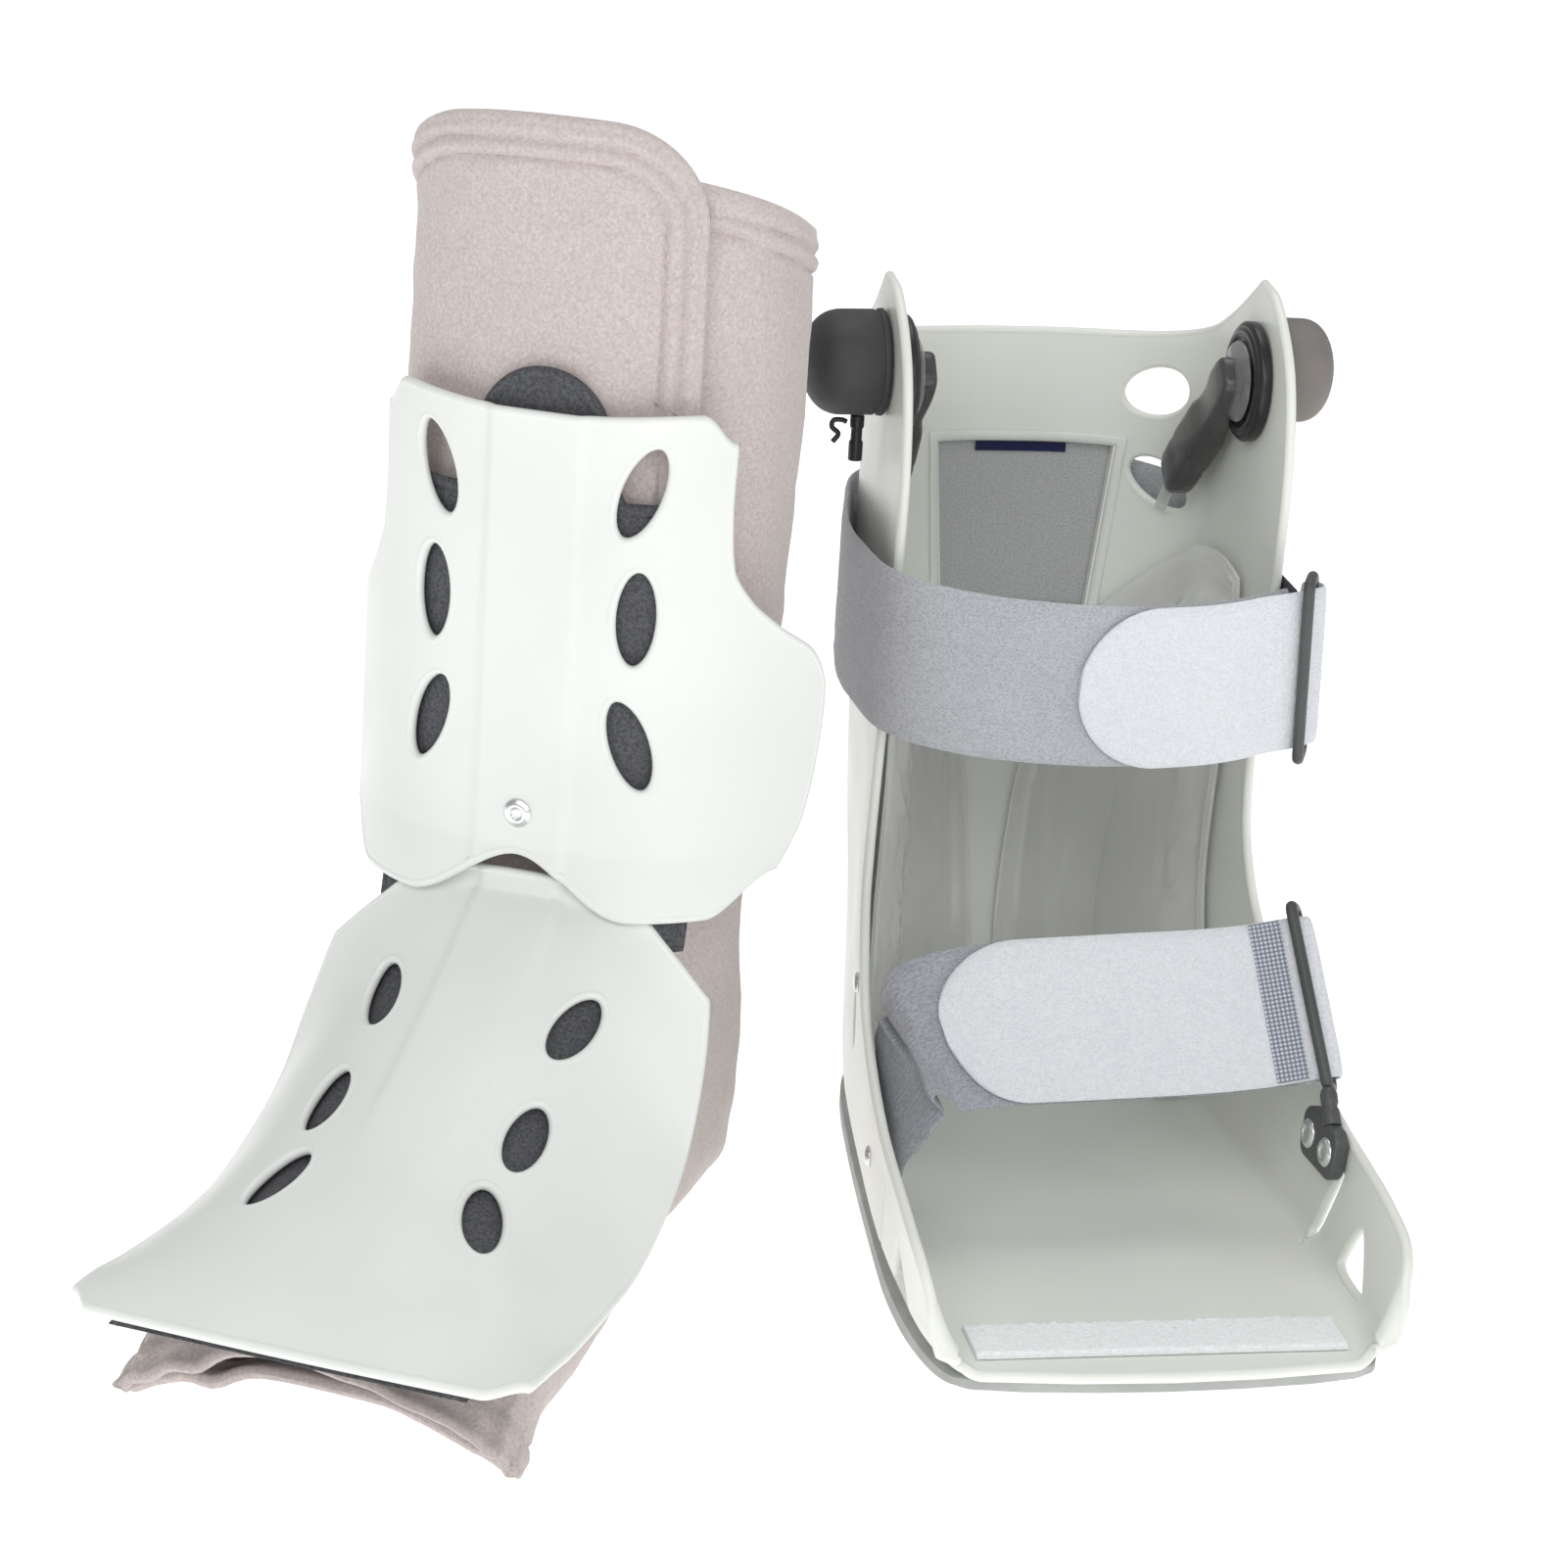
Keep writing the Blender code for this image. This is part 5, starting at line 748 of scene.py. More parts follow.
def foot_surface(place, share, depth):
    """Point at a depth under the foot panel: place on the liner's rows and signed share across."""
    row = smooth_row(FOOT_ROWS, place_of(FOOT_ROWS, place))
    stack = 2.0 * PAD_GAP + PANEL_WALL + PAD_THICKNESS
    forward = max(-place, 0.0)
    centre = instep_point(max(place, 0.0), stack)
    slope = instep_point(0.05, stack) - instep_point(0.0, stack)
    centre = centre - slope.normalized() * forward * FOOT_PANEL_REACH
    down = row.down * FOOT_PANEL_DROP
    side = abs(share)
    raised = TIBIA_RIDGE * ridge(side * FOOT_PANEL_HALF) * ease(2.0, 3.2, place)
    if depth > PANEL_WALL:
        raised = 0.0
    x = math.copysign(side * row.half * FOOT_PANEL_HALF, share)
    y = centre.y + row.back * FOOT_PANEL_DROP * side * side
    z = centre.z - down * side ** 2.5
    point = Vector((x, y, z))
    run = slope_at(place)
    fall = 2.5 * down * side ** 1.5 / (row.half * FOOT_PANEL_HALF)
    normal = Vector((math.copysign(fall, share), -run.z, run.y)).normalized()
    return point + normal * (raised - depth)


def slope_at(place):
    """Direction of the liner's top line."""
    ahead = liner_ends(smooth_row(LINER_SECTIONS, max(place, 0.0) + 0.1))[1]
    behind = liner_ends(smooth_row(LINER_SECTIONS, max(place, 0.0) - 0.1))[1]
    return (ahead - behind).normalized()


def pressed(point, centre, trees, clearance):
    """Point drawn in along its ray from the centre, so that it stays clear of the surfaces pressing on it."""
    toward = point - centre
    reach = toward.length
    toward.normalize()
    for tree in trees:
        hit, _, _, distance = tree.ray_cast(centre, toward)
        if hit is not None:
            reach = min(reach, distance - clearance)
    return centre + toward * reach


def liner_middle(place):
    """Middle of a liner section."""
    base, top = liner_ends(smooth_row(LINER_SECTIONS, place))
    return base.lerp(top, 0.4)


def flap_row(z):
    """Fractional row at which the liner's front reaches a height."""
    places = steps(7.0, len(LINER_SECTIONS) - 1.0, 90)
    return min(places, key=lambda p: abs(liner_ends(smooth_row(LINER_SECTIONS, p))[1].z - z))


def edge_angle(place):
    """Angle at which the liner's front is as far right as the flap's edge."""
    angles = [math.radians(a) for a in range(20, 90, 2)]
    return min(angles, key=lambda a: abs(liner_point(place, a).x - FLAP_EDGE_X))


# Helpers for meshes

def finite_normals(grid, closed=False):
    """Unit normal at each point of a grid, from its neighbours."""
    rows = len(grid)
    columns = len(grid[0])
    normals = []
    for i in range(rows):
        row = []
        for j in range(columns):
            if closed:
                across = grid[i][(j + 1) % columns] - grid[i][j - 1]
            else:
                across = grid[i][min(j + 1, columns - 1)] - grid[i][max(j - 1, 0)]
            along = grid[min(i + 1, rows - 1)][j] - grid[max(i - 1, 0)][j]
            row.append(along.cross(across).normalized())
        normals.append(row)
    return normals


def offset_grid(grid, normals, distance):
    """Grid moved along its normals."""
    return [[p + n * distance for p, n in zip(a, b)] for a, b in zip(grid, normals)]


def border_of(grid):
    """Points round the edge of a grid, in order."""
    rows = len(grid)
    columns = len(grid[0])
    points = [grid[0][j] for j in range(columns)]
    points += [grid[i][columns - 1] for i in range(1, rows)]
    points += [grid[rows - 1][j] for j in range(columns - 2, -1, -1)]
    points += [grid[i][0] for i in range(rows - 2, 0, -1)]
    return points


def merged_mesh(name, meshes):
    """One mesh from several, which are then dropped."""
    shape = bmesh.new()
    for mesh in meshes:
        shape.from_mesh(mesh)
        bpy.data.meshes.remove(mesh)
    result = bpy.data.meshes.new(name)
    shape.to_mesh(result)
    shape.free()
    return result


def tube_mesh(name, points, radius, cyclic=False, resolution=4):
    """Mesh of a round tube along points."""
    curve = bpy.data.curves.new(name, "CURVE")
    curve.dimensions = "3D"
    curve.bevel_depth = radius
    curve.bevel_resolution = resolution
    curve.use_fill_caps = not cyclic
    spline = curve.splines.new("POLY")
    spline.points.add(len(points) - 1)
    for knot, point in zip(spline.points, points):
        knot.co = (*point, 1.0)
    spline.use_cyclic_u = cyclic
    thing = bpy.data.objects.new(name, curve)
    bpy.context.scene.collection.objects.link(thing)
    bpy.context.view_layer.update()
    mesh = bpy.data.meshes.new_from_object(thing.evaluated_get(bpy.context.evaluated_depsgraph_get()))
    bpy.data.objects.remove(thing)
    bpy.data.curves.remove(curve)
    return mesh


def turned_mesh(name, profile, spot, axis, count=48):
    """Mesh turned from (radius, height) points, standing on spot along axis."""
    points = []
    for radius, height in profile:
        for k in range(count):
            angle = 2.0 * math.pi * k / count
            points.append((radius * math.cos(angle), radius * math.sin(angle), height))
    faces = grid_faces(len(profile), count, closed=True)
    shape = bmesh.new()
    mesh = mesh_from(name, points, faces, outward=False)
    shape.from_mesh(mesh)
    bmesh.ops.remove_doubles(shape, verts=shape.verts, dist=0.00002)
    bmesh.ops.recalc_face_normals(shape, faces=shape.faces)
    shape.to_mesh(mesh)
    shape.free()
    turn = Vector(axis).to_track_quat("Z", "Y").to_matrix().to_4x4()
    mesh.transform(Matrix.Translation(spot) @ turn)
    return mesh


def rounded(profile, radius=0.0006, count=3):
    """Profile with its inner corners rounded."""
    points = [Vector(p) for p in profile]
    result = [points[0]]
    for before, here, after in zip(points, points[1:], points[2:]):
        reach = min(radius, 0.45 * (before - here).length, 0.45 * (after - here).length)
        start = here + (before - here).normalized() * reach
        end = here + (after - here).normalized() * reach
        for t in steps(0.0, 1.0, count):
            result.append(start.lerp(here, t).lerp(here.lerp(end, t), t))
    return [(p.x, p.y) for p in result + [points[-1]]]


def piece(name, mesh, material, place, slot, *nodes, sharp=50.0, body="root"):
    """Piece of the scene in the row's frame, which stands for the CAD nodes it names."""
    mesh.transform(place)
    mesh.name = name
    mesh.materials.clear()
    mesh.materials.append(material)
    mesh.shade_smooth()
    mesh.set_sharp_from_angle(angle=math.radians(sharp))
    thing = bpy.data.objects.new(name, mesh)
    bpy.context.scene.collection.objects.link(thing)
    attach(thing, body)
    if nodes:
        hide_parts(*nodes)
    return thing


def cut_mesh(name, mesh, cutters):
    """Mesh with prisms taken out of it."""
    thing = bpy.data.objects.new(name, mesh)
    bpy.context.scene.collection.objects.link(thing)
    tool = bpy.data.objects.new(name + "_cut", merged_mesh(name + "_cut", cutters))
    bpy.context.scene.collection.objects.link(tool)
    boolean = thing.modifiers.new("cut", "BOOLEAN")
    boolean.operation = "DIFFERENCE"
    boolean.solver = "EXACT"
    boolean.object = tool
    bpy.context.view_layer.update()
    result = bpy.data.meshes.new_from_object(thing.evaluated_get(bpy.context.evaluated_depsgraph_get()))
    bpy.data.objects.remove(thing)
    bpy.data.objects.remove(tool)
    return result


def prism_mesh(name, outline, spot, axis, up, depth):
    """Prism with its outline in the plane across axis, centred on spot."""
    axis = Vector(axis).normalized()
    side = Vector(up).cross(axis).normalized()
    rise = axis.cross(side)
    points = []
    for end in (-0.5, 0.5):
        points += [Vector(spot) + side * a + rise * b + axis * (end * depth) for a, b in outline]
    count = len(outline)
    faces = [tuple(range(count)), tuple(range(2 * count - 1, count - 1, -1))]
    faces += [(i, (i + 1) % count, count + (i + 1) % count, count + i) for i in range(count)]
    return mesh_from(name, points, faces)


def rim_points(tree, outline, spot, axis, up, reach):
    """Points of an outline, laid on the middle of a wall by rays both ways along axis."""
    axis = Vector(axis).normalized()
    side = Vector(up).cross(axis).normalized()
    rise = axis.cross(side)
    points = []
    for a, b in outline:
        here = Vector(spot) + side * a + rise * b
        front, _, _, _ = tree.ray_cast(here + axis * reach, -axis, 2.0 * reach)
        back, _, _, _ = tree.ray_cast(here - axis * reach, axis, 2.0 * reach)
        if front is None or back is None:
            continue
        points.append(0.5 * (front + back))
    return points


def smooth_outline(outline, count=8):
    """Closed outline with a smooth curve through its points."""
    points = []
    total = len(outline)
    for i in range(total):
        p0, p1, p2, p3 = (Vector(outline[(i + k) % total]) for k in (-1, 0, 1, 2))
        for step in range(count):
            t = step / count
            points.append(0.5 * (2.0 * p1 + (p2 - p0) * t + (2.0 * p0 - 5.0 * p1 + 4.0 * p2 - p3) * t * t
                                 + (3.0 * p1 - p0 - 3.0 * p2 + p3) * t ** 3))
    return [(p.x, p.y) for p in points]


# Materials

def paint(red, green, blue):
    """Linear colour of an sRGB one given from 0 to 255."""
    def linear(value):
        value /= 255.0
        return value / 12.92 if value <= 0.04045 else ((value + 0.055) / 1.055) ** 2.4
    return (linear(red), linear(green), linear(blue), 1.0)


class Look:
    """Principled material with short calls for its nodes."""

    def __init__(self, name, colour, roughness, metallic=0.0, **values):
        self.material = bpy.data.materials.new(name)
        self.material.use_nodes = True
        self.tree = self.material.node_tree
        self.shader = self.tree.nodes["Principled BSDF"]
        self.shader.inputs["Base Color"].default_value = colour
        self.shader.inputs["Roughness"].default_value = roughness
        self.shader.inputs["Metallic"].default_value = metallic
        for key, value in values.items():
            self.shader.inputs[key.replace("_", " ")].default_value = value
        self.last_bump = None
        self.coordinates = self.node("ShaderNodeTexCoord")

    def node(self, kind, **values):
        """New node with its settings."""
        node = self.tree.nodes.new(kind)
        for key, value in values.items():
            setattr(node, key, value)
        return node

    def link(self, here, there):
        """Join two sockets."""
        self.tree.links.new(here, there)

    def noise(self, scale, detail=2.0, stretch=(1.0, 1.0, 1.0), uv=False, roughness=0.5, distortion=0.0):
        """Noise in metres of the row's frame, or along a band's own length and width."""
        mapping = self.node("ShaderNodeMapping")
        mapping.inputs["Scale"].default_value = stretch
        self.link(self.coordinates.outputs["UV" if uv else "Object"], mapping.inputs["Vector"])
        texture = self.node("ShaderNodeTexNoise")
        texture.inputs["Scale"].default_value = scale
        texture.inputs["Detail"].default_value = detail
        texture.inputs["Roughness"].default_value = roughness
        texture.inputs["Distortion"].default_value = distortion
        self.link(mapping.outputs["Vector"], texture.inputs["Vector"])
        return texture.outputs["Fac"]

    def cells(self, scale, stretch=(1.0, 1.0, 1.0), uv=True, randomness=1.0):
        """Distance to the nearest of scattered or even points."""
        mapping = self.node("ShaderNodeMapping")
        mapping.inputs["Scale"].default_value = stretch
        self.link(self.coordinates.outputs["UV" if uv else "Object"], mapping.inputs["Vector"])
        texture = self.node("ShaderNodeTexVoronoi")
        texture.inputs["Scale"].default_value = scale
        texture.inputs["Randomness"].default_value = randomness
        self.link(mapping.outputs["Vector"], texture.inputs["Vector"])
        return texture.outputs["Distance"]

    def wave(self, scale, direction="X", uv=True, distortion=0.0):
        """Bands across a direction."""
        texture = self.node("ShaderNodeTexWave", bands_direction=direction)
        texture.inputs["Scale"].default_value = scale
        texture.inputs["Distortion"].default_value = distortion
        self.link(self.coordinates.outputs["UV" if uv else "Object"], texture.inputs["Vector"])
        return texture.outputs["Fac"]

    def band(self, value, low, high):
        """Value spread over 0 to 1 between two limits."""
        node = self.node("ShaderNodeMapRange")
        node.inputs["From Min"].default_value = low
        node.inputs["From Max"].default_value = high
        self.link(value, node.inputs["Value"])
        return node.outputs["Result"]

    def mix(self, share, first, second):
        """Colour between two, which are colours or sockets."""
        node = self.node("ShaderNodeMix", data_type="RGBA")
        self.link(share, node.inputs["Factor"])
        for key, value in (("A", first), ("B", second)):
            socket = [s for s in node.inputs if s.name == key and s.type == "RGBA"][0]
            if isinstance(value, tuple):
                socket.default_value = value
            else:
                self.link(value, socket)
        return [s for s in node.outputs if s.type == "RGBA"][0]

    def add(self, first, second, operation="ADD"):
        """Sum, or another sum of two sockets or numbers."""
        node = self.node("ShaderNodeMath", operation=operation)
        for socket, value in zip(node.inputs, (first, second)):
            if isinstance(value, (int, float)):
                socket.default_value = value
            else:
                self.link(value, socket)
        return node.outputs["Value"]

    def colour(self, socket):
        """Base colour from a socket."""
        self.link(socket, self.shader.inputs["Base Color"])

    def rough(self, share, low, high):
        """Roughness between two values."""
        node = self.node("ShaderNodeMapRange")
        node.inputs["To Min"].default_value = low
        node.inputs["To Max"].default_value = high
        self.link(share, node.inputs["Value"])
        self.link(node.outputs["Result"], self.shader.inputs["Roughness"])

    def bump(self, height, strength, distance):
        """Bump added to the ones before it."""
        node = self.node("ShaderNodeBump")
        node.inputs["Strength"].default_value = strength
        node.inputs["Distance"].default_value = distance
        self.link(height, node.inputs["Height"])
        if self.last_bump is not None:
            self.link(self.last_bump, node.inputs["Normal"])
        self.last_bump = node.outputs["Normal"]
        self.link(self.last_bump, self.shader.inputs["Normal"])


def plastic(name, colour, tint, roughness, grain=900.0, **values):
    """Moulded plastic: a faint change of tone and a fine skin."""
    look = Look(name, colour, roughness, **values)
    look.colour(look.mix(look.band(look.noise(14.0, 2.0), 0.35, 0.65), colour, tint))
    look.rough(look.band(look.noise(35.0, 3.0), 0.3, 0.7), roughness - 0.05, roughness + 0.07)
    look.bump(look.noise(grain, 2.0), 0.05, 0.0003)
    look.bump(look.noise(22.0, 1.0), 0.05, 0.004)
    return look.material


def felt_look():
    """Brushed felt: short fibres, a soft mottle and sheen."""
    light = paint(209, 199, 196)
    dark = paint(178, 167, 164)
    look = Look("liner_felt", light, 0.95)
    look.shader.inputs["Sheen Weight"].default_value = 0.25
    look.shader.inputs["Sheen Roughness"].default_value = 0.5
    fine = look.band(look.noise(950.0, 3.0, roughness=0.7), 0.36, 0.66)
    mottle = look.band(look.noise(260.0, 3.0), 0.35, 0.65)
    wide = look.band(look.noise(18.0, 2.0), 0.3, 0.7)
    tone = look.mix(fine, dark, light)
    tone = look.mix(look.add(mottle, 0.35, "MULTIPLY"), tone, paint(196, 184, 181))
    tone = look.mix(look.add(wide, 0.22, "MULTIPLY"), tone, paint(186, 176, 174))
    look.colour(tone)
    look.bump(look.noise(1300.0, 2.0, stretch=(1.0, 1.0, 0.6)), 0.35, 0.0004)
    look.bump(look.noise(330.0, 3.0), 0.30, 0.0006)
    return look.material


def strap_look(name, light, dark, ribs, roughness=0.95):
    """Loop pile: rows of small loops along the strap in a mixed tone."""
    look = Look(name, light, roughness)
    look.shader.inputs["Sheen Weight"].default_value = 0.15
    loops = look.band(look.cells(1100.0, (1.0, 1.5, 1.0)), 0.05, 0.62)
    mixed = look.band(look.noise(1500.0, 3.0, (0.6, 1.0, 1.0), uv=True, roughness=0.7), 0.30, 0.70)
    wide = look.band(look.noise(60.0, 2.0, uv=True), 0.2, 0.8)
    tone = look.add(look.add(loops, 0.5, "MULTIPLY"), look.add(mixed, 0.5, "MULTIPLY"))
    look.colour(look.mix(look.add(look.add(tone, 0.85, "MULTIPLY"), look.add(wide, 0.15, "MULTIPLY")), dark, light))
    look.bump(loops, 0.40, 0.0005)
    look.bump(look.noise(900.0, 2.0, uv=True), 0.25, 0.0004)
    if ribs:
        look.bump(look.wave(ribs, "Y", distortion=1.2), 0.30, 0.0005)
    return look.material


def film_look(name, colour, clear, roughness):
    """Clear film: it hides more at a slant and has bright highlights."""
    look = Look(name, colour, roughness)
    look.shader.inputs["Coat Weight"].default_value = 0.8
    look.shader.inputs["Coat Roughness"].default_value = 0.06
    edge = look.node("ShaderNodeLayerWeight")
    edge.inputs["Blend"].default_value = 0.35
    node = look.node("ShaderNodeMapRange")
    node.inputs["To Min"].default_value = clear
    node.inputs["To Max"].default_value = min(clear + 0.45, 1.0)
    look.link(edge.outputs["Facing"], node.inputs["Value"])
    look.link(node.outputs["Result"], look.shader.inputs["Alpha"])
    look.bump(look.noise(30.0, 2.0, distortion=0.6), 0.25, 0.004)
    return look.material


def rubber_look(name, colour, tint):
    """Matte rubber with a fine skin."""
    look = Look(name, colour, 0.62)
    look.colour(look.mix(look.band(look.noise(60.0, 3.0), 0.3, 0.7), colour, tint))
    look.rough(look.band(look.noise(120.0, 2.0), 0.3, 0.7), 0.55, 0.72)
    look.bump(look.noise(1400.0, 2.0), 0.12, 0.0003)
    return look.material


def foam_look():
    """Dark closed-cell foam."""
    look = Look("pad_foam", paint(72, 73, 77), 0.75)
    look.colour(look.mix(look.band(look.noise(1100.0, 2.0), 0.35, 0.65), paint(58, 59, 63), paint(86, 87, 91)))
    look.bump(look.cells(1500.0, uv=False), 0.25, 0.0003)
    return look.material


def weave_look(name, light, dark, scale):
    """Plain weave: crossing threads."""
    look = Look(name, light, 0.9)
    along = look.wave(scale, "X")
    across = look.wave(scale, "Y")
    cloth = look.add(along, across, "MULTIPLY")
    mixed = look.band(look.noise(scale * 2.0, 2.0, uv=True), 0.3, 0.7)
    look.colour(look.mix(look.add(look.add(cloth, 0.5, "MULTIPLY"), look.add(mixed, 0.5, "MULTIPLY")), dark, light))
    look.bump(cloth, 0.4, 0.0004)
    return look.material


def stitch_look():
    """Blue-grey mesh with an even grid of light dots."""
    look = Look("stitch_mesh", paint(120, 126, 138), 0.9)
    dots = look.band(look.cells(760.0, randomness=0.0), 0.46, 0.26)
    look.colour(look.mix(dots, paint(118, 124, 137), paint(196, 201, 210)))
    look.bump(dots, 0.5, 0.0005)
    return look.material


# The rear shell's pieces

def shell_rows(count):
    """Outer face of the shell as a fine grid."""
    grid = []
    for place in steps(0.0, len(SHELL_SECTIONS) - 1.0, count):
        row = smooth_row(SHELL_SECTIONS, place)
        profile, height = shell_profile(row)
        left = [shell_lift(row, across, up, height, -1.0) for across, up in profile[:0:-1]]
        right = [shell_lift(row, across, up, height, 1.0) for across, up in profile]
        grid.append(left + right)
    return grid


def wall_of(grid, depth, inward):
    """Both faces and the rounded rim of a wall of even depth."""
    normals = finite_normals(grid)
    middle = grid[len(grid) // 2][len(grid[0]) // 2]
    sign = 1.0 if normals[len(grid) // 2][len(grid[0]) // 2].dot(inward - middle) > 0.0 else -1.0
    inner = offset_grid(grid, normals, sign * depth)
    centre = offset_grid(grid, normals, sign * 0.5 * depth)
    return inner, border_of(centre)


def make_shell_look(material):
    """Shell with its holes and a rounded rim on every edge."""
    inner, rim = wall_of(SHELL_GRID, SHELL_WALL, Vector((0.0, LEG_MIDDLE_Y, 0.15)))
    mesh = slab_mesh("shell", SHELL_GRID, inner)
    tree = tree_of_mesh(mesh)
    through = 8.0 * SHELL_WALL
    cutters = []
    lips = [tube_mesh("rim", rim, RIM_SHARE * SHELL_WALL, cyclic=True)]
    middle_z = 0.5 * (WINDOW_TOP_Z + WINDOW_BOTTOM_Z)
    outline = [(-x, z - middle_z) for x, z in window_outline(0.0)]
    cutters.append(prism_mesh("hole", outline, (0.0, SHELL_HEEL_Y, middle_z), (0, 1, 0), (0, 0, 1), 2 * through))
    for side in (-1.0, 1.0):
        for vent in BACK_VENTS:
            toward = Vector((side * math.cos(vent.turn), math.sin(vent.turn), 0.0))
            spot, _ = wall_hit((0.0, LEG_MIDDLE_Y, SHELL_HEIGHT - vent.drop), toward)
            grow = 0.4 * SHELL_WALL
            outline = oval(vent.half_width + grow, vent.half_height + grow, side * vent.lean, 40)
            cutters.append(prism_mesh("hole", outline, spot, toward, (0, 0, 1), through))
            lips.append(rim_points(tree, outline, spot, toward, (0, 0, 1), through))
        for vent in SIDE_VENTS:
            spot, _ = outside_wall(side, SHELL_HEEL_Y - vent.along * SHELL_LENGTH, vent.up * SHELL_HEIGHT)
            outline = [(-side * a * vent.size * 1.06, b * vent.size * 1.06) for a, b in vent.outline]
            outline = smooth_outline(outline)
            cutters.append(prism_mesh("hole", outline, spot, (side, 0, 0), (0, 0, 1), through))
            lips.append(rim_points(tree, outline, spot, (side, 0, 0), (0, 0, 1), through))
    mesh = cut_mesh("shell", mesh, cutters)
    lips = [lips[0]] + [tube_mesh("lip", points, RIM_SHARE * SHELL_WALL, cyclic=True, resolution=3)
                        for points in lips[1:] if len(points) > 8]
    piece("shell", merged_mesh("shell", [mesh] + lips), material, SHELL, "shell_plastic", "rear_shell", sharp=40.0)


def make_sole_look(material):
    """Rocker sole with a softened edge."""
    base = [shell_line(smooth_row(SHELL_SECTIONS, p), rim=False) for p in steps(0.0, 9.0, 73)]
    rings = []
    shares = (-1.0, -0.985, -0.95, -0.8, -0.4, 0.0, 0.4, 0.8, 0.95, 0.985, 1.0)
    for place in steps(0.0, len(SOLE_SECTIONS) - 1.0, 70):
        row = smooth_row(SOLE_SECTIONS, place)
        y = SHELL_HEEL_Y - row.along * SHELL_LENGTH
        half = row.half * SHELL_HALF_WIDTH
        ahead, behind = next((a, b) for a, b in zip(base, base[1:]) if b.y >= y or b is base[-1])
        share = min(max((y - ahead.y) / (behind.y - ahead.y), 0.0), 1.0)
        seat = ahead.z + (behind.z - ahead.z) * share - GAP
        low = max(row.lift, 0.0) * SOLE_ROCKER
        top, bottom = [], []
        for share in shares:
            bow = 0.05 * SHELL_HALF_WIDTH * (1.0 - share * share) * ease(0.85, 1.0, row.along)
            soft = 0.30 * (seat - low) * ease(0.93, 1.0, abs(share))
            top.append(Vector((share * half, y - bow, seat - 0.5 * soft)))
            bottom.append(Vector((share * half, y - bow, low + soft)))
        rings.append((top, bottom))
    mesh = slab_mesh("sole", [r[0] for r in rings], [r[1] for r in rings])
    piece("sole", mesh, material, SHELL, "sole_rubber", "outsole", sharp=35.0)


def make_window_look(materials):
    """Frame, fabric tab and plain stripe of the heel window."""
    def on_wall(x, z, from_back, out):
        start, toward = ((x, 2.0 * SHELL_HEEL_Y, z), -1.0) if from_back else ((x, LEG_MIDDLE_Y, z), 1.0)
        point, _ = wall_hit(start, (0.0, toward, 0.0))
        return point - Vector((0.0, toward * out, 0.0))

    def loop(margin, out, count=12):
        corners = window_outline(margin)
        points = []
        for (x0, z0), (x1, z1) in zip(corners, corners[1:] + corners[:1]):
            points += [on_wall(x0 + (x1 - x0) * t / count, z0 + (z1 - z0) * t / count, False, out)
                       for t in range(count)]
        return points

    low, high = 0.0006, WINDOW_FRAME_WIDTH
    rings = [loop(low, 0.0), loop(low, 0.7 * WINDOW_FRAME_DEPTH), loop(low + 0.0005, WINDOW_FRAME_DEPTH),
             loop(high - 0.0005, WINDOW_FRAME_DEPTH), loop(high, 0.7 * WINDOW_FRAME_DEPTH), loop(high, 0.0)]
    points = [p for row in rings for p in row]
    count = len(rings[0])
    faces = [tuple(corner % len(points) for corner in face)
             for face in grid_faces(len(rings) + 1, count, closed=True)]
    piece("window_edge", mesh_from("window_edge", points, faces), materials["frame"], SHELL,
          "window_frame_plastic", "window_frame")

    low_left, low_right, high_right, high_left = window_outline(WINDOW_TAB_OVERLAP)
    outer, inner = [], []
    for up in steps(0.0, 1.0, 30):
        left = low_left[0] + (high_left[0] - low_left[0]) * up
        right = low_right[0] + (high_right[0] - low_right[0]) * up
        z = low_left[1] + (high_left[1] - low_left[1]) * up
        slack = 0.0004 * noise.noise(Vector((4.0 * up, 0.0, 3.0)))
        inner.append([on_wall(x, z, True, GAP + TAB_GAP + slack) for x in steps(left, right, 40)])
        outer.append([on_wall(x, z, True, GAP + TAB_GAP + slack + 0.6 * BAND_THICKNESS)
                      for x in steps(left, right, 40)])
    mesh = slab_mesh("window_cloth", outer, inner)
    add_flat_uv(mesh, 0, 2)
    piece("window_cloth", mesh, materials["fabric"], SHELL, "window_fabric", "window_tab")

    top = WINDOW_TOP_Z - 0.0012
    xs = steps(WINDOW_MIDDLE_X - 0.5 * STRIPE_WIDTH, WINDOW_MIDDLE_X + 0.5 * STRIPE_WIDTH, 20)
    lie = GAP + TAB_GAP - 1.4 * GAP
    zs = steps(top - STRIPE_DEPTH, top, 4)
    back = [[on_wall(x, z, True, lie) for x in xs] for z in zs]
    front = [[on_wall(x, z, True, lie - STRIPE_THICKNESS) for x in xs] for z in zs]
    mesh = slab_mesh("plain_stripe", front, back)
    add_flat_uv(mesh, 0, 2)
    piece("plain_stripe", mesh, materials["navy"], SHELL, "navy_stripe", "window_tab_stripe")


def add_flat_uv(mesh, first, second):
    """UV map in metres from two of the point's own values."""
    layer = mesh.uv_layers.new(name="UVMap")
    for loop in mesh.loops:
        point = mesh.vertices[loop.vertex_index].co
        layer.data[loop.index].uv = (point[first], point[second])


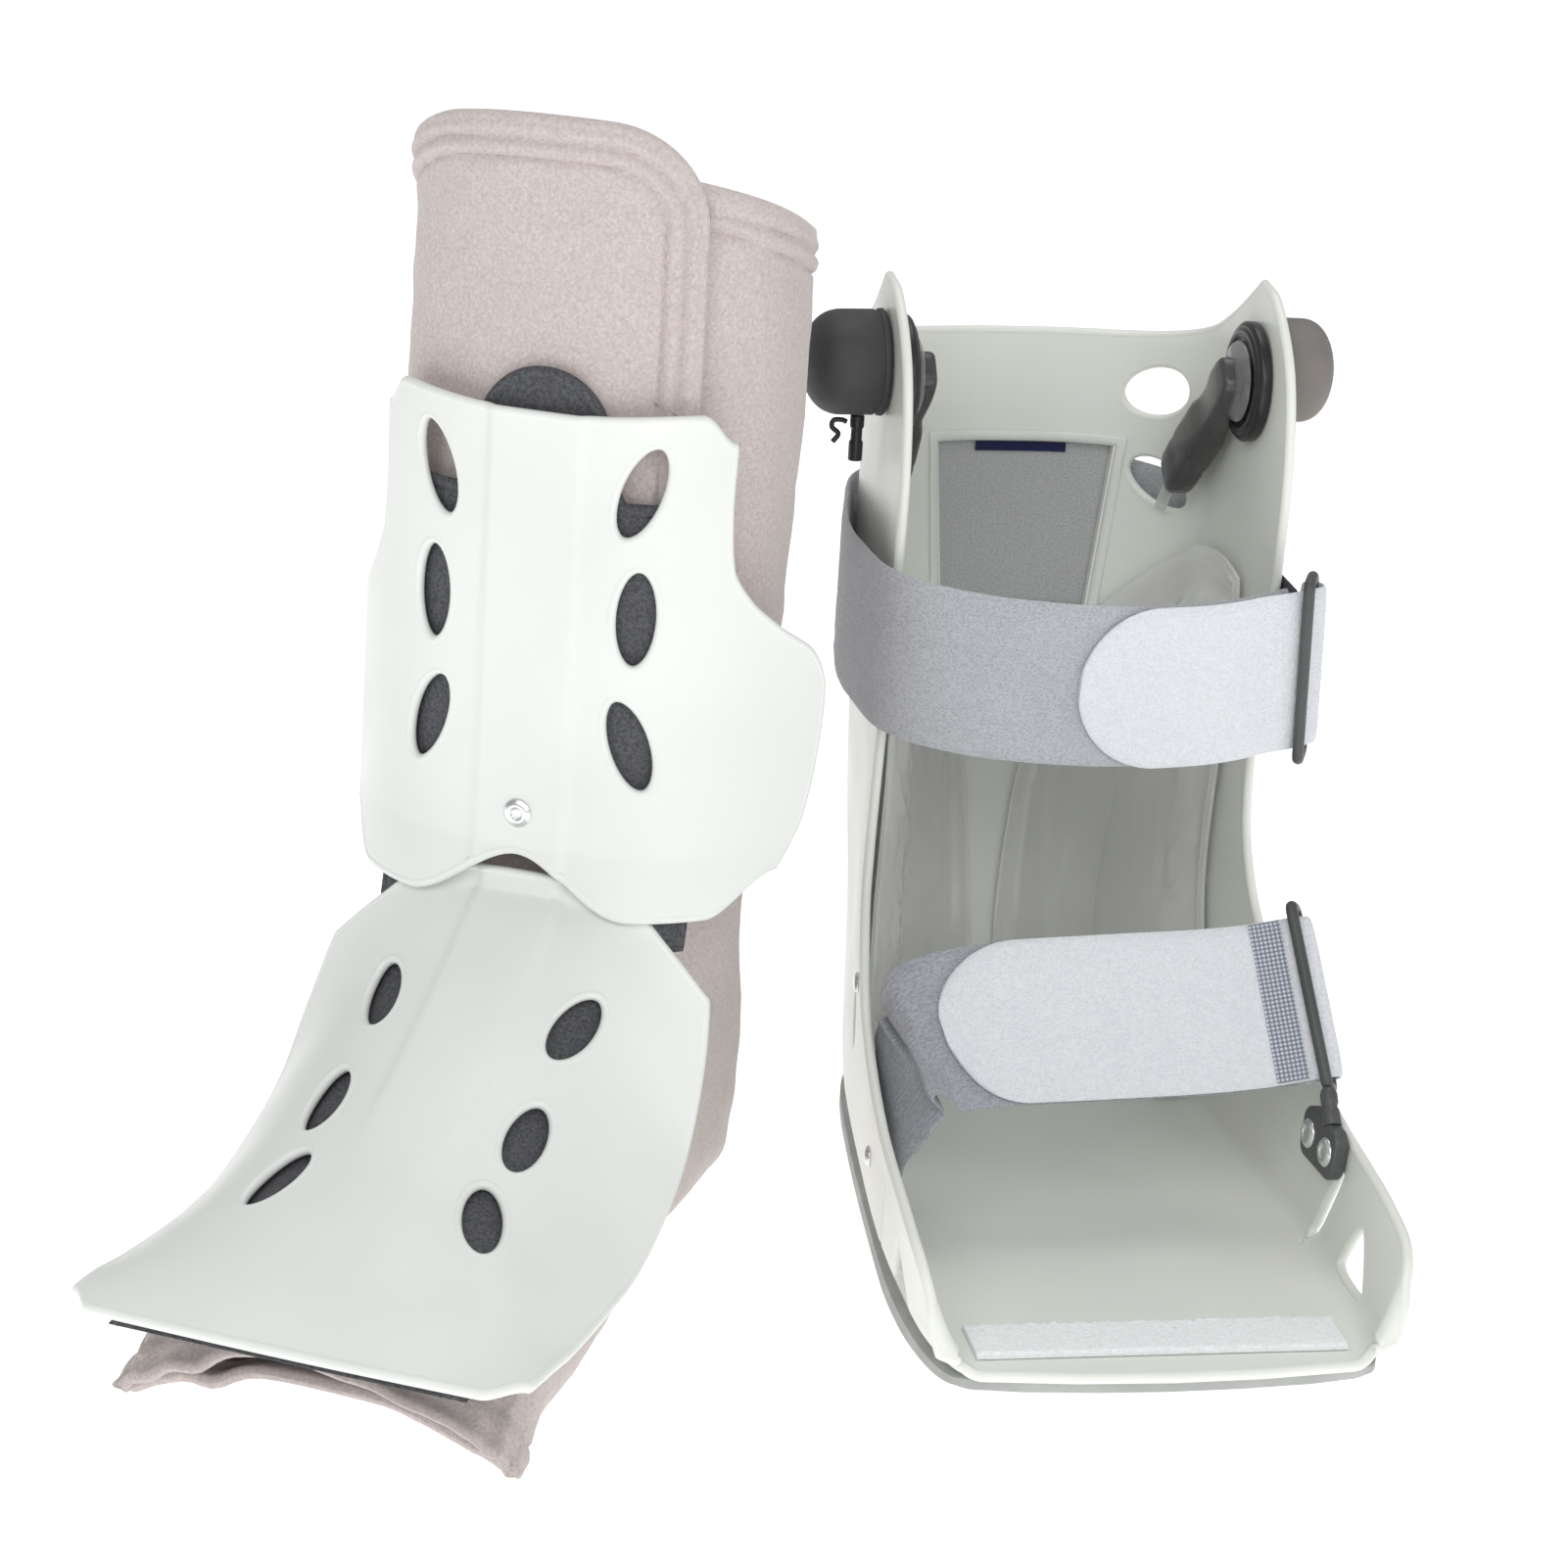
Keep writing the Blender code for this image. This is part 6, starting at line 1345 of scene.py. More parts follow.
def make_pump_looks(materials):
    """Rubber bulbs with their rolled skirt, and the stem and hook under the left one."""
    for side, word in ((-1.0, "left"), (1.0, "right")):
        point, normal = outside_wall(side, PUMP_Y, PUMP_Z)
        reach = PUMP_REACH[word]
        skirt = PUMP_SKIRT * reach
        profile = [(0.0, reach)]
        for angle in steps(0.02, 0.5 * math.pi, 18):
            flat = math.sin(angle) ** 0.92
            profile.append((PUMP_RADIUS * flat, skirt + (reach - skirt) * math.cos(angle) ** 0.85))
        lip = 0.0022
        profile += [(PUMP_RADIUS, lip + 0.0012), (PUMP_RADIUS - 0.0004, lip + 0.0006), (PUMP_RADIUS - 0.0004, lip),
                    (PUMP_RADIUS + 0.0002, lip - 0.0004), (PUMP_RADIUS + 0.0003, 0.0006), (PUMP_RADIUS - 0.0003, 0.0),
                    (0.0, 0.0)]
        mesh = turned_mesh("bulb", profile, point + normal * 3.0 * GAP, normal, 64)
        piece(f"bulb_{word}", mesh, materials[f"bulb_{word}"], SHELL,
              "bulb_charcoal" if side < 0.0 else "bulb_grey", f"pump_bulb_{word}")
    point, _ = outside_wall(-1.0, PUMP_Y, PUMP_Z)
    top = Vector((point.x - STEM_OFF_WALL, PUMP_Y, PUMP_Z - PUMP_RADIUS - 2.0 * GAP))
    profile = [(0.0, 0.0), (STEM_RADIUS, 0.0), (STEM_RADIUS, -0.25 * STEM_LENGTH),
               (0.8 * STEM_RADIUS, -0.3 * STEM_LENGTH), (0.8 * STEM_RADIUS, -0.55 * STEM_LENGTH),
               (STEM_RADIUS, -0.6 * STEM_LENGTH), (STEM_RADIUS, -STEM_LENGTH), (0.0, -STEM_LENGTH)]
    piece("stem", turned_mesh("stem", rounded(profile, 0.0003), top, (0, 0, 1), 24), materials["black"], SHELL,
          "valve_black", "pump_stem")
    out = STEM_RADIUS + HOOK_WIRE + GAP
    shape = [(0.0, -0.50), (-0.35, -0.36), (-0.95, -0.40), (-1.05, -0.90), (-0.55, -1.40), (-0.95, -2.00)]
    rows = [Knot(HOOK_SIZE * a - out, 0.0, HOOK_SIZE * b) for a, b in shape]
    route = [top + Vector(smooth_row(rows, p)[:3]) for p in steps(0.0, len(rows) - 1.0, 26)]
    piece("hook", tube_mesh("hook", route, HOOK_WIRE), materials["black"], SHELL, "valve_black", "pump_hook")


def make_valve_looks(materials):
    """Valve disc, clear dome, nozzle and air tube inside each ear."""
    for side, word in ((-1.0, "left"), (1.0, "right")):
        point, normal = inside_wall(side, PUMP_Y, VALVE_Z)
        seat = point + normal * 2.0 * GAP
        rim = 0.0012
        profile = [(0.0, VALVE_DEPTH - 0.0008), (VALVE_COVER_RADIUS + 0.0010, VALVE_DEPTH - 0.0008),
                   (VALVE_COVER_RADIUS + 0.0016, VALVE_DEPTH), (VALVE_RADIUS - 2.2 * rim, VALVE_DEPTH),
                   (VALVE_RADIUS - 1.8 * rim, VALVE_DEPTH - 0.6 * rim), (VALVE_RADIUS - rim, VALVE_DEPTH - 0.6 * rim),
                   (VALVE_RADIUS, VALVE_DEPTH - 1.5 * rim), (VALVE_RADIUS, 0.0), (0.0, 0.0)]
        mesh = turned_mesh("valve_ring", rounded(profile, 0.0004), seat, normal, 72)
        piece(f"valve_ring_{word}", mesh, materials["black"], SHELL, "valve_black", f"valve_disc_{word}")
        profile = [(VALVE_COVER_RADIUS * math.sin(a), VALVE_COVER_DEPTH * math.cos(a))
                   for a in steps(0.0, 0.5 * math.pi, 14)] + [(0.0, 0.0)]
        top = seat + normal * (VALVE_DEPTH + GAP)
        mesh = turned_mesh("valve_dome", profile, top, normal, 64)
        piece(f"valve_dome_{word}", mesh, materials["dome"], SHELL, "clear_vinyl", f"valve_cover_{word}")

        end_wall, end_normal = inside_wall(side, NOZZLE_END_Y, NOZZLE_END_Z)
        foot = end_wall + end_normal * (1.25 * NOZZLE_HALF_DEPTH + 6.0 * GAP)
        leave = (Vector((0.0, NOZZLE_END_Y, NOZZLE_END_Z)) - Vector((0.0, PUMP_Y, VALVE_Z))).normalized()
        head = seat - leave * (0.35 * VALVE_RADIUS) + normal * (VALVE_DEPTH + 0.9 * NOZZLE_HALF_DEPTH)
        knee = seat + leave * (0.95 * VALVE_RADIUS) + normal * (0.6 * VALVE_DEPTH + NOZZLE_HALF_DEPTH)
        knots = [Knot(*head), Knot(*head.lerp(knee, 0.6)), Knot(*knee), Knot(*knee.lerp(foot, 0.5)), Knot(*foot)]
        run = (foot - knee).normalized()
        body = [(0.00, 0.35, 0.40), (0.01, 0.62, 0.62), (0.04, 0.82, 0.78), (0.10, 0.94, 0.88), (0.20, 1.00, 0.95),
                (0.34, 0.98, 1.00), (0.50, 0.92, 1.02), (0.56, 0.94, 1.08), (0.60, 1.04, 1.22), (0.64, 1.06, 1.26),
                (0.80, 1.04, 1.24), (0.83, 0.98, 1.16), (0.86, 1.02, 1.20), (0.95, 0.98, 1.16), (0.985, 0.92, 1.06),
                (1.00, 0.80, 0.90)]
        rings = []
        for share, half, thick in body:
            place = share * (len(knots) - 1.0)
            spot = Vector(smooth_row(knots, place)[:3])
            ahead = Vector(smooth_row(knots, min(place + 0.05, 4.0))[:3])
            back = Vector(smooth_row(knots, max(place - 0.05, 0.0))[:3])
            wide = (ahead - back).cross(normal).normalized()
            deep = wide.cross(ahead - back).normalized()
            ring = []
            for k in range(32):
                angle = 2.0 * math.pi * k / 32
                a = math.copysign(abs(math.cos(angle)) ** 0.42, math.cos(angle))
                b = math.copysign(abs(math.sin(angle)) ** 0.42, math.sin(angle))
                ring.append(spot + wide * (a * NOZZLE_HALF_WIDTH * half) + deep * (b * NOZZLE_HALF_DEPTH * thick))
            rings.append(ring)
        points = [p for ring in rings for p in ring]
        faces = grid_faces(len(rings), 32, closed=True) + [tuple(range(32)),
                                                            tuple(len(points) - 1 - i for i in range(32))]
        piece(f"nozzle_{word}", mesh_from("nozzle", points, faces), materials["nozzle"], SHELL, "valve_black",
              f"valve_nozzle_{word}", sharp=40.0)
        start = foot - run * 0.002
        drop = TUBE_DROP + 0.002
        route = [start + run * (drop * t) + Vector((0.0, 0.0, -0.2 * drop * t * t)) for t in steps(0.0, 1.0, 14)]
        piece(f"tube_{word}", tube_mesh("tube", route, TUBE_RADIUS), materials["film"], SHELL, "clear_vinyl",
              f"air_tube_{word}")


def make_cell_looks(material):
    """Welded air cells: a flat seam all round, then a full, slightly puckered front."""
    count = 56
    middle = 0.5 * (CELL_BOTTOM_ROW + CELL_TOP_ROW)
    half = 0.5 * (CELL_TOP_ROW - CELL_BOTTOM_ROW)
    for side, word in ((-1.0, "left"), (1.0, "right")):
        wall = []
        puffs = []
        for v in spread(count, 1.6):
            wall_row = []
            puff_row = []
            for u in spread(count, 1.6):
                across = u * math.sqrt(1.0 - CELL_CORNER * v * v)
                up = v * math.sqrt(1.0 - CELL_CORNER * u * u)
                outer = CELL_OUTER_LOW + (CELL_OUTER_HIGH - CELL_OUTER_LOW) * 0.5 * (up + 1.0)
                share = CELL_INNER_SHARE + (outer - CELL_INNER_SHARE) * 0.5 * (across + 1.0)
                wall_row.append(shell_point(middle + half * up, side * share))
                edge = min(max(abs(u), abs(v)) / CELL_WELD_SHARE, 1.0)
                pucker = 1.0 + 0.5 * noise.noise(Vector((14.0 * u, 14.0 * v, side))) * ease(0.55, 1.0, edge)
                seam = 0.10 * math.exp(-((max(abs(u), abs(v)) - 0.965) / 0.012) ** 2)
                puff_row.append(max(1.0 - edge ** 3.2, 0.0) ** 0.7 * pucker + seam)
            wall.append(wall_row)
            puffs.append(puff_row)
        normals = finite_normals(wall)
        into = Vector((0.0, LEG_MIDDLE_Y, 0.12)) - wall[count // 2][count // 2]
        sign = 1.0 if normals[count // 2][count // 2].dot(into) > 0.0 else -1.0
        lie = SHELL_WALL + CELL_WALL_GAP
        back = offset_grid(wall, normals, sign * lie)
        front = [[p + n * sign * (lie + CELL_WELD_THICKNESS + CELL_FULLNESS * puff)
                  for p, n, puff in zip(a, b, c)] for a, b, c in zip(wall, normals, puffs)]
        cell = piece(f"cell_{word}", slab_mesh("cell", front, back), material, SHELL, "air_cell_vinyl",
                     f"air_cell_{word}")


# Straps

Wide = namedtuple("Wide", "a b c d e f g h i")


def finer(stations, times=5):
    """More stations on a smooth curve through the given ones."""
    rows = [Wide(*s.centre, *s.across, *s.normal) for s in stations]
    result = []
    for place in steps(0.0, len(rows) - 1.0, times * (len(rows) - 1) + 1):
        row = smooth_row(rows, place)
        across = Vector(row[3:6]).normalized()
        normal = Vector(row[6:9])
        normal = (normal - across * normal.dot(across)).normalized()
        result.append(Station(Vector(row[:3]), across, normal))
    return result


def ribbon_mesh(name, stations, widths, thickness, columns=17, ripple=0.0):
    """Band with soft edges and a UV map in metres along and across it."""
    shares = [0.5 * s for s in spread(columns, 1.6)]
    rings = []
    uvs = []
    walked = 0.0
    for i, (station, width) in enumerate(zip(stations, widths)):
        if i:
            walked += (station.centre - stations[i - 1].centre).length
        outer, inner, uv = [], [], []
        for share in shares:
            soft = 0.5 * thickness * max(1.0 - (2.0 * abs(share)) ** 8, 0.0) ** 0.5 + 0.12 * thickness
            wave = ripple * noise.noise(Vector((90.0 * walked, 40.0 * share, 7.0)))
            spot = station.centre + station.across * (share * width) + station.normal * wave
            outer.append(spot + station.normal * soft)
            inner.append(spot - station.normal * soft)
            uv.append((walked, share * width))
        rings.append(outer + inner[::-1])
        uvs += uv + uv[::-1]
    count = 2 * columns
    points = [p for ring in rings for p in ring]
    faces = grid_faces(len(rings), count, closed=True)
    for start in (0, len(points) - count):
        for k in range(columns - 1):
            faces.append((start + k, start + k + 1, start + count - 2 - k, start + count - 1 - k))
    mesh = mesh_from(name, points, faces)
    layer = mesh.uv_layers.new(name="UVMap")
    for loop in mesh.loops:
        layer.data[loop.index].uv = uvs[loop.vertex_index]
    return mesh


def tab_widths(stations, width):
    """Full width as far as the rounded tip."""
    to_tip = run_lengths(stations)
    widths = []
    for distance in to_tip:
        rounding = min((distance + 0.0004) / (0.5 * width), 1.0)
        widths.append(width * math.sqrt(1.0 - (1.0 - rounding) ** 2))
    return widths


def closer_tip(stations):
    """Stations with more of them near the tip, so that its round end is smooth."""
    tip = stations[-9:]
    return stations[:-9] + finer(tip, 4)


def make_tab(name, node, route, width, material):
    """Folded tab with its rounded tip and a thin bound edge."""
    stations = closer_tip(finer(route))
    widths = tab_widths(stations, width)
    piece(name, ribbon_mesh(name, stations, widths, BAND_THICKNESS, ripple=0.0002), material, SHELL, "strap_tab",
          node)


def ring_route(stations, bar, end):
    """Centre line of a ring: one long bar inside the fold, the other over the tab."""
    radius = RING_BAR_RADIUS + 1.5 * GAP + 0.5 * BAND_THICKNESS
    behind = run_lengths(stations)
    spot = min(range(len(stations)), key=lambda i: abs(behind[i] - RING_SPREAD))
    station = stations[spot]
    near = BAND_THICKNESS + LAYER_GAP
    lift = 2.0 * radius + (near - 2.0 * radius) * ease(0.0, FOLD_EASE, behind[spot])
    over = station.centre + station.normal * (lift + 0.5 * BAND_THICKNESS + RING_BAR_RADIUS + 2.5 * GAP)
    half = 0.5 * TAB_WIDTH + RING_END_CLEARANCE + RING_BAR_RADIUS
    corner = 0.0022
    route = []
    for centre, other, first, second in ((bar, over, -end.across, end.across), (over, bar, end.across, -end.across)):
        toward = (other - centre).normalized()
        route += [centre + first * ((half - corner) * (1.0 - t)) + second * ((half - corner) * t)
                  for t in steps(0.0, 1.0, 9)]
        turn = centre + second * (half - corner) + toward * corner
        for angle in steps(0.0, 0.5 * math.pi, 6)[1:]:
            route.append(turn + second * (corner * math.sin(angle)) - toward * (corner * math.cos(angle)))
        turn = other + second * (half - corner) - toward * corner
        for angle in steps(0.0, 0.5 * math.pi, 6)[:-1]:
            route.append(turn + second * (corner * math.cos(angle)) + toward * (corner * math.sin(angle)))
    return route, over


def make_upper_looks(materials):
    """Upper strap, tab, ring and webbing."""
    centres = upper_route()
    stations = stations_along(centres, [Vector((0.0, 0.0, 1.0))] * len(centres))
    if stations[0].normal.x < 0.0:
        stations = [Station(s.centre, s.across, -s.normal) for s in stations]
    behind = run_lengths(stations)
    leg = [i for i, d in enumerate(behind) if d >= RETURN_LEG]
    strap = finer(stations[WEBBING_STATIONS:leg[-1] + 1], 3)
    mesh = ribbon_mesh("strap_upper", strap, [STRAP_WIDTH] * len(strap), BAND_THICKNESS, ripple=0.0003)
    piece("strap_upper", mesh, materials["loop"], SHELL, "strap_loop", "upper_strap")
    route, _, bar, end = fold_and_tab(stations, UPPER_TAB_LENGTH)
    make_tab("tab_upper", "upper_tab", route, TAB_WIDTH, materials["tab"])
    line, over = ring_route(stations, bar, end)
    piece("ring_upper", tube_mesh("ring", line, RING_BAR_RADIUS, cyclic=True), materials["ring"], SHELL,
          "ring_plastic", "upper_ring")
    back = stations[:WEBBING_STATIONS + 1]
    seat = end.centre - end.normal * (BAND_THICKNESS + LAYER_GAP)
    ahead = [Station(back[0].centre + (seat - back[0].centre) * t, end.across, back[0].normal)
             for t in (1.0, 0.66, 0.33)]
    webbing = finer(ahead + back, 3)
    mesh = ribbon_mesh("webbing", webbing, [STRAP_WIDTH - 0.006] * len(webbing), BAND_THICKNESS)
    piece("webbing", mesh, materials["webbing"], SHELL, "ring_webbing", "upper_ring_webbing")


def lower_stations():
    """Stations of the lower strap from its anchor to the ring."""
    rows = []
    for row in LOWER_ROUTE:
        y = SHELL_HEEL_Y - row.y * SHELL_LENGTH
        lean = math.radians(row.lean)
        rows.append(Knot(row.x * SHELL_HALF_WIDTH, y, row.z * SHELL_HEIGHT, 0.0, math.sin(lean), math.cos(lean)))
    count = 34
    samples = [smooth_row(rows, place) for place in steps(0.0, len(rows) - 1.0, count)]
    acrosses = []
    for sample, place in zip(samples, steps(0.0, 1.0, count)):
        acrosses.append(Vector((-math.sin(LOWER_RING_LEAN) * ease(0.6, 1.0, place), sample[4], sample[5])))
    centres = clear_of_wall([Vector(sample[:3]) for sample in samples], acrosses)
    stations = stations_along(centres, acrosses)
    if stations[count // 2].normal.y > 0.0:
        stations = [Station(s.centre, s.across, -s.normal) for s in stations]
    return stations


def make_lower_looks(materials):
    """Lower strap, tab, ring, stitched band and the ring's bracket."""
    stations = lower_stations()
    behind = run_lengths(stations)
    leg = [i for i, d in enumerate(behind) if d >= RETURN_LEG]
    strap = finer(stations[:leg[-1] + 1], 4)
    mesh = ribbon_mesh("strap_lower", strap, [STRAP_WIDTH] * len(strap), BAND_THICKNESS, ripple=0.0003)
    piece("strap_lower", mesh, materials["loop_ribbed"], SHELL, "strap_loop", "lower_strap")
    route, _, bar, end = fold_and_tab(stations, LOWER_TAB_LENGTH)
    make_tab("tab_lower", "lower_tab", route, TAB_WIDTH, materials["tab"])
    line, over = ring_route(stations, bar, end)
    piece("ring_lower", tube_mesh("ring", line, RING_BAR_RADIUS, cyclic=True), materials["ring"], SHELL,
          "ring_plastic", "lower_ring")

    radius = RING_BAR_RADIUS + 1.5 * GAP + 0.5 * BAND_THICKNESS
    near = BAND_THICKNESS + LAYER_GAP
    patch = []
    for distance in steps(RING_SPREAD + 0.003, RING_SPREAD + 0.003 + STITCH_BAND_WIDTH, 6):
        place = place_behind(behind, distance)
        station = between(stations, place)
        lift = 2.0 * radius + (near - 2.0 * radius) * ease(0.0, FOLD_EASE, distance)
        patch.append(shifted(station, lift + 0.5 * BAND_THICKNESS + 0.5 * STITCH_BAND_THICKNESS + GAP))
    mesh = ribbon_mesh("stitch_patch", patch, [TAB_WIDTH - 0.001] * len(patch), STITCH_BAND_THICKNESS)
    piece("stitch_patch", mesh, materials["stitch"], SHELL, "stitch_mesh", "lower_stitch_band")
    make_bracket_look(materials, over, end)


def place_behind(behind, distance):
    """Fractional station at a distance before the last one."""
    for i in range(len(behind) - 1):
        if behind[i + 1] <= distance <= behind[i]:
            return i + (behind[i] - distance) / (behind[i] - behind[i + 1])
    return len(behind) - 1.0


def between(stations, place):
    """Station at a fractional place."""
    i = min(int(place), len(stations) - 2)
    t = place - i
    here, there = stations[i], stations[i + 1]
    return Station(here.centre.lerp(there.centre, t), here.across.lerp(there.across, t).normalized(),
                   here.normal.lerp(there.normal, t).normalized())


def make_bracket_look(materials, over, end):
    """Bracket on the inner right wall, with its rivets and the barrel under the ring."""
    foot = over - end.across * (0.5 * TAB_WIDTH + 2.0 * RING_BAR_RADIUS + RING_END_CLEARANCE - 0.001)
    drop = BARREL_LENGTH + 0.5 * BRACKET_HEIGHT
    point, normal = inside_wall(1.0, foot.y - 0.15 * BRACKET_LENGTH, foot.z - drop)
    seat = point + normal * (BRACKET_WALL_GAP + 0.5 * BRACKET_DEPTH)
    turn = normal.to_track_quat("X", "Z")
    mesh = bpy.data.meshes.new("bracket")
    shape = bmesh.new()
    bmesh.ops.create_cube(shape, size=1.0)
    bmesh.ops.scale(shape, vec=(BRACKET_DEPTH, BRACKET_LENGTH, BRACKET_HEIGHT), verts=shape.verts)
    upright = [e for e in shape.edges if abs((e.verts[0].co - e.verts[1].co).x) > 0.5 * BRACKET_DEPTH]
    bmesh.ops.bevel(shape, geom=upright, offset=0.0045, segments=6, affect="EDGES", profile=0.5)
    bmesh.ops.bevel(shape, geom=[e for e in shape.edges if e.calc_face_angle(0.0) > 0.9], offset=0.0010, segments=3,
                    affect="EDGES", profile=0.5)
    shape.to_mesh(mesh)
    shape.free()
    mesh.transform(Matrix.Translation(seat) @ turn.to_matrix().to_4x4())
    piece("bracket", mesh, materials["ring"], SHELL, "ring_plastic", "ring_bracket")
    along = turn @ Vector((0.0, 1.0, 0.0))
    upward = turn @ Vector((0.0, 0.0, 1.0))
    face = seat + normal * (0.5 * BRACKET_DEPTH - 0.0002)
    rise = BRACKET_RIVET_DEPTH + 0.0003
    for step, word in ((-1.0, "front"), (1.0, "back")):
        size = BRACKET_RIVET_RADIUS
        profile = [(0.0, 0.55 * rise), (0.42 * size, 0.55 * rise), (0.52 * size, rise), (0.75 * size, rise),
                   (size, 0.35 * rise), (size, 0.0), (0.0, 0.0)]
        spot = face + along * (step * 0.27 * BRACKET_LENGTH)
        piece(f"rivet_{word}", turned_mesh("rivet", rounded(profile, 0.0003), spot, normal, 40),
              materials["rivet"], SHELL, "rivet_metal", f"bracket_rivet_{word}")
    base = seat + upward * (0.5 * BRACKET_HEIGHT - 0.0010) + along * (0.15 * BRACKET_LENGTH)
    axis = (foot - base).normalized()
    reach = (foot - base).length
    profile = [(0.0, reach), (0.8 * BARREL_RADIUS, reach), (1.1 * BARREL_RADIUS, 0.85 * reach),
               (1.1 * BARREL_RADIUS, 0.6 * reach), (0.85 * BARREL_RADIUS, 0.5 * reach), (1.1 * BARREL_RADIUS, 0.4 * reach),
               (1.2 * BARREL_RADIUS, 0.0), (0.0, 0.0)]
    piece("barrel", turned_mesh("barrel", rounded(profile, 0.0004), base, axis, 32), materials["ring"], SHELL,
          "ring_plastic", "ring_barrel")


def make_trim_looks(materials):
    """Hook tape on the tray's front edge and the rivets on the outer left wall."""
    floor_z = SOLE_DEPTH + SHELL_WALL + GAP
    xs = steps(-0.5 * HOOK_TAPE_LENGTH, 0.5 * HOOK_TAPE_LENGTH, 150)
    ys = steps(HOOK_TAPE_FRONT_Y, HOOK_TAPE_FRONT_Y + HOOK_TAPE_WIDTH, 30)
    low, high = [], []
    for j, y in enumerate(ys):
        edge = min(j, len(ys) - 1 - j)
        low_row, high_row = [], []
        for x in xs:
            rise = HOOK_TAPE_THICKNESS * (0.45 if edge < 2 else 0.85 + 0.5 * abs(noise.noise(Vector((x, y, 0.0)) * 900.0)))
            low_row.append(Vector((x, y, floor_z)))
            high_row.append(Vector((x, y, floor_z + rise)))
        low.append(low_row)
        high.append(high_row)
    mesh = slab_mesh("hook_tape", high, low)
    add_flat_uv(mesh, 0, 1)
    piece("hook_tape", mesh, materials["white"], SHELL, "hook_tape", "toe_hook_strip")
    for number, rivet in enumerate(RIVETS, 1):
        point, normal = outside_wall(-1.0, SHELL_HEEL_Y - rivet.along * SHELL_LENGTH, rivet.up * SHELL_HEIGHT)
        profile = [(0.0, RIVET_DEPTH), (0.5 * RIVET_RADIUS, 0.95 * RIVET_DEPTH), (0.85 * RIVET_RADIUS, 0.6 * RIVET_DEPTH),
                   (RIVET_RADIUS, 0.1 * RIVET_DEPTH), (RIVET_RADIUS, 0.0), (0.0, 0.0)]
        piece(f"rivet_{number}", turned_mesh("rivet", profile, point + normal * 0.0001, normal, 32),
              materials["rivet"], SHELL, "rivet_metal", f"strap_rivet_{number}")


# The liner's pieces

FRONT_LINE = [liner_ends(smooth_row(LINER_SECTIONS, p))[1] for p in steps(7.0, len(LINER_SECTIONS) - 1.0, 91)]


def front_y(z):
    """Front of the liner's leg at a height."""
    for low, high in zip(FRONT_LINE, FRONT_LINE[1:]):
        if low.z <= z <= high.z:
            return low.y + (high.y - low.y) * (z - low.z) / (high.z - low.z)
    return FRONT_LINE[-1].y if z > FRONT_LINE[-1].z else FRONT_LINE[0].y


def ridge(x):
    """Share of the raised band down the middle of a panel, between two creases."""
    return 1.0 - ease(0.92 * RIDGE_HALF_WIDTH, 1.10 * RIDGE_HALF_WIDTH, abs(x))


def tibia_sheet(depth, rows=110, columns=121, margin=0.0):
    """Fine grid over the tibia panel's outline at a depth behind its outer face."""
    grid = []
    for up in steps(0.0, 1.0, rows):
        edge = smooth_row(TIBIA_EDGES, place_of(TIBIA_EDGES, up))
        half = edge.half * TIBIA_HALF_WIDTH - margin
        row = []
        for share in spread(columns):
            x = share * half
            side = abs(share)
            arch = TIBIA_ARCH * (1.0 - ease(0.0, 0.52, side))
            low = TIBIA_BOTTOM_Z + arch + 0.011 * ease(0.80, 1.0, side) + margin
            high = TIBIA_TOP_Z + 0.002 * ease(0.2, 0.9, side) - 0.008 * ease(0.86, 1.0, side) - margin
            row.append(tibia_surface(x, low + (high - low) * up, depth))
        grid.append(row)
    return grid


def foot_sheet(depth, rows=110, columns=101, inset=0.0):
    """Fine grid over the foot panel's outline at a depth under its outer face."""
    front = FOOT_ROWS[0].row
    back = FOOT_ROWS[-1].row + FOOT_TOP_REACH
    grid = []
    for up in steps(0.0, 1.0, rows):
        row = []
        for share in spread(columns):
            corner = abs(share)
            low = front + 0.5 * ease(0.86, 1.0, corner)
            high = back - FOOT_CORNER_CUT * ease(0.35, 1.0, corner)
            row.append(foot_surface(low + (high - low) * up * (1.0 - inset), share * (1.0 - inset), depth))
        grid.append(row)
    return grid


def panel_mesh(name, sheet, cutters, lips):
    """Panel with its ovals cut and a rounded bead on every edge."""
    mesh = slab_mesh(name, sheet(0.0), sheet(PANEL_WALL))
    tree = tree_of_mesh(mesh)
    bead = 0.56 * PANEL_WALL
    tubes = [tube_mesh("bead", border_of(sheet(0.5 * PANEL_WALL)), bead, cyclic=True)]
    for outline, spot, axis, up in lips:
        points = rim_points(tree, outline, spot, axis, up, 2.0 * PANEL_WALL)
        if len(points) > 8:
            tubes.append(tube_mesh("bead", points, bead, cyclic=True, resolution=3))
    return merged_mesh(name, [cut_mesh(name, mesh, cutters)] + tubes)


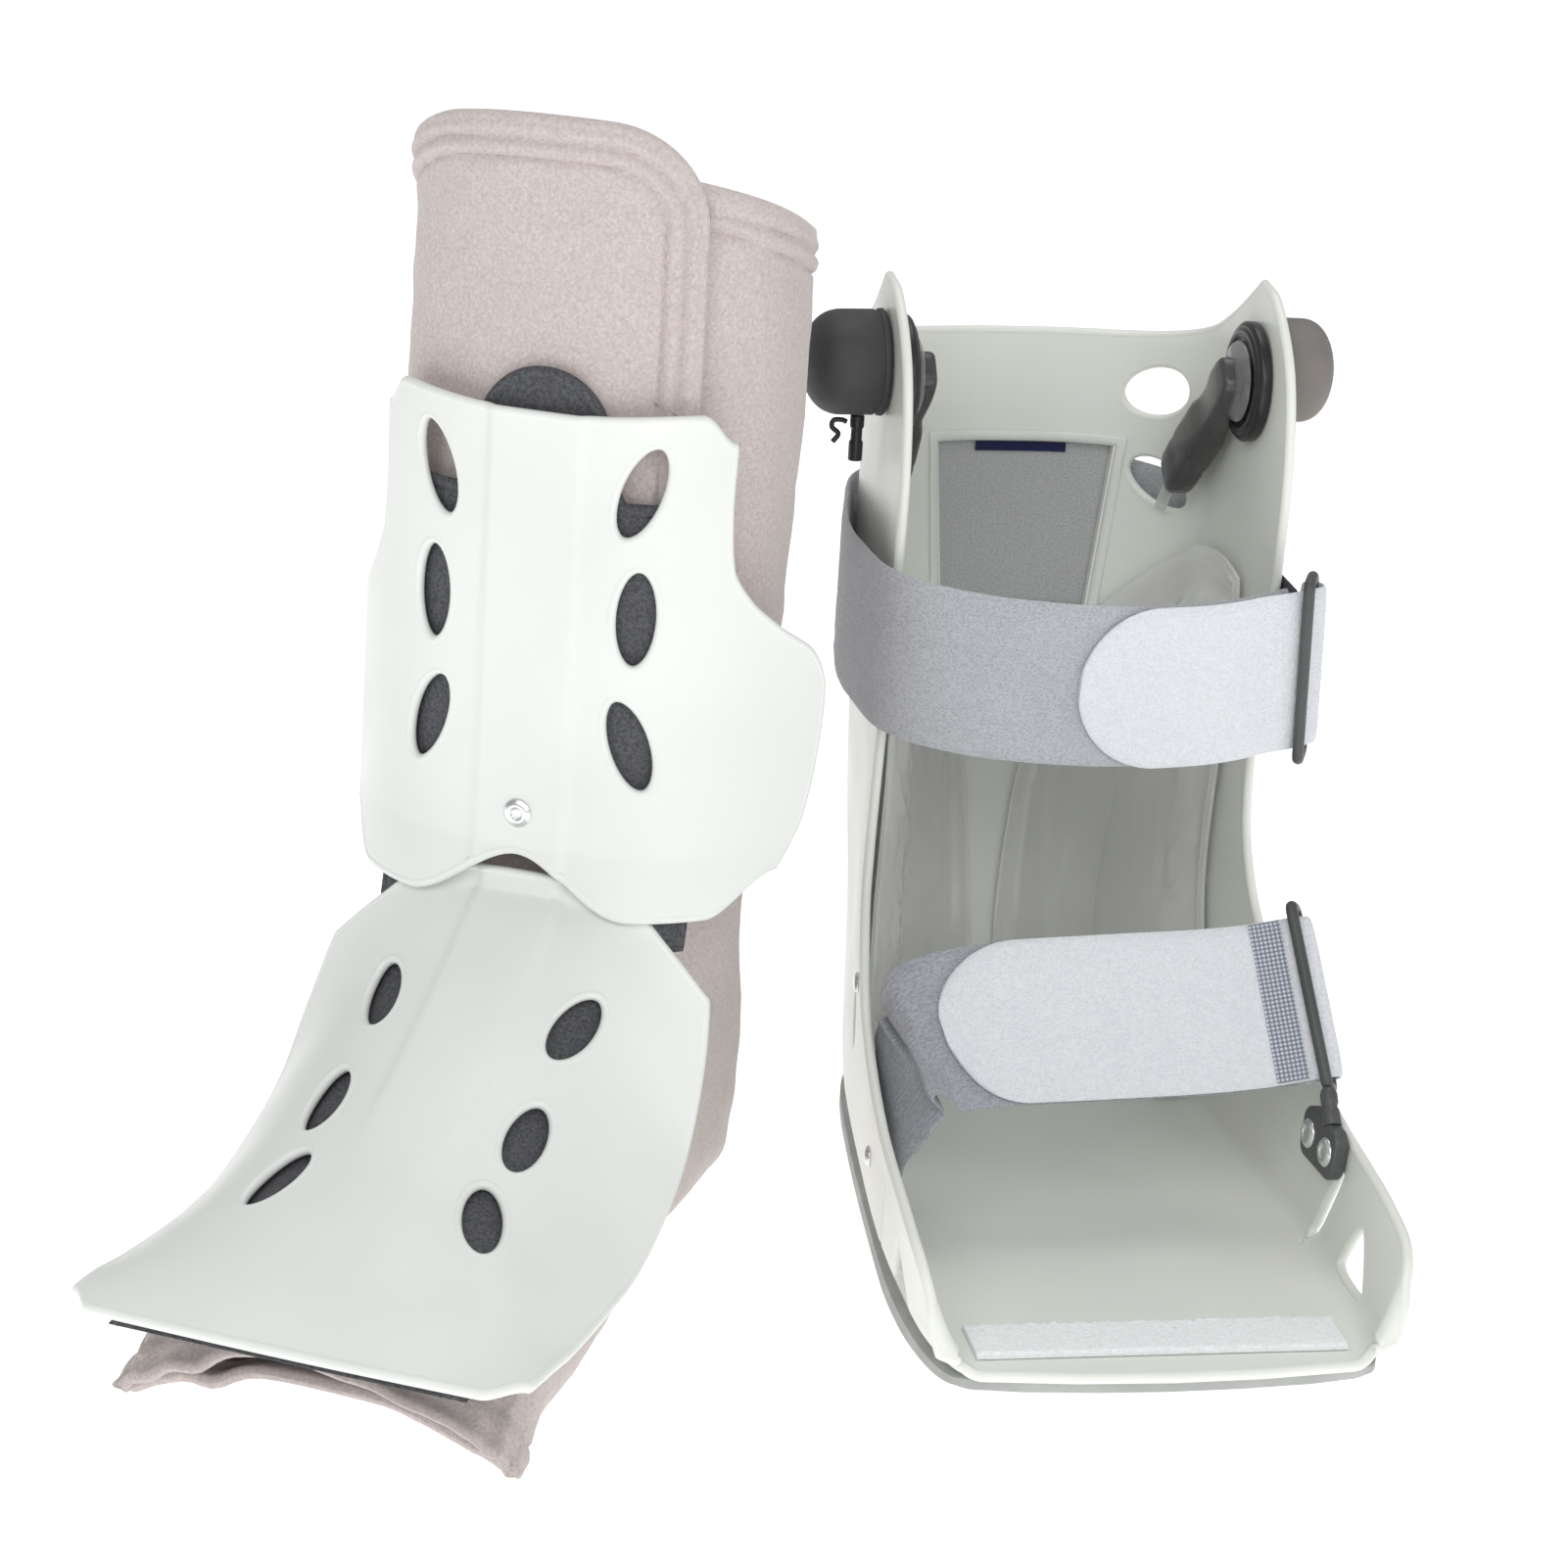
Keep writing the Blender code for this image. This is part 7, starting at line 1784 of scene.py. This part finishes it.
def make_panel_looks(materials):
    """Both front panels and the screw."""
    cutters, lips = [], []
    for pair in TIBIA_OVALS:
        for side in (-1.0, 1.0):
            spot = tibia_surface(side * OVAL_SPREAD, pair.place, 0.5 * PANEL_WALL)
            axis = spot - tibia_surface(side * OVAL_SPREAD, pair.place, 0.0)
            outline = oval(OVAL_HALF_WIDTH + 0.0004, TIBIA_OVAL_HALF_LENGTH + 0.0004, -side * pair.lean, 40)
            cutters.append(prism_mesh("hole", outline, spot, axis, (0, 0, 1), 3.0 * PANEL_WALL))
            lips.append((outline, spot, axis, (0, 0, 1)))
    mesh = panel_mesh("panel_tibia", tibia_sheet, cutters, lips)
    piece("panel_tibia", mesh, materials["panel"], LINER, "panel_plastic", "tibia_panel", sharp=40.0)
    cutters, lips = [], []
    for pair in FOOT_OVALS:
        for side in (-1.0, 1.0):
            share = side * OVAL_SPREAD / FOOT_PANEL_HALF
            spot = foot_surface(pair.place, share, 0.5 * PANEL_WALL)
            axis = spot - foot_surface(pair.place, share, 0.0)
            up = slope_at(pair.place)
            outline = oval(OVAL_HALF_WIDTH + 0.0004, FOOT_OVAL_HALF_LENGTH + 0.0004, -side * pair.lean, 40)
            cutters.append(prism_mesh("hole", outline, spot, axis, up, 3.0 * PANEL_WALL))
            lips.append((outline, spot, axis, up))
    mesh = panel_mesh("panel_foot", foot_sheet, cutters, lips)
    piece("panel_foot", mesh, materials["panel"], LINER, "panel_plastic", "foot_panel", sharp=40.0)
    seat = tibia_surface(0.0, SCREW_Z, 0.0) - Vector((0.0, 0.00005, 0.0))
    rise = SCREW_DEPTH
    profile = [(0.0, 0.45 * rise), (0.38 * SCREW_RADIUS, 0.45 * rise), (0.44 * SCREW_RADIUS, rise),
               (0.7 * SCREW_RADIUS, 0.95 * rise), (SCREW_RADIUS, 0.3 * rise), (SCREW_RADIUS, 0.0), (0.0, 0.0)]
    piece("screw", turned_mesh("screw", rounded(profile, 0.0003), seat, (0, -1, 0), 40), materials["rivet"], LINER,
          "rivet_metal", "tibia_screw")


def dense(points, spacing=0.0005, closed=False):
    """Points along a line of points, no further apart than the spacing."""
    result = []
    ends = points[1:] + points[:1] if closed else points[1:]
    for here, there in zip(points, ends):
        count = max(int((there - here).length / spacing), 1)
        result += [here.lerp(there, t / count) for t in range(count)]
    return result + ([] if closed else [points[-1]])


def distances(grid, border):
    """Distance of each point of a grid from a line of points."""
    tree = KDTree(len(border))
    for i, point in enumerate(border):
        tree.insert(point, i)
    tree.balance()
    return [[tree.find(p)[2] for p in row] for row in grid]


def dip(distance, spot, width):
    """Share of a groove or ridge at a distance."""
    return math.exp(-((distance - spot) / width) ** 2)


def outward_normals(grid, middles, closed=False):
    """Normals of a grid that point away from the middle of each row."""
    normals = finite_normals(grid, closed)
    i, j = len(grid) // 2, len(grid[0]) // 2
    sign = 1.0 if normals[i][j].dot(grid[i][j] - middles[i]) > 0.0 else -1.0
    return [[n * sign for n in row] for row in normals]


def soft_slab(name, face, normals, thickness, lift):
    """Slab under a face with round edges; lift raises the face by the distance from its edge."""
    border = dense(border_of(face), closed=True)
    away = distances(face, border)
    outer, inner = [], []
    for points, ns, ds in zip(face, normals, away):
        outer_row, inner_row = [], []
        for p, n, d in zip(points, ns, ds):
            share = min(d / (0.5 * thickness), 1.0)
            tuck = 0.5 * thickness * (1.0 - math.sqrt(max(1.0 - (1.0 - share) ** 2, 0.003)))
            outer_row.append(p + n * (lift(d) * share - tuck))
            inner_row.append(p - n * (thickness - tuck))
        outer.append(outer_row)
        inner.append(inner_row)
    return slab_mesh(name, outer, inner)


def make_pad_looks(material):
    """Foam pads under both panels, with an embossed line round the tongue."""
    depth = PANEL_WALL + PAD_GAP
    face = []
    for up in steps(0.0, 1.0, 110):
        row = []
        for share in spread(111, 1.5):
            x = share * TIBIA_PAD_HALF_WIDTH
            tongue = TIBIA_TONGUE_RADIUS ** 2 - min(abs(x), TIBIA_TONGUE_RADIUS) ** 2
            rise = TIBIA_TONGUE_Z - TIBIA_TONGUE_RADIUS - TIBIA_PAD_TOP_Z
            high = TIBIA_PAD_TOP_Z + math.sqrt(tongue) + rise * (1.0 - ease(0.95, 1.25, abs(x) / TIBIA_TONGUE_RADIUS))
            ear = ease(0.62, 0.90, abs(share))
            low = TIBIA_PAD_MIDDLE_Z + (TIBIA_PAD_LOWER_Z - TIBIA_PAD_MIDDLE_Z) * ear
            row.append(tibia_surface(x, low + (high - low) * (1.0 - (1.0 - up) ** 1.4), depth))
        face.append(row)
    behind = [tibia_surface(0.0, row[0].z, 0.05) for row in face]
    normals = outward_normals(face, behind)
    mesh = soft_slab("pad_tibia", face, normals, PAD_THICKNESS, lambda d: 0.0003 * (1.0 - ease(0.003, 0.005, d))
                     - 0.0006 * dip(d, 0.0036, 0.0006))
    piece("pad_tibia", mesh, material, LINER, "pad_foam", "tibia_pad")
    sheet = foot_sheet(depth, 90, 101)
    face = [row[14:-14] for row in sheet[:-7]]
    normals = outward_normals(face, [liner_middle(2.0)] * len(face))
    mesh = soft_slab("pad_foot", face, normals, PAD_THICKNESS, lambda d: 0.0)
    piece("pad_foot", mesh, material, LINER, "pad_foam", "foot_pad")


def felt_swell(point):
    """Slow swells and small puckers of padded felt."""
    swell = 0.0011 * noise.noise(point * 38.0) + 0.0005 * noise.noise(point * 95.0 + Vector((3.0, 1.0, 2.0)))
    return swell


def hem(distance):
    """Bound edge: two piped ridges and the groove of its seam."""
    band = 0.0007 * (1.0 - ease(HEM_WIDTH - 0.0010, HEM_WIDTH, distance))
    ridges = 0.0007 * dip(distance, 0.36 * HEM_WIDTH, 0.0013) + 0.0006 * dip(distance, 0.78 * HEM_WIDTH, 0.0011)
    grooves = 0.0009 * dip(distance, 0.57 * HEM_WIDTH, 0.0007) + 0.0010 * dip(distance, HEM_WIDTH + 0.0004, 0.0007)
    return band + ridges - grooves


def sagged(point, place):
    """Open end of the toe: the upper felt sags onto the lower one, and both corners droop."""
    share = 1.0 - ease(0.0, 1.25, place)
    across = point.x / LINER_HALF_WIDTH
    floor_z = LINER_SECTIONS[0].base_z * LINER_HEIGHT
    open_share = 0.30 + 0.16 * math.exp(-((across + 0.30) / 0.28) ** 2)
    rise = point.z - floor_z
    z = floor_z + rise * (1.0 - share * (1.0 - open_share)) + 0.004 * share * (1.0 - 1.6 * across * across)
    y = point.y + share * (0.012 * (1.0 - across * across) - 0.004)
    return Vector((point.x * (1.0 + 0.03 * share), y, max(z, 0.0005)))


def make_liner_look(material):
    """Felt bootie with its open toe, heel and bound top."""
    stack = PANEL_WALL + PAD_GAP + PAD_THICKNESS
    under_foot = tree_of_grid(foot_sheet(stack, 60, 51))
    under_tibia = tree_of_grid(tibia_sheet(stack + GAP + FLAP_THICKNESS, 60, 51))
    around = 108
    top = len(LINER_SECTIONS) - 1.0
    places = steps(0.0, 1.0, 26)[:-1] + steps(1.0, top - 0.9, 84)[:-1] + steps(top - 0.9, top, 34)
    grid = []
    middles = []
    for place in places:
        middle = liner_middle(place)
        grid.append([sagged(liner_point(place, 2.0 * math.pi * (i + 0.5) / around), place) for i in range(around)])
        middles.append(middle)
    normals = outward_normals(grid, middles, closed=True)
    top_edge = dense(grid[-1], closed=True)
    toe_edge = dense(grid[0], closed=True)
    from_top = distances(grid, top_edge)
    from_toe = distances(grid, toe_edge)
    outer, inner = [], []
    for place, row, ns, tops, toes, middle in zip(places, grid, normals, from_top, from_toe, middles):
        outer_row, inner_row = [], []
        ankle = math.exp(-((place - 7.6) / 2.0) ** 2)
        for i, (p, n, d, toe) in enumerate(zip(row, ns, tops, toes)):
            angle = 2.0 * math.pi * (i + 0.5) / around
            edge = min(d, toe)
            calm = ease(0.0, 0.004, edge)
            wrinkle = 0.0022 * ankle * noise.noise(Vector((p.x * 30.0, p.y * 26.0 + p.z * 70.0, 5.0)))
            fold = 0.0030 * math.exp(-(toe / 0.030) ** 2) * noise.noise(Vector((4.2 * math.cos(angle),
                                                                              4.2 * math.sin(angle), 9.0 + toe * 12.0)))
            seam = -0.0009 * dip(toe, 0.011, 0.0008) + 0.0005 * dip(toe, 0.007, 0.0016)
            lift = (felt_swell(p) + wrinkle) * calm + fold + hem(d) + seam
            share = min(edge / (0.5 * LINER_WALL), 1.0)
            tuck = 0.5 * LINER_WALL * (1.0 - math.sqrt(max(1.0 - (1.0 - share) ** 2, 0.003)))
            spot = p + n * min(lift, 0.0035)
            spot.z = max(spot.z, 0.0002)
            spot = pressed(spot, middle, (under_foot, under_tibia), 1.2 * PAD_GAP)
            outer_row.append(spot - n * tuck)
            inner_row.append(spot - n * (LINER_WALL - tuck))
        outer.append(outer_row)
        inner.append(inner_row)
    rings = outer + inner[::-1]
    points = [p for ring in rings for p in ring]
    faces = [tuple(corner % len(points) for corner in face)
             for face in grid_faces(len(rings) + 1, around, closed=True)]
    mesh = mesh_from("bootie", points, faces)
    piece("bootie", mesh, material, LINER, "liner_felt", "liner", sharp=70.0)


def make_flap_look(material):
    """Front flap with its double piped hem."""
    stack = PANEL_WALL + PAD_GAP + PAD_THICKNESS
    under = tree_of_grid(tibia_sheet(stack, 60, 51))
    left_angle = math.radians(196.0)
    top_place = len(LINER_SECTIONS) - 1.0
    low_place = flap_row(FLAP_LOWER_Z)
    ups = [1.0 - (1.0 - t) ** 1.35 for t in steps(0.0, 1.0, 150)]
    shares = [1.0 - (1.0 - t) ** 1.35 for t in steps(0.0, 1.0, 150)]
    far, near = [], []
    for up in ups:
        right = edge_angle(low_place + (top_place - low_place) * up)
        far_row, near_row = [], []
        for t in shares:
            angle = left_angle + (right - left_angle) * t
            corner = max(t - 0.80, 0.0) / 0.20
            drop = 1.0 - math.sqrt(max(1.0 - corner * corner, 0.0))
            rise = FLAP_RISE / (0.15 * LINER_HEIGHT) * ease(0.0, 0.5, t) + 0.06
            high = top_place + rise - FLAP_CORNER / (0.15 * LINER_HEIGHT) * drop
            place = low_place + (high - low_place) * up
            point = liner_point(place, angle)
            normal = surface_normal(liner_point, place, angle)
            middle = liner_middle(place)
            normal = normal if normal.dot(point - middle) > 0.0 else -normal
            skin = max(0.15 + 0.85 * ease(0.0, 0.3, t), 0.15) * FLAP_THICKNESS
            spot = point + normal * (3.0 * GAP + skin)
            spot = pressed(spot, middle, (under,), PAD_GAP)
            far_row.append(spot)
            near_row.append(spot - normal * skin)
        far.append(far_row)
        near.append(near_row)
    normals = outward_normals(far, [liner_middle(low_place + (top_place - low_place) * up) for up in ups])
    border = dense(far[-1] + [row[-1] for row in far[::-1]])
    away = distances(far, border)
    outer, inner = [], []
    for points, backs, ns, ds in zip(far, near, normals, away):
        outer_row, inner_row = [], []
        for p, b, n, d in zip(points, backs, ns, ds):
            thick = (p - b).length
            share = min(d / (0.5 * thick), 1.0)
            tuck = 0.5 * thick * (1.0 - math.sqrt(max(1.0 - (1.0 - share) ** 2, 0.003)))
            lift = (hem(d) + felt_swell(p) * ease(0.0, 0.02, d)) * ease(0.0, 0.5, share)
            spot = pressed(p + n * lift, b - n * 0.02, (under,), 0.5 * PAD_GAP)
            outer_row.append(spot - n * tuck)
            inner_row.append(b + n * tuck)
        outer.append(outer_row)
        inner.append(inner_row)
    mesh = slab_mesh("flap", outer, inner)
    piece("flap", mesh, material, LINER, "liner_felt", "liner_flap", sharp=70.0)


# Camera, light and floor

def make_camera():
    """Camera at the photograph's viewing angle."""
    side = Vector((math.cos(CAMERA_TURN), math.sin(CAMERA_TURN), 0.0))
    ahead = Vector((-math.sin(CAMERA_TURN) * math.cos(CAMERA_TILT), math.cos(CAMERA_TURN) * math.cos(CAMERA_TILT),
                    -math.sin(CAMERA_TILT)))
    up = side.cross(ahead)
    right = side * math.cos(CAMERA_ROLL) + up * math.sin(CAMERA_ROLL)
    rise = up * math.cos(CAMERA_ROLL) - side * math.sin(CAMERA_ROLL)
    data = bpy.data.cameras.new("camera")
    data.lens = CAMERA_LENS
    data.sensor_width = 36.0
    camera = bpy.data.objects.new("camera", data)
    matrix = Matrix((right, rise, -ahead)).transposed().to_4x4()
    matrix.translation = SHELL @ Vector(CAMERA_SPOT)
    camera.matrix_world = matrix
    bpy.context.scene.collection.objects.link(camera)
    bpy.context.scene.camera = camera


def make_light(name, spot, size, power):
    """Soft area light aimed at the boot."""
    data = bpy.data.lights.new(name, "AREA")
    data.shape = "DISK"
    data.size = size
    data.energy = power
    light = bpy.data.objects.new(name, data)
    light.location = spot
    light.rotation_euler = (Vector(spot) - Vector((0.0, 0.0, 0.13))).to_track_quat("Z", "Y").to_euler()
    bpy.context.scene.collection.objects.link(light)


def make_stage():
    """Plain pale floor and a white room."""
    size = 6.0
    mesh = mesh_from("floor", [Vector((-size, -size, -0.0004)), Vector((size, -size, -0.0004)),
                               Vector((size, size, -0.0004)), Vector((-size, size, -0.0004))], [(0, 1, 2, 3)],
                     outward=False)
    look = Look("floor_white", (0.92, 0.92, 0.92, 1.0), 0.9, Emission_Color=(1.0, 1.0, 1.0, 1.0),
                Emission_Strength=0.66)
    mesh.materials.append(look.material)
    floor = bpy.data.objects.new("floor", mesh)
    bpy.context.scene.collection.objects.link(floor)
    world = bpy.data.worlds.new("white_room")
    world.use_nodes = True
    background = world.node_tree.nodes["Background"]
    background.inputs["Color"].default_value = (1.0, 1.0, 1.0, 1.0)
    background.inputs["Strength"].default_value = 0.43
    bpy.context.scene.world = world
    bpy.context.scene.view_settings.view_transform = "Standard"
    make_light("key", (-1.0, -1.3, 1.5), 1.1, 8.0)
    make_light("fill", (1.5, -0.9, 0.9), 1.2, 2.5)
    make_light("front", (0.05, -1.5, 0.85), 0.9, 6.5)
    make_light("top", (0.1, 0.5, 1.7), 1.2, 7.0)


low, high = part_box("rear_shell")
SHELL = Matrix.Translation((0.5 * (low.x + high.x), high.y - SHELL_BACK_Y, 0.0))
LINER = SHELL @ Matrix.Translation((*LINER_SPOT, 0.0)) @ Matrix.Rotation(LINER_TURN, 4, "Z")
make_camera()
make_stage()

looks = {
    "shell": plastic("shell_plastic", paint(231, 233, 227), paint(225, 228, 221), 0.34),
    "sole": rubber_look("sole_rubber", paint(176, 178, 176), paint(160, 162, 160)),
    "bulb_left": rubber_look("bulb_charcoal", paint(58, 58, 59), paint(68, 68, 69)),
    "bulb_right": rubber_look("bulb_grey", paint(112, 107, 104), paint(124, 119, 115)),
    "black": plastic("valve_black", paint(24, 24, 25), paint(34, 34, 36), 0.34),
    "nozzle": plastic("nozzle_black", paint(58, 58, 58), paint(70, 70, 70), 0.28),
    "dome": film_look("clear_dome", paint(150, 152, 152), 0.30, 0.12),
    "film": film_look("clear_vinyl", paint(215, 218, 215), 0.45, 0.15),
    "cell": film_look("air_cell_vinyl", paint(240, 241, 239), 0.50, 0.16),
    "frame": plastic("window_frame_plastic", paint(228, 230, 226), paint(220, 222, 218), 0.35),
    "fabric": weave_look("window_fabric", paint(212, 213, 213), paint(160, 162, 163), 700.0),
    "navy": weave_look("navy_stripe", paint(36, 44, 92), paint(22, 28, 66), 1500.0),
    "loop": strap_look("strap_loop", paint(186, 188, 193), paint(140, 143, 149), 0),
    "loop_ribbed": strap_look("strap_loop_ribbed", paint(176, 179, 186), paint(118, 121, 129), 160.0),
    "tab": strap_look("strap_tab", paint(222, 224, 228), paint(200, 203, 209), 0),
    "webbing": weave_look("ring_webbing", paint(96, 97, 100), paint(52, 53, 56), 700.0),
    "stitch": stitch_look(),
    "ring": plastic("ring_plastic", paint(66, 68, 68), paint(80, 82, 82), 0.42),
    "rivet": Look("rivet_metal", paint(222, 224, 224), 0.28, 1.0).material,
    "white": strap_look("hook_tape", paint(246, 247, 248), paint(226, 228, 231), 0),
    "felt": felt_look(),
    "panel": plastic("panel_plastic", paint(229, 232, 228), paint(223, 226, 222), 0.34),
    "pad": foam_look(),
}

SHELL_GRID = shell_rows(150)
SHELL_TREE = tree_of_mesh(slab_mesh("wall", SHELL_GRID, wall_of(SHELL_GRID, SHELL_WALL,
                                                                Vector((0.0, LEG_MIDDLE_Y, 0.15)))[0]))
make_shell_look(looks["shell"])
make_sole_look(looks["sole"])
make_window_look(looks)
make_pump_looks(looks)
make_valve_looks(looks)
make_cell_looks(looks["cell"])
make_upper_looks(looks)
make_lower_looks(looks)
make_trim_looks(looks)
make_panel_looks(looks)
make_pad_looks(looks["pad"])
make_liner_look(looks["felt"])
make_flap_look(looks["felt"])
